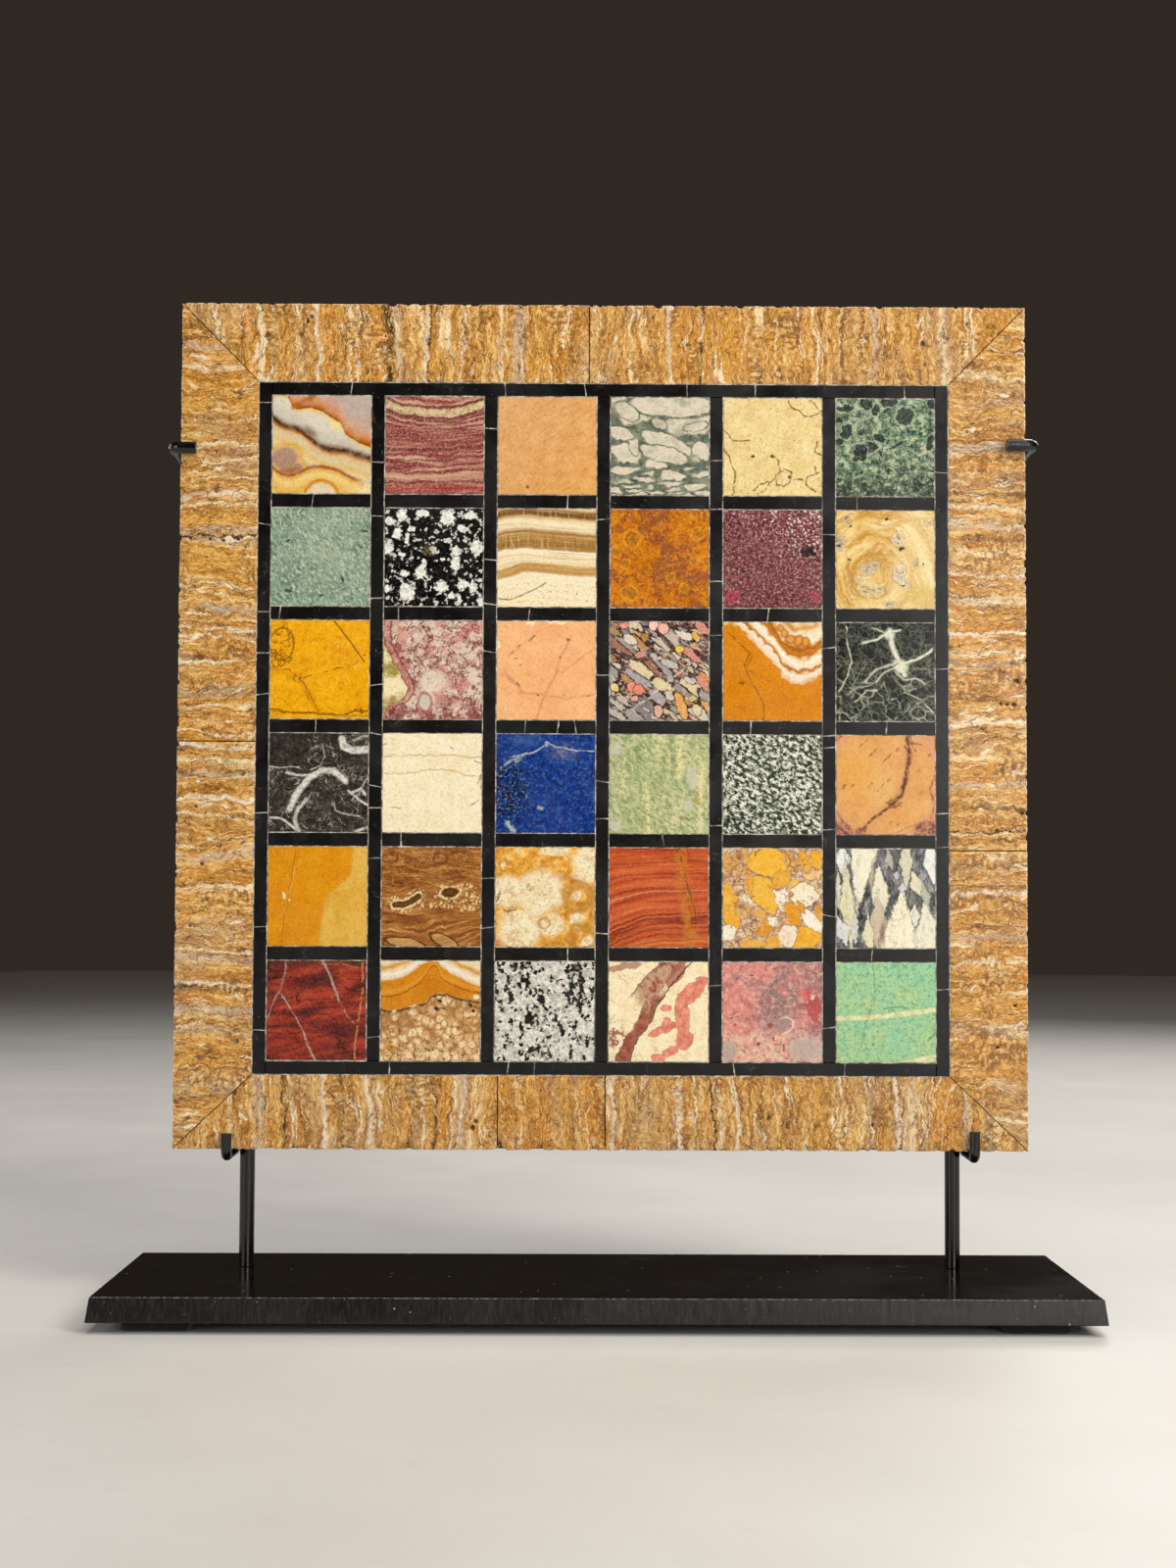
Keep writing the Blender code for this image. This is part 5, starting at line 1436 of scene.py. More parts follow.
def white_granite(at):
    at = warp(at, 26, 0.03, 3)
    colour = ramp(
        noise(at, 22, 5, 0.7, 3), (0.34, "a09d91"), (0.45, "cecbbf"), (0.58, "eeecdf"), (0.7, "f7f4e7"),
    )
    colour = mix(spread(noise(at, 15, 4, 0.7, 8), 0.53, 0.62) * 0.6, colour, "9c9a8e")
    _, _, place = cells(at, 40)
    tall = turned(place, -12) * (1.25, 0.36, 1.0)
    clump = noise(tall, 15, 4, 0.68, 2)
    drift = band(plane(turned(at, -8))[0], 0.37, 0.1, 0.9) * 0.04
    drift = drift + spread(blob(at, 0.84, 0.7, 0.12, 0.2), 1.1, 0.4) * 0.12
    drift = drift + spread(blob(at, 0.14, 0.75, 0.08, 0.2), 1.1, 0.4) * 0.08
    drift = drift + spread(blob(at, 0.8, 0.25, 0.12, 0.12), 1.1, 0.4) * 0.05
    colour = mix(spread(clump + drift * 0.8, 0.5, 0.555) * 0.55, colour, "84837a")
    black = most(spread(clump + drift * 0.8, 0.554, 0.572), grains(at, 38, 16, 0.63, 0.64, 5))
    ink = ramp(noise(at, 30, 3), (0.4, "080808"), (0.7, "222220"))
    return mix(black, colour, ink)


def ivory_jasper(at):
    at = shattered(warp(at, 26, 0.014), 20, 0.012)
    wavy = warp(at, 9, 0.07, 3)
    u, v = plane(wavy)
    colour = ramp(noise(at, 8, 6, 0.7, 2), (0.3, "ead4a2"), (0.5, "f8e8be"), (0.7, "fcf2d8"))
    hooks = ridges(
        turned(warp(at, 7, 0.12), 30) * (6.0, 14.0, 1.0), 1, 0.025, 3, 0.6, 4,
    ) * spread(noise(at, 9, 3, 0.6, 2), 0.5, 0.58)
    colour = mix(hooks * 0.5, colour, "96784a")
    vein = u - curve(v, (0, 0.13), (0.2, 0.2), (0.4, 0.34), (0.55, 0.4), (0.7, 0.5), (0.85, 0.62), (1, 0.76))
    rust = ramp(noise(at, 14, 5, 0.7), (0.38, "803c2e"), (0.5, "9c5642"), (0.64, "b47054"))
    colour = mix(band(vein, 0.01, 0.065, 0.2) * spread(v, 0.78, 0.6), colour, rust)
    upper = spread(vein, -0.26, -0.22) * spread(vein, 0.03, 0.0) * spread(v + vein * 0.8, 0.45, 0.55)
    flakes = noise(turned(wavy, -30) * (9.0, 6.0, 1.0), 1, 4, 0.65, 5)
    mottled = ramp(
        flakes, (0.36, "84463a"), (0.44, "a4705a"), (0.5, "c9a888"), (0.56, "b8856a"), (0.64, "8e4a3a"),
    )
    colour = mix(upper, colour, mottled)
    colour = mix(band(vein, -0.245, 0.01, 0.8) * spread(v, 0.6, 0.7) * 0.85, colour, "7c4a34")
    colour = mix(spread(blob(wavy, 0.68, 0.88, 0.06, 0.16, -35), 1.08, 0.92) * 0.85, colour, "a85c4c")
    colour = mix(band(vein, 0.08, 0.009, 0.8) * 0.95, colour, "421c14")
    colour = mix(band(vein, -0.055, 0.006, 0.8) * spread(v, 0.7, 0.5) * 0.6, colour, "6a3424")
    colour = mix(spread(blob(wavy, 0.14, 0.95, 0.2, 0.04, 8), 1.1, 0.8) * 0.8, colour, "a46c54")
    colour = mix(
        stroke(wavy, 0.005, (0.0, 0.92), (0.1, 0.85), (0.18, 0.8), (0.24, 0.73), soft=0.9) * 0.7, colour,
        "8c6040",
    )
    pink_places = (
        (0.82, 0.68, 0.17, 0.08, 38), (0.94, 0.8, 0.06, 0.06, 0), (0.74, 0.45, 0.07, 0.2, 5),
        (0.55, 0.32, 0.15, 0.04, 24), (0.76, 0.22, 0.08, 0.1, 0), (0.62, 0.1, 0.09, 0.04, 30),
        (0.5, 0.03, 0.06, 0.05, 0), (0.58, 0.53, 0.05, 0.035, 0), (0.58, 0.38, 0.05, 0.07, -20),
    )
    pink = most(
        *(
            spread(blob(wavy, x, y, wide, high, degrees), 1.1, 0.96)
            for x, y, wide, high, degrees in pink_places
        )
    )
    tone = ramp(
        noise(at, 13, 5, 0.7, 6), (0.36, "c86c56"), (0.5, "e48a74"), (0.62, "f0a288"), (0.74, "f2b098"),
    )
    colour = mix(pink, colour, tone)
    colour = mix(band(pink, 0.5, 0.35, 0.5) * 0.55, colour, "9c5240")
    low = spread(blob(wavy, 0.08, 0.24, 0.15, 0.13), 1.1, 0.6) * spread(noise(at, 13, 4, 0.7, 8), 0.48, 0.53)
    return mix(low * 0.9, colour, "924c3a")


def peach_grey_marble(at):
    at = warp(warp(at, 5, 0.1, 3), 24, 0.02)
    u, v = plane(at)
    cloud = noise(at, 3.4, 6, 0.68, 2)
    drift = cloud + (u - 0.4) * 0.2
    colour = ramp(
        drift, (0.34, "e48c7c"), (0.44, "da867a"), (0.52, "c88880"), (0.6, "aa7a78"), (0.72, "8c6a6a"),
    )
    colour = mix(
        spread(blob(at, 0.62, 0.68, 0.28, 0.22, -20), 1.2, 0.4) * spread(cloud, 0.4, 0.54) * 0.85, colour,
        "8a7272",
    )
    low = spread(v + (noise(at, 6, 4, 0.65, 3) - 0.5) * 0.3, 0.34, 0.2)
    colour = mix(
        low * 0.85, colour,
        ramp(noise(at, 15, 5, 0.7, 9), (0.38, "c47a66"), (0.48, "e2b49a"), (0.6, "eed2ba")),
    )
    colour = mix(spread(noise(at, 17, 5, 0.72, 6), 0.49, 0.6) * 0.65, colour, "f0b4a4")
    colour = mix(spread(noise(at, 14, 5, 0.72, 4), 0.51, 0.6) * 0.55, colour, "7c4a50")
    colour = mix(ridges(at, 9, 0.022, 4, 0.65, 7) * 0.5, colour, "dfb4a2")
    colour = mix(spread(blob(at, 0.63, 0.4, 0.13, 0.08, 25), 1.1, 0.6) * 0.7, colour, "a08a86")
    colour = mix(spread(blob(at, 0.83, 0.13, 0.2, 0.13), 1.1, 0.6) * 0.85, colour, "bcaaa0")
    colour = mix(spread(blob(at, 0.06, 0.1, 0.1, 0.11), 1.1, 0.6) * 0.8, colour, "b4a298")
    ring = blob(at, 0.63, 0.37, 0.1, 0.08, 25)
    colour = mix(band(ring, 1, 0.1, 0.9) * spread(u, 0.56, 0.66) * 0.8, colour, "efdccc")
    chunk = noise(shattered(at, 9, 0.05), 6, 3, 0.6, 9)
    right = spread(blob(at, 0.9, 0.55, 0.14, 0.22, 15), 1.1, 0.6)
    colour = mix(right * spread(chunk, 0.46, 0.5) * 0.85, colour, "b4484c")
    colour = mix(spread(blob(at, 0.84, 0.67, 0.035, 0.06, 20), 1.1, 0.7), colour, "e0685c")
    colour = mix(
        spread(blob(at, 0.91, 0.66, 0.03, 0.05, -20), 1.1, 0.7) * spread(chunk, 0.5, 0.56), colour,
        "f0b8a4",
    )
    colour = mix(stroke(at, 0.02, (0.24, 0.62), (0.3, 0.48), (0.36, 0.4), soft=0.8) * 0.6, colour, "b25458")
    dot_places = (
        (0.48, 0.38, 0.03, 0.025), (0.1, 0.44, 0.016, 0.012), (0.13, 0.37, 0.016, 0.014),
        (0.28, 0.87, 0.03, 0.01), (0.36, 0.17, 0.02, 0.02), (0.52, 0.23, 0.012, 0.03),
        (0.62, 0.13, 0.01, 0.04),
    )
    dots = most(*(spread(blob(at, x, y, wide, high), 1.2, 0.7) for x, y, wide, high in dot_places))
    return mix(most(dots, spots(at, 18, 0.16, 0.18, 5) * 0.7) * 0.85, colour, "93303a")


def mint_marble(at):
    at = warp(at, 26, 0.014, 3)
    u, v = plane(at)
    tone = (noise(at, 4, 5, 0.68, 2) - 0.5) * 1.3 + 0.5 + (u + v - 1.0) * 0.05
    colour = ramp(
        tone, (0.32, "b4cc90"), (0.44, "a4cc94"), (0.54, "9acc9c"), (0.66, "8eca9e"), (0.76, "80c2a0"),
    )
    colour = mix(spread(noise(at, 17, 5, 0.7, 5), 0.48, 0.62) * 0.5, colour, "b8dcac")
    colour = mix(spread(noise(at, 20, 5, 0.74, 3), 0.51, 0.62) * 0.75, colour, "70a07c")
    flecks = noise(turned(warp(at, 8, 0.08), 40) * (16.0, 40.0, 1.0), 1, 3, 0.65, 8)
    colour = mix(spread(flecks, 0.6, 0.67) * 0.75, colour, "4e7858")
    colour = mix(spots(at, 17, 0.16, 0.3, 6) * 0.5, colour, "4a6e54")
    wavy = warp(at, 9, 0.025)
    upper = to_line(wavy, (0.0, 0.44), (0.3, 0.45), (0.65, 0.48), (1.0, 0.53))
    lower = to_line(wavy, (0.66, -0.02), (0.8, 0.015), (0.9, 0.03), (1.0, 0.05))
    veins = most(spread(upper, 0.029, 0.019), spread(lower, 0.036, 0.026))
    cream = ramp(noise(at, 14, 4, 0.7), (0.38, "c6c888"), (0.5, "e2dca6"), (0.62, "ece8c4"))
    jagged = warp(at, 16, 0.06)
    hairline = most(
        stroke(jagged, 0.006, (0.37, 0.98), (0.39, 0.75), (0.36, 0.6), (0.3, 0.4), (0.24, 0.12), soft=0.9),
        stroke(jagged, 0.005, (0.39, 0.72), (0.38, 0.52), soft=0.9),
        stroke(jagged, 0.005, (0.26, 0.36), (0.3, 0.22), (0.28, 0.12), soft=0.9) * 0.8,
        stroke(jagged, 0.005, (0.38, 0.88), (0.55, 0.87), (0.7, 0.88), soft=0.9) * 0.6,
    )
    colour = mix(hairline * 0.7, colour, "4a6c4c")
    colour = mix(veins * 0.92, colour, cream)
    colour = mix(
        stroke(wavy, 0.007, (0.48, 0.535), (0.6, 0.555), (0.7, 0.545), soft=0.9) * 0.7, colour, "4e7254",
    )
    return mix(stroke(jagged, 0.01, (0.92, 0.22), (1.0, 0.3), soft=0.9) * 0.75, colour, "54543a")




# ---------------------------------------------------------------- finishes


def new_tree(name):
    material = bpy.data.materials.new(name)
    material.use_nodes = True
    material.node_tree.nodes.clear()
    return material, material.node_tree


def place_in_metres(tree):
    return Value(tree, add_node(tree, "TexCoord").outputs["Object"])


def swizzled(at, first, second, scale=1.0, origin=(0.0, 0.0)):
    """Two of a point's coordinates, measured from origin and scaled, as a flat point."""
    axes = parts(at)
    return vec((axes[first] - origin[0]) * scale, (axes[second] - origin[1]) * scale)


def finish_surface(tree, colour, roughness, height, lift=0.1 * MM, **plain):
    """The shader: a colour, a roughness, a height for the bump in units of lift, and plain numbers."""
    shader = add_node(tree, "BsdfPrincipled")
    feed(tree, shader.inputs["Base Color"], colour)
    feed(tree, shader.inputs["Roughness"], roughness)
    for name, value in plain.items():
        shader.inputs[name.replace("_", " ")].default_value = value
    bump = add_node(tree, "Bump")
    bump.inputs["Distance"].default_value = lift
    feed(tree, bump.inputs["Height"], height)
    tree.links.new(bump.outputs[0], shader.inputs["Normal"])
    output = add_node(tree, "OutputMaterial")
    tree.links.new(shader.outputs[0], output.inputs["Surface"])


def polish(metres, low=0.2, high=0.34):
    """Hand polish: smears in the gloss, with a faint unevenness and pinholes in the surface."""
    smears = noise(metres, 34, 4, 0.6, 1.3)
    gloss = spread(smears, 0.35, 0.68, high - low) + low
    pinholes = spots(metres, 420, 0.17, 0.2)
    gloss = gloss + pinholes * 0.3
    height = noise(metres, 160, 3, 0.6) * 0.12 - pinholes * 0.6
    return gloss, height


def stone_material(stone, recipe, low, high):
    """A polished stone: its recipe over the tile from low to high, with a fine mottle on it."""
    material, tree = new_tree("polished_" + stone)
    metres = place_in_metres(tree)
    size = high - low
    at = swizzled(metres, X, Z, 1.0, (low.x, low.z)) * (1 / size.x, 1 / size.z, 1.0)
    gloss, height = polish(metres)
    colour = recipe(at)
    mottle = noise(at, 55, 4, 0.75, 9.3)
    colour = flecked(colour, mottle, (0.5, 0.36, 0.22, "000000"), (0.54, 0.7, 0.1, "fff4dc"))
    finish_surface(tree, colour, gloss, height, Specular_IOR_Level=STONE_MIRROR)
    return material


def black_marble_material():
    """The fillets: nearly black, with faint smudges, hairline veins and pale specks."""
    material, tree = new_tree("black_marble")
    metres = place_in_metres(tree)
    at = swizzled(metres, X, Z, MM_IN_METRE)
    colour = ramp(noise(at, 0.12, 4, 0.6, 2), (0.35, "060504"), (0.55, "0a0807"), (0.7, "13110e"))
    smudge = spread(noise(at * (1.0, 0.6, 1.0), 0.11, 4, 0.62, 5), 0.6, 0.74)
    colour = mix(smudge * spread(noise(at, 0.9, 4, 0.7, 8), 0.5, 0.66) * 0.22, colour, "8f8e88")
    for angle, seed in ((20, 1.0), (-35, 4.0), (75, 7.0)):
        hairs = ridges(turned(at, angle, (0, 0, 0)) * (0.05, 1.1, 1.0), 1, 0.006, 1, 0.5, seed)
        hairs = hairs * spread(noise(at, 0.16, 1, 0.5, seed + 2), 0.62, 0.7)
        colour = mix(hairs * 0.4, colour, "8c8a84")
    colour = mix(spots(at, 0.35, 0.07, 0.3) * 0.7, colour, "a9a59c")
    gloss, height = polish(metres, 0.24, 0.4)
    finish_surface(tree, colour, gloss, height, Specular_IOR_Level=0.42)
    return material


def grout_material():
    material, tree = new_tree("pale_grout")
    at = swizzled(place_in_metres(tree), X, Z, MM_IN_METRE)
    colour = ramp(
        noise(at, 0.35, 5, 0.7, 2), (0.34, "5c574e"), (0.44, "8e897e"), (0.54, "bab6aa"), (0.66, "dad7ce"),
    )
    dirt = spread(noise(at, 0.16, 4, 0.65, 6), 0.46, 0.58)
    colour = mix(dirt * 0.7, colour, "3e3a33")
    grain = noise(at, 3.2, 3, 0.7)
    finish_surface(tree, colour, grain * 0.2 + 0.7, grain, 0.08 * MM)
    return material


TONES = {
    "cream": "f3e3bf", "white": "ece2d0", "grey": "a49684", "lilac": "c4b6a8", "amber": "cf8420",
    "gold": "d69c3c", "brown": "744719", "dark": "2e1f12", "tan": "ad8458", "moss": "a69c72",
}

# Layers of the border that stand out: millimetres from the tablet's middle, half width and tone.
LAYERS = {
    "top": (
        (-177.7, 0.7, "cream"), (-164, 2.0, "amber"), (-159, 1.0, "cream"), (-153, 1.2, "moss"),
        (-140, 5, "tan"), (-132.7, 0.9, "white"), (-127, 3.0, "amber"), (-120, 1.6, "gold"),
        (-115.5, 0.6, "cream"), (-112.5, 0.6, "cream"), (-105.7, 3.5, "amber"), (-99.6, 1.6, "dark"),
        (-95.3, 1.4, "lilac"), (-82.2, 0.9, "white"), (-80.6, 0.4, "dark"), (-65.4, 0.5, "cream"),
        (-48, 0.6, "cream"), (-39, 2.4, "lilac"), (-28, 4, "gold"), (12, 0.6, "cream"), (31, 0.8, "white"),
        (45, 0.6, "dark"), (58, 2.5, "gold"), (78, 3.5, "gold"), (98, 0.7, "cream"), (112, 1.0, "brown"),
        (125, 1.5, "lilac"), (142, 1.2, "gold"), (156.4, 2.0, "cream"), (167.8, 0.6, "cream"),
        (170.8, 0.5, "white"),
    ),
    "bottom": (
        (-167.7, 0.8, "cream"), (-156, 2.2, "lilac"), (-144, 0.5, "dark"), (-141, 0.7, "cream"),
        (-126, 0.9, "white"), (-118, 0.5, "dark"), (-105.7, 1.8, "white"), (-95, 4.5, "gold"),
        (-85, 1.2, "grey"), (-81, 0.6, "white"), (-75.3, 0.6, "dark"), (-71.3, 1.8, "amber"),
        (-67.3, 0.5, "white"), (-63.7, 2.0, "lilac"), (-59.3, 0.9, "cream"), (-52, 3.5, "gold"),
        (-41, 3.5, "amber"), (-28, 4, "amber"), (-17, 3, "gold"), (-5, 3, "amber"), (4.6, 1.4, "white"),
        (20, 10, "tan"), (35.3, 1.1, "white"), (42.4, 0.6, "cream"), (50.4, 0.5, "dark"),
        (53.6, 0.9, "cream"), (61.2, 0.8, "white"), (97.7, 2.5, "gold"), (108.4, 0.7, "cream"),
        (123.6, 1.6, "grey"), (134.7, 0.8, "white"), (141.9, 1.8, "cream"), (148.1, 1.2, "moss"),
        (156.6, 3.2, "amber"), (166, 1.5, "lilac"), (176, 1.5, "grey"),
    ),
    "left": (
        (174, 1.2, "lilac"), (164.3, 1.2, "cream"), (147, 5, "gold"), (128.7, 0.7, "cream"),
        (112.4, 0.4, "cream"), (104.3, 1.7, "white"), (100.3, 0.6, "cream"), (93.5, 3.2, "gold"),
        (88.1, 1.4, "lilac"), (84.9, 0.8, "dark"), (83.0, 0.9, "grey"), (73.5, 6.5, "gold"),
        (62.9, 0.4, "cream"), (60.8, 0.5, "brown"), (51.6, 1.8, "lilac"), (42.1, 0.6, "white"),
        (39, 0.5, "cream"), (28.2, 0.7, "cream"), (15.1, 3.0, "grey"), (7, 0.7, "cream"),
        (-4.3, 0.5, "cream"), (-11, 1.0, "white"), (-18.3, 0.9, "cream"), (-24.6, 1.2, "lilac"),
        (-35.4, 0.8, "white"), (-43, 0.6, "cream"), (-60.6, 1.5, "lilac"), (-75.5, 0.8, "cream"),
        (-104.8, 0.6, "cream"), (-108.4, 1.4, "lilac"), (-119.2, 0.7, "white"), (-121, 0.4, "dark"),
        (-126.9, 2.0, "amber"), (-131.4, 1.5, "lilac"), (-141.3, 1.6, "grey"), (-155, 1.0, "gold"),
        (-166.5, 3.5, "grey"), (-184.5, 0.8, "cream"),
    ),
    "right": (
        (160, 0.7, "cream"), (145, 2.0, "gold"), (128.7, 2.2, "lilac"), (121.4, 1.6, "amber"),
        (108.4, 0.6, "brown"), (101.6, 1.5, "cream"), (92.6, 2.8, "lilac"), (80, 0.6, "cream"),
        (70, 0.7, "white"), (67, 1.6, "amber"), (58.8, 2.0, "cream"), (45.3, 1.2, "amber"),
        (42.6, 0.7, "white"), (33.6, 1.0, "cream"), (28.6, 1.0, "grey"), (23.7, 2.0, "amber"),
        (1.1, 1.1, "white"), (-16.9, 1.5, "amber"), (-26.4, 1.4, "lilac"), (-48.4, 0.5, "dark"),
        (-62.9, 1.2, "brown"), (-69.6, 2.0, "amber"), (-75, 0.5, "brown"), (-77.7, 0.9, "white"),
        (-96.7, 1.2, "lilac"), (-107.9, 0.8, "cream"), (-116.9, 0.6, "brown"), (-128, 2.0, "gold"),
        (-138.6, 1.4, "white"), (-142.2, 0.6, "cream"), (-160, 1.5, "amber"), (-178.7, 0.7, "cream"),
    ),
}


def alabaster_material(name, side, low, high, middle, seed):
    """Banded alabaster, its layers running across a side of the border."""
    material, tree = new_tree(name)
    metres = place_in_metres(tree)
    along, across = (X, Z) if side in ("top", "bottom") else (Z, X)
    origin = (middle[along], middle[across])
    s, t = plane(swizzled(metres, along, across, MM_IN_METRE, origin))
    depth = plane(swizzled(metres, Y, X, MM_IN_METRE, (middle[Y], 0.0)))[0]
    outward = SIDES[side][1]
    rim = abs((high if outward > 0 else low)[across] - middle[across]) * MM_IN_METRE
    # Away from the outer edge: where the painted shade of the pits goes, below
    inside = spread(abs(t), rim - 0.6, rim - 1.2)
    t = t + depth * outward  # the layers run on, round the arris and down the outer edge
    zone = noise(vec(s, t * 0.5), 0.035, 2, 0.5, seed + 1)
    folds = spread(noise(vec(s, t * 0.6), 0.07, 2, 0.5, seed + 9), 0.5, 0.66)
    drift = noise(vec(s, t * 0.8), 0.05, 2, 0.5, seed) - 0.5
    sway = noise(vec(s, t * 1.2), 0.16, 3, 0.6, seed + 2) - 0.5
    jag = noise(vec(s * 0.9, t * 0.8), 0.55, 3, 0.68, seed + 4) - 0.5
    level = s + drift * 9.0 + sway * 4.2 + jag * (folds * 4.2 + 2.2)
    lean = noise(vec(s * 0.3, depth * 0.8, seed), 0.3, 3, 0.6) - 0.5
    level = level + lean * spread(depth, 0.8, 5.0, 7.0)
    sheet = noise(vec(level * 0.34, t * 0.03, seed), 1, 6, 0.72)
    colour = ramp(
        sheet, (0.29, "55320f"), (0.37, "84541f"), (0.44, "b0752c"), (0.5, "c88d3e"), (0.56, "dfac5c"),
        (0.62, "ebcb90"), (0.69, "f6e5bc"),
    )
    colour = flecked(colour, zone, (0.5, 0.62, 0.5, "c98524"), (0.47, 0.36, 0.5, "a98465"))
    first, last = ((corner[along] - origin[0]) * MM_IN_METRE for corner in (low, high))
    for where, half, tone in LAYERS[side]:
        if first - 3 < where < last + 3:
            broken = noise(vec(level * 0.3, t * 0.12, where), 1, 2)
            amount = spread(broken, 0.3, 0.5) * (0.5 if half > 3 else 0.85 if half < 1.2 else 0.66)
            if tone == "dark":
                amount = spread(broken, 0.34, 0.42)
            colour = mix(band(level, where, half, 0.8 if half > 1 else 0.6) * amount, colour, TONES[tone])
    crinkle = noise(vec(level * 1.5, t * 0.3, seed + 7), 1, 3, 0.7)
    colour = flecked(colour, crinkle, (0.53, 0.65, 0.75, "f3d28e"), (0.46, 0.35, 0.75, "5f3715"))
    lobes, _, _ = cells(vec(level * 0.42, t * 0.5, seed), 1.0)
    botryoid = folds * spread(zone, 0.4, 0.48)
    colour = mix(spread(lobes, 0.44, 0.1) * botryoid * 0.75, colour, "f2d294")
    colour = mix(spread(lobes, 0.48, 0.64) * botryoid * 0.75, colour, "7c4a1c")
    lines = ridges(vec(level * 0.17, t * 0.014, seed + 3), 1, 0.018, 2, 0.5)
    lines = lines * spread(noise(vec(level * 0.2, t * 0.07, seed), 1, 1), 0.42, 0.52)
    colour = mix(lines * 0.9, colour, "f4e6c6")
    shadow = ridges(vec(level * 0.2, t * 0.014, seed + 6), 1, 0.014, 2, 0.5)
    shadow = shadow * spread(noise(vec(level * 0.2, t * 0.06, seed + 5), 1, 1), 0.42, 0.52)
    colour = mix(shadow * 0.85, colour, "4a2d14")
    cracks = ridges(vec(level * 0.09, t * 0.02, seed + 8), 1, 0.006, 2, 0.55)
    cracks = cracks * spread(noise(vec(level * 0.3, t * 0.16, seed + 8), 1, 2), 0.48, 0.56)
    colour = mix(cracks * 0.85, colour, "2c1c10")
    lenses = cell_edges(vec(level * 0.42, t * 0.17, seed + 2), 1.0)
    lens_share = spread(noise(vec(level * 0.12, t * 0.1, seed + 2), 1, 2), 0.44, 0.54)
    colour = mix(spread(lenses, 0.07, 0.015) * lens_share * 0.6, colour, "6b4018")
    fibre = noise(vec(s * 1.6, t * 1.0, seed), 1, 4, 0.75)
    colour = flecked(colour, fibre, (0.53, 0.66, 0.46, "f2d08e"), (0.46, 0.34, 0.5, "573211"))
    # Painted shade in the pits: the face turns dark brown where it lies more than about a third of a
    # millimetre deep
    colour = mix(spread(depth, 0.34, 0.6) * inside * 0.9, colour, "33210f")
    # Paler worn arris along the outer edge, with a painted highlight on top of it: much stronger on the
    # right-hand side, where the light falls
    arris = spread(abs(t), rim - 0.7, rim - 0.3) * spread(depth, 1.0, 0.4) * spread(
        noise(metres, 450, 3, 0.7), 0.42, 0.6,
    )
    colour = mix(arris * (0.8 if side == "right" else 0.35), colour, "f0e6d2")
    gloss, height = polish(metres, 0.22, 0.38)
    finish_surface(tree, colour, gloss, height + fibre * 0.15 - cracks * 0.8, Specular_IOR_Level=STONE_MIRROR)
    return material


def backing_material():
    """A sawn slab: grey, with saw marks across it and smears of old mortar."""
    material, tree = new_tree("sawn_backing_stone")
    metres = place_in_metres(tree)
    at = metres * MM_IN_METRE
    colour = ramp(noise(at, 0.02, 5, 0.65, 2), (0.34, "4c4841"), (0.5, "5f5a52"), (0.66, "736d63"))
    colour = mix(spread(noise(at, 0.5, 4, 0.7, 5), 0.5, 0.7) * 0.4, colour, "8b8578")
    cuts = noise(at * (0.012, 0.5, 0.6), 1, 3, 0.6, 1)
    colour = mix(spread(cuts, 0.5, 0.65) * 0.35, colour, "908a7e")
    mortar = spread(noise(at, 0.03, 5, 0.65, 8), 0.62, 0.7)
    colour = mix(mortar * 0.5, colour, "a59e90")
    grain = noise(metres, 900, 3, 0.7)
    finish_surface(tree, colour, grain * 0.15 + 0.72, cuts * 1.2 + grain * 0.5 + mortar * 0.6, 0.25 * MM)
    return material


def base_material(name, low_gloss, high_gloss, ruled, mirror, level):
    """Black stone: the top is polished and the edges only honed, with fine upright lines and a worn arris."""
    material, tree = new_tree(name)
    metres = place_in_metres(tree)
    colour = ramp(noise(metres, 60, 4, 0.65, 2), (0.35, "070605"), (0.6, "0e0c0b"), (0.75, "191715"))
    dust = spots(metres, 150, 0.085, 0.22)
    colour = mix(dust * 0.75, colour, "a5a19a")
    colour = mix(spots(metres, 380, 0.14, 0.2, 4.4) * 0.4, colour, "8a8680")
    smears = noise(metres, 14, 4, 0.6)
    height = noise(metres, 240, 2, 0.5) * 0.1
    gloss = spread(smears, 0.35, 0.7, high_gloss - low_gloss) + low_gloss + dust * 0.3
    if ruled:
        lines = noise(metres * (1400.0, 1400.0, 30.0), 1, 2, 0.6)
        colour = mix(spread(lines, 0.45, 0.7) * 0.28, colour, "3c3935")
        rise = plane(swizzled(metres, Z, X, MM_IN_METRE, (level, 0.0)))[0]
        worn = spread(rise, -0.6, -0.15) * spread(noise(metres, 600, 3, 0.7), 0.44, 0.6)
        colour = mix(worn * 0.55, colour, "8f8b84")
        gloss = gloss + lines * 0.12
        height = height + lines * 0.25
    else:
        scratches = ridges(turned(metres, 25, (0, 0, 0)) * (9.0, 260.0, 1.0), 1, 0.004, 1, 0.5)
        scratches = scratches * spread(noise(metres, 22, 1, 0.5, 5), 0.58, 0.66)
        colour = mix(scratches * 0.2, colour, "77736c")
        gloss = gloss + scratches * 0.2
    finish_surface(tree, colour, gloss, height, Specular_IOR_Level=mirror)
    return material


def steel_material():
    material, tree = new_tree("black_painted_steel")
    metres = place_in_metres(tree)
    worn = noise(metres, 90, 4, 0.65, 3)
    colour = ramp(worn, (0.35, "060606"), (0.6, "0c0b0b"), (0.78, "1b1918"))
    colour = mix(spots(metres, 500, 0.14, 0.1) * 0.3, colour, "6e6a64")
    brush = noise(metres * (500.0, 500.0, 60.0), 1, 3, 0.6)
    gloss = spread(worn, 0.35, 0.7, 0.12) + 0.14
    finish_surface(tree, colour, gloss, brush * 0.25 + noise(metres, 300, 3, 0.6) * 0.5, 0.12 * MM)
    return material


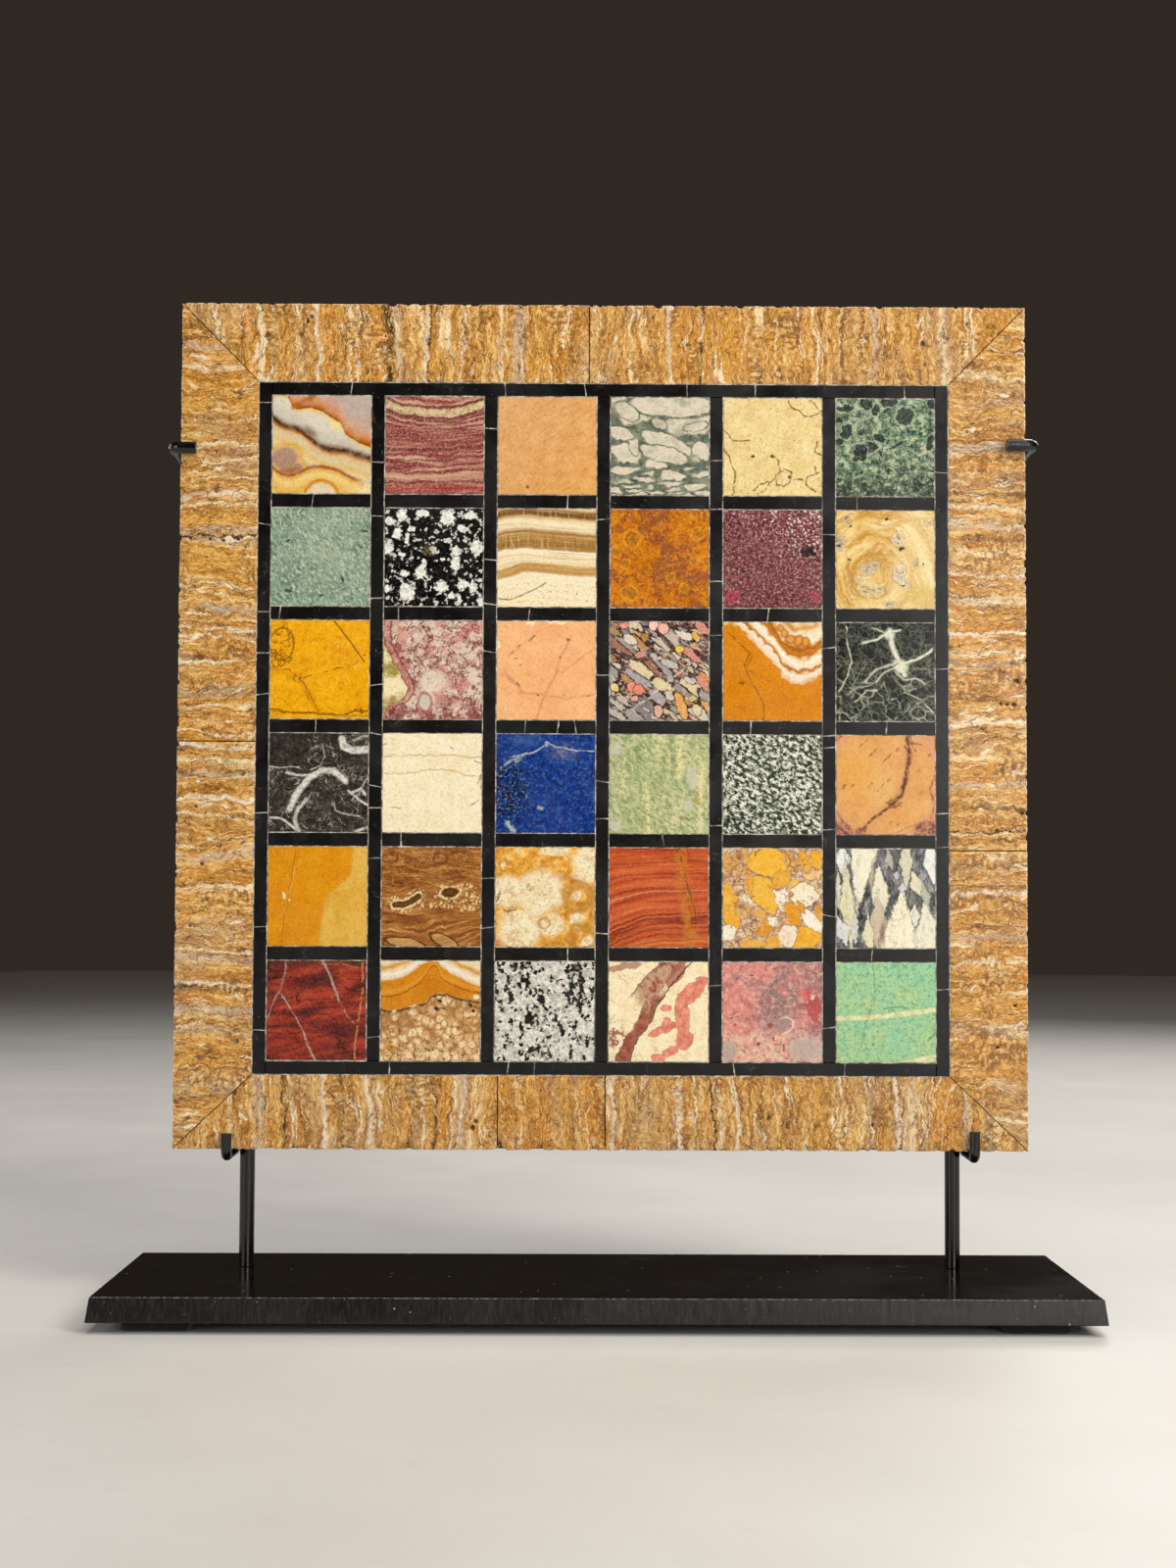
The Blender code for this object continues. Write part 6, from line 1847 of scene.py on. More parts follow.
def felt_material():
    material, tree = new_tree("black_felt")
    metres = place_in_metres(tree)
    hairs = noise(warp(metres, 500, 0.002), 1800, 4, 0.7, 1)
    colour = ramp(hairs, (0.35, "080808"), (0.55, "141413"), (0.75, "2a2927"))
    finish_surface(tree, colour, hairs * 0.1 + 0.88, hairs, 0.4 * MM, Sheen_Weight=0.3, Sheen_Roughness=0.5)
    return material


def floor_material():
    material, tree = new_tree("pale_floor")
    metres = place_in_metres(tree)
    colour = ramp(noise(metres, 3, 4, 0.6), (0.35, "dddbd6"), (0.65, "e5e3de"))
    colour = mix(spread(noise(metres, 60, 3, 0.6, 4), 0.55, 0.75) * 0.1, colour, "c4c1bb")
    gloss = spread(noise(metres, 8, 4, 0.6, 2), 0.35, 0.65, 0.1) + 0.5
    finish_surface(tree, colour, gloss, noise(metres, 120, 3, 0.6), 0.05 * MM)
    return material


# ---------------------------------------------------------------- meshes


def on_face(a, b, depth):
    """Places a point on the tablet's face: a along X, b up Z, and depth behind the face."""
    return Vector((a, FACE + depth, b))


def on_top(a, b, depth):
    """Places a point on the base: a along X, b along Y, and depth under its top."""
    return Vector((a, b, BASE_TOP - depth))


def add_piece(name, shape, material, slot, *nodes, smooth=30):
    """Makes an object of a bmesh: a piece of the tablet that stands for the CAD nodes named."""
    mesh = bpy.data.meshes.new(name)
    bmesh.ops.recalc_face_normals(shape, faces=shape.faces)
    shape.to_mesh(mesh)
    shape.free()
    mesh.materials.append(material)
    mesh.shade_smooth()
    mesh.set_sharp_from_angle(angle=math.radians(smooth))
    piece = bpy.data.objects.new(name, mesh)
    bpy.context.scene.collection.objects.link(piece)
    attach(piece, "root")
    if nodes:
        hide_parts(*nodes)
    return piece


def add_bake_layout(piece, across, up, into, facing, strip=0.02):
    """A UV map for baking: the face over most of it, and the back and the four sides in strips below.

    The axes are as the face is seen, and facing is its way along the axis into the picture. The
    argument strip is how high each strip is, and all but a small gap of it is filled.
    """
    strips, filled = 5, 0.9
    mesh = piece.data
    places = [vertex.co.copy() for vertex in mesh.vertices]
    low = [min(co[axis] for co in places) for axis in range(3)]
    size = [max(max(co[axis] for co in places) - low[axis], 1e-6) for axis in range(3)]
    layer = mesh.uv_layers.new(name="OFBake")
    for face in mesh.polygons:
        normal = face.normal
        main = max((across, up, into), key=lambda axis: abs(normal[axis]))
        for index in face.loop_indices:
            co = places[mesh.loops[index].vertex_index]
            share = [(co[axis] - low[axis]) / size[axis] for axis in range(3)]
            if main == into and normal[into] * facing > 0:
                place = (share[across], strips * strip + (1 - strips * strip) * share[up])
            elif main == into:
                place = (share[across], strip * filled * share[up])
            else:
                row = 1 + 2 * (main == up) + (normal[main] > 0)
                run = share[up] if main == across else share[across]
                place = (run, strip * (row + filled * share[into]))
            layer.data[index].uv = place


def side_steps(start, end, step):
    """Evenly spaced points from start up to, but not including, end."""
    count = max(2, round((end - start).length / step))
    return [start.lerp(end, index / count) for index in range(count)]


def worn_outline(corners, step, wobble, seed):
    """Points round a polygon that runs anticlockwise, each moved a little inward, and the way inward."""
    points, ways = [], []
    for index, corner in enumerate(corners):
        start, end = Vector(corner), Vector(corners[(index + 1) % len(corners)])
        before = Vector(corners[index - 1])
        inward = Vector((-(end - start).y, (end - start).x)).normalized()
        inward_before = Vector((-(start - before).y, (start - before).x)).normalized()
        for place, point in enumerate(side_steps(start, end, step)):
            way = inward if place else (inward + inward_before)
            drift = field.noise(Vector((point.x * 180, point.y * 180, seed))) * 0.5 + 0.5
            points.append(point + way * (wobble * drift))
            ways.append(way)
    return points, ways


def chip_sizes(points, arris, rng, chance, least_size, most_size):
    """The arris width at each point: the plain one, with chips where the edge broke away."""
    sizes = [arris * rng.uniform(0.7, 1.3) for _ in points]
    for index in range(len(points)):
        if rng.random() < chance:
            size = rng.uniform(least_size, most_size)
            sizes[index] = max(sizes[index], size)
            for step in (-1, 1):
                beside = (index + step) % len(points)
                sizes[beside] = max(sizes[beside], size * rng.uniform(0.2, 0.7))
    return sizes


def bridge(shape, *loops):
    """Joins each loop of vertices to the next with a band of faces."""
    for first, second in zip(loops, loops[1:]):
        for index in range(len(first)):
            after = (index + 1) % len(first)
            shape.faces.new((first[index], first[after], second[after], second[index]))


def middle_of(node):
    """The middle of a node, seen from the front: (x, z)."""
    low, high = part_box(node)
    return (low.x + high.x) / 2, (low.z + high.z) / 2


def plate(shape, corners, place, thickness, seed, step=1.5 * MM, wobble=0.1 * MM, arris=0.12 * MM, flare=0.0,
          chance=0.04, chips=(0.2 * MM, 0.5 * MM), back_arris=0.25 * MM):
    """A flat stone with a worn edge: its face, its arris, its sides and its back."""
    rng = random.Random(seed)
    points, ways = worn_outline(corners, step, wobble, seed)
    # Rings of points from the face to the back, moved inward or outward, and how deep each lies.
    front = chip_sizes(points, arris, rng, chance, *chips)
    rear = chip_sizes(points, back_arris, rng, chance, *chips)
    lists = (
        [(point + way * size, 0.0) for point, way, size in zip(points, ways, front)],
        [(point + way * size * 0.4, size * 0.45) for point, way, size in zip(points, ways, front)],
        [(point, size * 1.1) for point, way, size in zip(points, ways, front)],
        [(point - way * flare, thickness - size) for point, way, size in zip(points, ways, rear)],
        [(point - way * (flare - size), thickness) for point, way, size in zip(points, ways, rear)],
    )
    loops = [[shape.verts.new(place(point.x, point.y, depth)) for point, depth in loop] for loop in lists]
    bridge(shape, *loops)
    shape.faces.new(loops[0])
    shape.faces.new(reversed(loops[-1]))


def rectangle(low_a, low_b, high_a, high_b):
    """The corners of a rectangle, anticlockwise."""
    return [(low_a, low_b), (high_a, low_b), (high_a, high_b), (low_a, high_b)]


# ---------------------------------------------------------------- the inlaid face


def add_tile(node, stone, material, index):
    """One inlaid stone: a plate with a worn edge, in place of its CAD tile."""
    low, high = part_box(node)
    shape = bmesh.new()
    plate(
        shape, rectangle(low.x, low.z, high.x, high.z), on_face, high.y - low.y, 10 + index,
        wobble=0.16 * MM,
    )
    tile = add_piece(node.replace("tile_", "stone_"), shape, material, stone, node)
    add_bake_layout(tile, *FROM_FRONT)


def add_tiles():
    """All the inlaid stones, each made of the recipe that its node is named for."""
    recipes = {recipe.__name__: recipe for recipe in RECIPES}
    nodes = sorted(node for node in frame["nodes"] if node.startswith("tile_"))
    for index, node in enumerate(nodes):
        stone = node.split("_", 2)[2]
        low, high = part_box(node)
        add_tile(node, stone, stone_material(stone, recipes[stone], low, high), index)
    return nodes


# Joints in the black fillets, in millimetres from the middle of the grid, from the left and the top.
UPRIGHT_JOINTS = (
    (149.5, 93, 52.5, 33.5, 14.5, -40, -92, -139), (122, 97, 59, 19, -3.5, -27.5, -37.5, -60.5, -142),
    (138, 77, 56.5, 34.5, -69.5, -92), (96, 24, -25, -42, -94.5), (123.5, 101, 67.5, 42.5, -45, -118),
    (89.5, 37, -3.5, -9, -46.5, -86, -137), (118.5, 27.5, -39, -54.5, -119.5),
)
LEVEL_JOINTS = (
    (-116.5, -45.5, -8.5, 38.5, 70, 139), (-134, -16.5, 117), (-148.5, -94, -34, 76),
    (-131.5, -35.5, -20.5, -12.5, 68, 130.5), (-92, 28), (-15.5, 123.5), (-96.5, -42.5, -30.5, 60.5, 111),
)


def strip_corners(along, low, high, first, last, lean, last_lean):
    """A length of strip from first to last, with each end cut at its own slant."""
    if along == 0:
        return [
            (first - lean, low[1]), (last - last_lean, low[1]), (last + last_lean, high[1]),
            (first + lean, high[1]),
        ]
    return [
        (low[0], first - lean), (high[0], first + lean), (high[0], last + last_lean),
        (low[0], last - last_lean),
    ]


def add_strip(fillets, grout, along, low, high, joints, rng):
    """A strip of fillet from low to high, cut at its joints; low and high are (x, z)."""
    least_length = 1.5 * MM
    cuts = sorted(joint for joint in joints if low[along] + least_length < joint < high[along] - least_length)
    slants = [rng.choice((0.0, 0.1, -0.15, 0.2, -0.5, 0.4)) * MM for _ in cuts]
    ends = [(low[along], 0.0)] + list(zip(cuts, slants)) + [(high[along], 0.0)]
    for (start, lean), (stop, stop_lean) in zip(ends, ends[1:]):
        gaps = [rng.uniform(0.03, 0.09) * MM for _ in range(2)]
        corners = strip_corners(along, low, high, start + gaps[0], stop - gaps[1], lean, stop_lean)
        plate(
            fillets, corners, on_face, FILLET_DEPTH, rng.randrange(1000), step=1.2 * MM, wobble=0.3 * MM,
            arris=0.08 * MM, chance=0.06, chips=(0.15 * MM, 0.4 * MM),
        )
    side = 1 - along
    for cut, lean in ends[1:-1]:
        reach = abs(lean) + 0.5 * MM
        plug_low, plug_high = [0.0, 0.0], [0.0, 0.0]
        plug_low[along], plug_high[along] = cut - reach, cut + reach
        plug_low[side], plug_high[side] = low[side] + 0.1 * MM, high[side] - 0.1 * MM
        add_grout_plug(grout, plug_low, plug_high)


def add_grout_plug(shape, low, high):
    """Grout in a butt joint, just under the face."""
    corners = rectangle(*low, *high)
    loops = [
        [shape.verts.new(on_face(a, b, depth)) for a, b in corners] for depth in (0.07 * MM, GROUT_DEPTH)
    ]
    bridge(shape, *loops)
    shape.faces.new(loops[0])
    shape.faces.new(reversed(loops[1]))


def add_grout_ring(shape, inner, outer, step, seed):
    """A ring of grout between two rectangles, its face a little under the stone and uneven."""
    sink = 0.1 * MM
    sides = list(zip(inner, inner[1:] + inner[:1]))
    counts = [
        max(2, round(max(abs(end[0] - start[0]), abs(end[1] - start[1])) / step)) for start, end in sides
    ]
    loops = []
    for corners, depth in ((inner, GROUT_DEPTH), (inner, sink), (outer, sink), (outer, GROUT_DEPTH)):
        loop = []
        for start, end, count in zip(corners, corners[1:] + corners[:1], counts):
            for index in range(count):
                point = Vector(start).lerp(Vector(end), index / count)
                rough = field.noise(Vector((point.x * 900, point.y * 900, seed))) * 0.05 * MM
                loop.append(
                    shape.verts.new(on_face(point.x, point.y, depth + (rough if depth == sink else 0.0)))
                )
        loops.append(loop)
    bridge(shape, *loops, loops[0])


def add_tile_grout(grout, tiles, joint):
    """Grout lines round every tile and round the whole grid; joint is how wide a line is."""
    for index, node in enumerate(tiles):
        add_grout_ring(grout, *grout_edges(node, joint + GROUT_LAP), 1.2 * MM, index)
    add_grout_ring(grout, *grout_edges("black_fillet_grid", joint), 2.0 * MM, 90)


def grout_edges(node, reach):
    """The rectangle just inside a node's edge, and the one at its reach outside."""
    low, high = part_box(node)
    inner = rectangle(low.x + GROUT_LAP, low.z + GROUT_LAP, high.x - GROUT_LAP, high.z - GROUT_LAP)
    return inner, rectangle(low.x - reach, low.z - reach, high.x + reach, high.z + reach)


def tile_rows(tiles, axis):
    """Where the tiles start and end along an axis, one pair for each column or row."""
    boxes = [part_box(node) for node in tiles]
    return sorted({(round(low[axis], 5), round(high[axis], 5)) for low, high in boxes})


def add_fillets_and_grout(tiles):
    """The black strips with their joints, and the grout lines round every stone."""
    low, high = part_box("black_fillet_grid")
    middle = middle_of("black_fillet_grid")
    columns, rows = tile_rows(tiles, X), tile_rows(tiles, Z)
    joint = columns[0][0] - low.x - FILLET_WIDTH
    rng = random.Random(7)
    fillets, grout = bmesh.new(), bmesh.new()
    xs = [low.x] + [right + joint for _, right in columns]
    for index, x in enumerate(xs):
        outermost = index in (0, len(xs) - 1)
        bottom = low.z if outermost else low.z + FILLET_WIDTH
        top = high.z if outermost else high.z - FILLET_WIDTH
        joints = [middle[1] + value * MM for value in UPRIGHT_JOINTS[index]]
        add_strip(fillets, grout, 1, (x, bottom), (x + FILLET_WIDTH, top), joints, rng)
    zs = [high.z - FILLET_WIDTH] + [bottom - joint - FILLET_WIDTH for bottom, _ in reversed(rows)]
    for index, z in enumerate(zs):
        joints = [middle[0] + value * MM for value in LEVEL_JOINTS[index]]
        top = z + FILLET_WIDTH
        if index in (0, len(zs) - 1):
            add_strip(fillets, grout, 0, (low.x + FILLET_WIDTH, z), (high.x - FILLET_WIDTH, top), joints, rng)
            continue
        for left, right in zip(xs, xs[1:]):
            first = left + FILLET_WIDTH
            start, end = (first + GROUT_LAP, z - GROUT_LAP), (right - GROUT_LAP, top + GROUT_LAP)
            add_strip(fillets, grout, 0, start, end, joints, rng)
            for x in (first, right):
                add_grout_plug(
                    grout, (x - 2 * GROUT_LAP, z + GROUT_LAP), (x + 2 * GROUT_LAP, top - GROUT_LAP),
                )
    add_tile_grout(grout, tiles, joint)
    strips = add_piece(
        "black_marble_fillets", fillets, black_marble_material(), "black_marble", "black_fillet_grid",
    )
    add_bake_layout(strips, *FROM_FRONT, strip=0.01)
    add_piece("grout_lines", grout, grout_material(), "backing_stone")


# Pits in the border: millimetres along from the tablet's middle, in from the outer edge, radius.
PITS = {
    "top": (
        (-135.3, 6, 1.0), (-137, 8.5, 0.8), (-98, 11, 0.7), (-101, 15, 0.6), (45, 9, 0.5), (104, 5, 0.5),
        (147.5, 17, 1.2), (-60, 26, 0.6), (168, 8, 0.7),
    ),
    "bottom": (
        (-58.4, 10, 1.1), (-57, 13, 0.9), (50.4, 18, 0.6), (-144, 14, 0.5), (-75.3, 20, 0.5),
        (-118, 8, 0.5), (-46, 2.6, 1.0), (123.6, 12, 0.8),
    ),
    "left": (
        (-38.5, 9, 0.7), (-64.7, 12, 0.8), (-93, 7, 0.7), (85, 5, 0.8), (84, 20, 0.9), (84.5, 27, 0.8),
        (84.7, 14, 0.7), (96, 12, 0.5), (72, 15, 0.5), (-120, 10, 0.5),
    ),
    "right": (
        (21, 4.5, 1.1), (10, 6, 1.0), (10.5, 12, 0.8), (10, 9, 0.8), (-40, 2.5, 1.1), (-48.4, 8, 0.7),
        (-48, 14, 0.7), (-128, 6, 0.8), (-147, 14, 0.8),
    ),
}
# Notches through its outer edge, and shallow shells off it: millimetres along from the middle, radius.
NOTCHES = {
    "top": (
        (-98, 1.8), (-75.6, 1.0), (-59, 1.1), (-37, 0.9), (25, 2.0), (63, 1.5), (80.5, 1.2), (127.6, 1.4),
    ),
    "bottom": (
        (-46, 2.2), (20, 1.2), (85, 1.5), (102, 1.3), (136, 1.6), (160, 1.4), (-100, 1.0), (-150, 1.1),
    ),
    "left": ((85, 1.5), (128, 0.9), (61, 1.2), (42, 1.1), (-10, 1.3), (-70, 1.0), (-121, 1.2)),
    "right": ((76, 1.2), (70, 0.9), (21, 1.0), (-40, 1.2), (-95, 0.9), (150, 0.9)),
}
SHELLS = {
    "top": ((-120, 1.8), (112, 2.0)),
    "bottom": ((39.7, 4.4), (49, 1.6), (54.6, 2.4), (66.7, 2.6), (78, 1.8), (-20, 1.6), (118, 2.6)),
    "left": ((20, 1.8), (-140, 2.0)),
    "right": ((100, 1.8), (-10, 1.8), (-120, 2.2)),
}
BORDER_GRID = 0.6 * MM
# Each side of the border: the place in (x, z) of the axis that it runs along, and its way outward.
SIDES = {"top": (0, 1), "bottom": (0, -1), "left": (1, -1), "right": (1, 1)}


def front_corners(node):
    """The corners of a node's front face, as (x, z)."""
    low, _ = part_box(node)
    found = {(v.co.x, v.co.z) for v in bpy.data.objects[node].data.vertices if v.co.y < low.y + 0.1 * MM}
    return sorted(found)


def stations(size, step, near, far):
    """Places along a side: close together at its two ends, and evenly spaced between."""
    count = max(4, round(size / step))
    inner = [near + (size - near - far) * index / count for index in range(count + 1)]
    return [0.0] + inner + [size]


def make_nicks(low, high, rng, biggest):
    """Places and sizes of the small chips along an outer edge, as (along, radius)."""
    count = round((high - low) / (4.2 * MM))
    return [(rng.uniform(low, high), 0.25 * MM + rng.random() ** 3 * biggest) for _ in range(count)]


def pit_depth(where, from_edge, pits, seed):
    """How deep the pits reach at a place on the border's face; each is a quarter longer across it."""
    deepest = 0.0
    for pit_at, pit_in, radius in pits:
        off = math.hypot(where - pit_at, (from_edge - pit_in) * 0.8) / radius
        if off < 1.6:
            ragged = 1.3 + 0.5 * field.noise(Vector((where * 1500, from_edge * 1500, seed)))
            deepest = max(deepest, (1 - (off / ragged) ** 2) * min(1.4 * radius, 1.0 * MM))
    return deepest


def wear(where, seed, nicks):
    """How far the outer edge has worn back at this place along it."""
    slow = field.noise(Vector((where * 90, seed, 0.5)))
    quick = field.noise(Vector((where * 620, seed, 3.5)))
    bite = 0.0
    for middle, radius in nicks:
        off = abs(where - middle) / radius
        if off < 1.0:
            bite = max(bite, 0.55 * radius * math.sqrt(1.0 - off * off))
    return MM * (0.16 + 0.13 * slow + 0.1 * quick) + bite


def side_marks(table, side, middle):
    """A side's marks in metres: where each lies along it, and the mark's other measures."""
    along = middle[SIDES[side][0]]
    return [(along + where * MM, *(measure * MM for measure in rest)) for where, *rest in table[side]]


def border_corners(node, along, outward):
    """A border stone's two inner corners and its two outer corners, start first."""
    corners = sorted(front_corners(node), key=lambda co: (co[along], co[1 - along] * outward))
    ends = (corners[:2], corners[2:])
    inner = [min(pair, key=lambda co: co[1 - along] * outward) for pair in ends]
    outer = [max(pair, key=lambda co: co[1 - along] * outward) for pair in ends]
    return inner, outer


def border_depth(where, across, from_edge, back, pits, shells, seed):
    """How deep a border stone's surface lies at a place on its face."""
    depth = 0.02 * MM * field.noise(Vector((where * 260, across * 260, seed)))
    depth += pit_depth(where, from_edge, pits, seed)
    for shell_at, radius in shells:
        off = math.hypot(where - shell_at, from_edge) / radius
        depth += 0.3 * MM * math.sqrt(max(0.0, 1.0 - off * off))
    return depth + 0.5 * back * max(0.0, 1 - from_edge / (0.8 * MM + back))


def border_face(shape, side, inner, outer, pits, nicks, shells, seed):
    """The face of a border stone as a fine grid: its rows of vertices, and how far each was pulled inward."""
    along, outward = SIDES[side]
    arris, end_arris = 0.1 * MM, 0.55 * MM
    width = abs(outer[0][1 - along] - inner[0][1 - along])
    reach = max(abs(outer[1][along] - outer[0][along]), abs(inner[1][along] - inner[0][along]))
    rows, pulled = [], {}
    for s in stations(reach, BORDER_GRID, 0.22 * MM, 0.22 * MM):
        row = []
        for t in stations(width, BORDER_GRID, 0.12 * MM, 0.22 * MM):
            start, end = (inner[i][along] + (outer[i][along] - inner[i][along]) * (t / width) for i in (0, 1))
            where = start + (end - start) * (s / reach)
            from_edge = width - t
            back = wear(where, seed, nicks)
            depth = border_depth(where, t, from_edge, back, pits, shells, seed)
            if t in (0.0, width):
                depth += arris
            if s in (0.0, reach):
                depth += end_arris
            pull = back * max(0.0, 1 - from_edge / (2.8 * MM)) ** 1.5
            level = inner[0][1 - along] + outward * (t - pull)
            place = (where, level) if along == 0 else (level, where)
            vertex = shape.verts.new(on_face(*place, max(depth, 0.0)))
            pulled[vertex] = (0.0, outward * pull) if along == 0 else (outward * pull, 0.0)
            row.append(vertex)
        rows.append(row)
    for row, after in zip(rows, rows[1:]):
        for index in range(len(row) - 1):
            shape.faces.new((row[index], row[index + 1], after[index + 1], after[index]))
    return rows, pulled


def border_sides(shape, rows, pulled, thickness):
    """The sides and the back of a border stone: the edge is less worn the farther back it is."""
    rim = rows[0][:-1] + [row[-1] for row in rows[:-1]] + rows[-1][:0:-1] + [row[0] for row in rows[:0:-1]]
    loops = [rim]
    for depth, healed in ((1.6 * MM, 0.0), (6.0 * MM, 0.45), (thickness, 0.8)):
        loop = []
        for vertex in rim:
            out_a, out_b = pulled[vertex]
            place = on_face(vertex.co.x + out_a * healed, vertex.co.z + out_b * healed, depth)
            loop.append(shape.verts.new(place))
        loops.append(loop)
    bridge(shape, *loops)
    shape.faces.new(loops[-1])


def add_border_piece(node, side, middle, material, seed):
    """One stone of the border: a fine grid over its face, with pits, and a chipped outer edge."""
    along, outward = SIDES[side]
    low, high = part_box(node)
    inner, outer = border_corners(node, along, outward)
    width = abs(outer[0][1 - along] - inner[0][1 - along])
    start, end = low[2 * along], high[2 * along]
    rng = random.Random(seed)
    pits = side_marks(PITS, side, middle)
    for _ in range(22):
        pits.append((rng.uniform(start, end), rng.uniform(0.03, 0.97) * width, rng.uniform(0.25, 0.55) * MM))
    nicks = make_nicks(start, end, rng, 1.5 * MM if side == "bottom" else 1.0 * MM)
    nicks += side_marks(NOTCHES, side, middle)
    shape = bmesh.new()
    rows, pulled = border_face(shape, side, inner, outer, pits, nicks, side_marks(SHELLS, side, middle), seed)
    border_sides(shape, rows, pulled, high.y - low.y)
    piece = add_piece(node + "_stone", shape, material, "border_alabaster", node, smooth=40)
    add_bake_layout(piece, *FROM_FRONT)


def add_border():
    """The pieces of the alabaster border, each with its own cut of the stone."""
    middle = middle_of("backing_slab")
    centre = (middle[0], FACE, middle[1])
    nodes = sorted(node for node in frame["nodes"] if node.startswith("border_"))
    for index, node in enumerate(nodes):
        side = node.split("_")[1]
        start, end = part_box(node)
        material = alabaster_material(node + "_alabaster", side, start, end, centre, 1.7 * index + 0.4)
        add_border_piece(node, side, middle, material, 20 + index)


def add_backing():
    """The rough slab that the inlay is set on, seen from behind."""
    low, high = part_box("backing_slab")
    shape = bmesh.new()
    plate(
        shape, rectangle(low.x, low.z, high.x, high.z), lambda a, b, depth: Vector((a, low.y + depth, b)),
        high.y - low.y, 5, step=2.2 * MM, wobble=0.5 * MM, arris=0.3 * MM, chance=0.12,
        chips=(0.5 * MM, 1.8 * MM), back_arris=0.5 * MM,
    )
    slab = add_piece("stone_backing", shape, backing_material(), "backing_stone", "backing_slab")
    add_bake_layout(slab, *FROM_BACK)


# ---------------------------------------------------------------- the stand


def add_base():
    """The stone base: a polished top and honed edges that flare a little towards the floor."""
    low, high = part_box("stand_base")
    bevel = 0.35 * MM
    rim = [v.co for v in bpy.data.objects["stand_base"].data.vertices if v.co.z > high.z - 0.01 * MM]
    right, back = max(co.x for co in rim) + bevel, max(co.y for co in rim) + bevel
    flare = high.x - right
    shape = bmesh.new()
    corners = rectangle(low.x + high.x - right, -back, right, back)
    plate(
        shape, corners, on_top, high.z - low.z, 31, step=1.2 * MM, wobble=0.0, arris=0.3 * MM, flare=flare,
        chance=0.05, chips=(0.4 * MM, 0.8 * MM), back_arris=bevel,
    )
    top = base_material("polished_black_stone", 0.09, 0.2, False, 0.17, high.z)
    edge = base_material("honed_black_stone", 0.3, 0.42, True, 0.45, high.z)
    base = add_piece("base_slab", shape, top, "polished_black_stone", "stand_base")
    base.data.materials.append(edge)
    for face in base.data.polygons:
        face.material_index = 0 if face.normal.z > 0.9 else 1
    add_bake_layout(base, *FROM_ABOVE, strip=0.04)


def add_pad(node, material, seed):
    """A felt foot: a rounded square block whose sides bulge a little and are fuzzy."""
    low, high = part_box(node)
    centre, half = (low + high) / 2, (high.x - low.x) / 2
    power = 14  # of the superellipse: the higher, the squarer
    shape = bmesh.new()
    loops = []
    for rise, inset in (
        (0.0, 1.0), (0.06, 0.45), (0.25, 0.1), (0.55, 0.0), (0.8, 0.12), (0.95, 0.45), (1.0, 0.9),
    ):
        loop = []
        for index in range(ROUND_POINTS):
            angle = math.tau * index / ROUND_POINTS
            ways = (math.cos(angle), math.sin(angle))
            squareness = (abs(ways[0]) ** power + abs(ways[1]) ** power) ** (-1 / power)
            fuzz = 0.12 * MM * field.noise(Vector((*ways, rise)) * 14 + Vector((seed, 0, 0)))
            radius = (half - inset * MM) * squareness - 0.12 * MM + fuzz
            point = (
                centre.x + ways[0] * radius, centre.y + ways[1] * radius, low.z + rise * (high.z - low.z),
            )
            loop.append(shape.verts.new(point))
        loops.append(loop)
    bridge(shape, *loops)
    shape.faces.new(loops[0])
    shape.faces.new(loops[-1])
    add_piece(node.replace("foot_pad", "felt_pad"), shape, material, "black_felt", node, smooth=60)


def add_stand():
    """The base, its felt feet, and the steel parts, which keep their CAD shapes."""
    add_base()
    felt = felt_material()
    for index, node in enumerate(sorted(node for node in frame["nodes"] if node.startswith("foot_pad"))):
        add_pad(node, felt, index * 3.1)
    steel = steel_material()
    for node in frame["nodes"]:
        if node.startswith(("upright_", "bottom_hook_", "side_arm_")):
            mesh = bpy.data.objects[node].data
            mesh.materials.clear()
            mesh.materials.append(steel)
            mesh.shade_smooth()
            mesh.set_sharp_from_angle(angle=math.radians(40))


# ---------------------------------------------------------------- floor, light and camera


def add_floor():
    """A plain pale floor, a wide disc just under the feet."""
    shape = bmesh.new()
    angles = [math.tau * index / ROUND_POINTS for index in range(ROUND_POINTS)]
    loops = [
        [shape.verts.new((radius * math.cos(angle), radius * math.sin(angle), 0.0)) for angle in angles]
        for radius in (0.4, 0.9, 1.8, 3.2, 5.0)
    ]
    bridge(shape, *loops)
    shape.faces.new(loops[0])
    bmesh.ops.recalc_face_normals(shape, faces=shape.faces)
    mesh = bpy.data.meshes.new("floor")
    shape.to_mesh(mesh)
    shape.free()
    mesh.materials.append(floor_material())
    floor = bpy.data.objects.new("floor", mesh)
    floor.location.z = CAD_BOX[0].z - 0.05 * MM
    bpy.context.scene.collection.objects.link(floor)


def add_light(name, place, target, size, energy, colour):
    """A soft round lamp of a size in metres and an energy in watts, turned towards a target."""
    light = bpy.data.lights.new(name, "AREA")
    light.shape = "DISK"
    light.size = size
    light.energy = energy
    light.color = colour
    lamp = bpy.data.objects.new(name, light)
    lamp.location = place
    lamp.rotation_euler = (Vector(target) - Vector(place)).to_track_quat("-Z", "Y").to_euler()
    lamp.visible_camera = False
    bpy.context.scene.collection.objects.link(lamp)


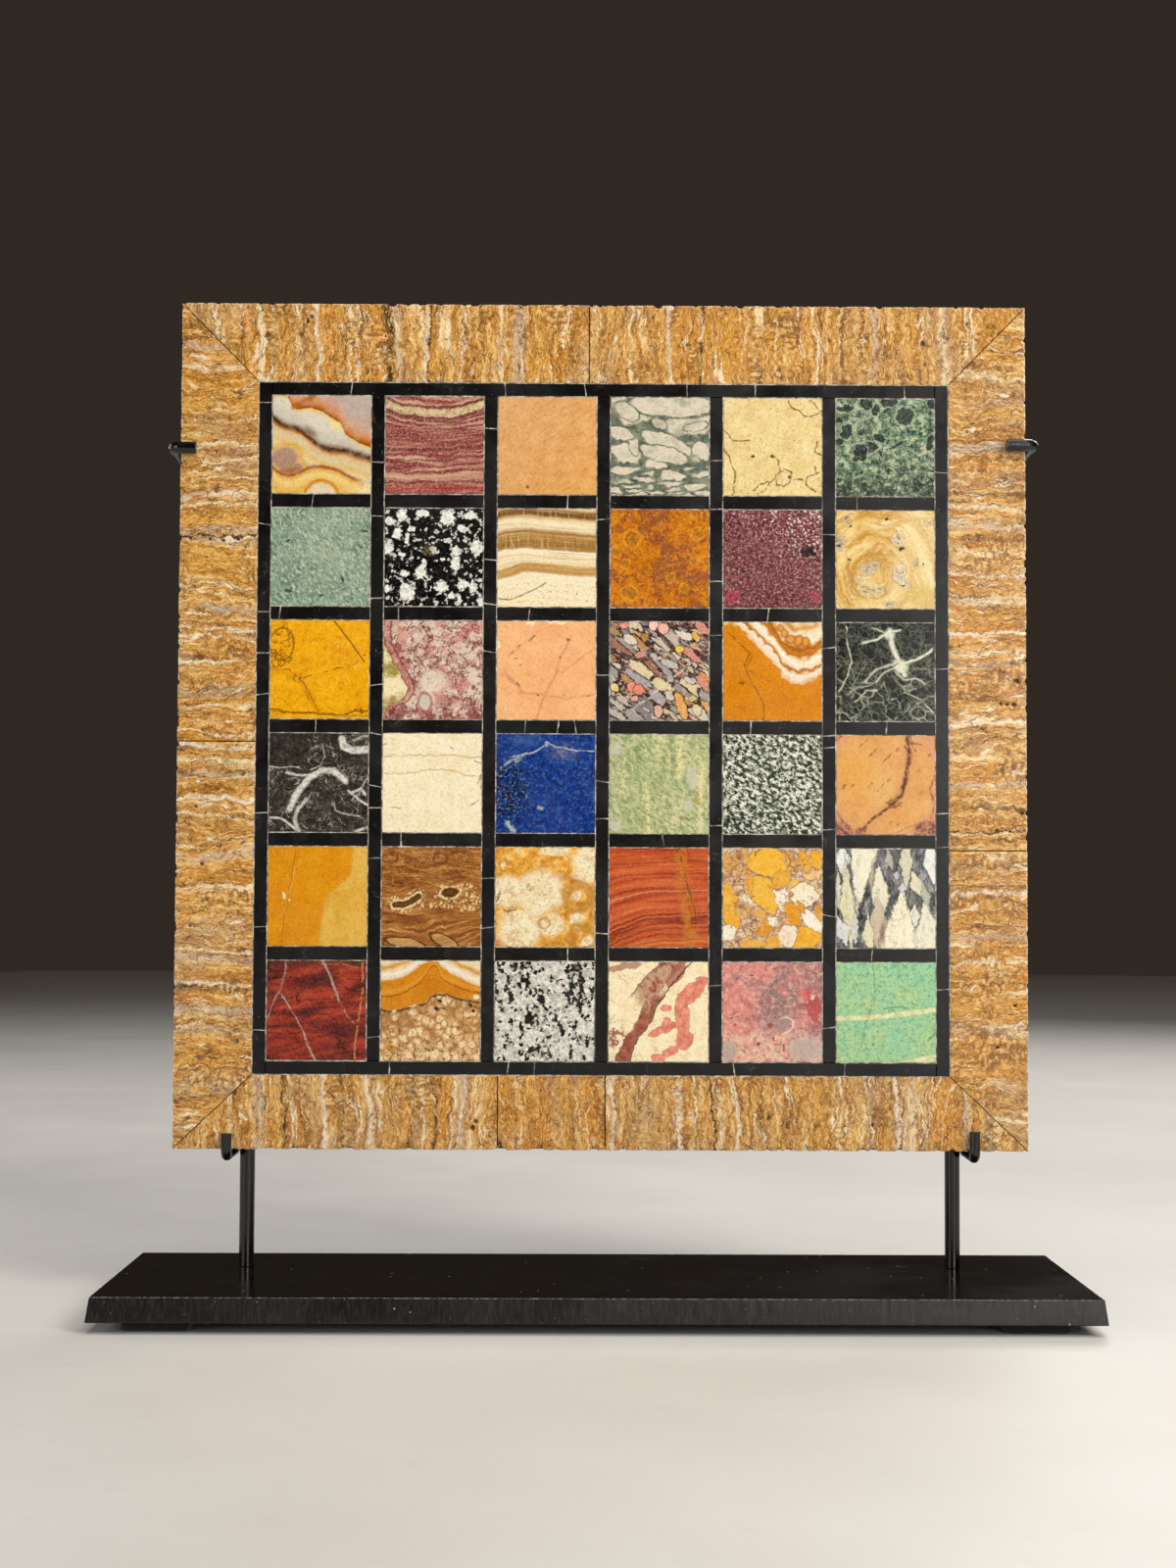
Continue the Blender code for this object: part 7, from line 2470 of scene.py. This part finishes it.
# Lamps: place, size in metres, energy in watts and colour. All but the top one point at the middle.
LAMPS = {
    "key": ((1.5, -1.7, 1.45), 1.0, 38, (1.0, 0.955, 0.9)),
    "glow": ((0.75, -1.75, 0.42), 0.5, 5.5, (1.0, 0.97, 0.93)),
    "fill": ((-1.75, -1.4, 0.5), 1.2, 11, (1.0, 0.98, 0.95)),
    "top": ((0.2, -0.5, 2.1), 1.6, 22, (1.0, 0.98, 0.95)),
    "back": ((0.8, 1.7, 1.4), 1.2, 18, (1.0, 0.98, 0.95)),
    "side": ((-1.8, 0.9, 0.9), 1.0, 7, (1.0, 1.0, 1.0)),
}


def add_lights():
    """The lamps, and a dim warm light from all round."""
    middle = (CAD_BOX[0] + CAD_BOX[1]) / 2
    for name, (place, size, energy, colour) in LAMPS.items():
        add_light(name, place, (0.0, -0.2, 0.0) if name == "top" else middle, size, energy, colour)
    world = bpy.data.worlds.new("studio")
    world.use_nodes = True
    background = world.node_tree.nodes["Background"]
    background.inputs["Color"].default_value = (0.030, 0.0225, 0.017, 1.0)
    background.inputs["Strength"].default_value = 1.0
    bpy.context.scene.world = world


def add_camera():
    """The photograph's viewpoint: just under the tablet's middle, a little more than a metre away."""
    place, lens = (-0.0123, -1.0805, 0.1862), 54.2
    turns = [
        Matrix.Rotation(math.radians(angle), 4, axis)
        for angle, axis in ((-0.41, "Z"), (92.78, "X"), (0.243, "Z"))
    ]
    data = bpy.data.cameras.new("camera")
    data.lens = lens
    data.clip_start = 0.05
    camera = bpy.data.objects.new("camera", data)
    camera.matrix_world = Matrix.Translation(place) @ (turns[0] @ turns[1]) @ turns[2]
    bpy.context.scene.collection.objects.link(camera)
    bpy.context.scene.camera = camera


RECIPES = (
    banded_agate, rose_wood_marble, apricot_marble, pebble_breccia, cream_palombino, verde_antico,
    grey_green_marble, black_white_granite, brown_alabaster, flame_marble, red_porphyry, ochre_lumachella,
    yellow_siena, pink_breccia, salmon_marble, mixed_breccia, orange_alabaster, veined_serpentine,
    black_white_marble, ivory_marble, lapis_lazuli, straw_marble, grey_granite, apricot_jasper,
    golden_marble, wood_alabaster, cloud_alabaster, red_wave_jasper, yellow_breccia, white_cipollino,
    red_jasper, tawny_breccia, white_granite, ivory_jasper, peach_grey_marble, mint_marble,
)
bpy.context.scene.view_settings.view_transform = "Standard"
add_camera()
add_lights()
add_floor()
tile_nodes = add_tiles()
add_fillets_and_grout(tile_nodes)
add_border()
add_backing()
add_stand()
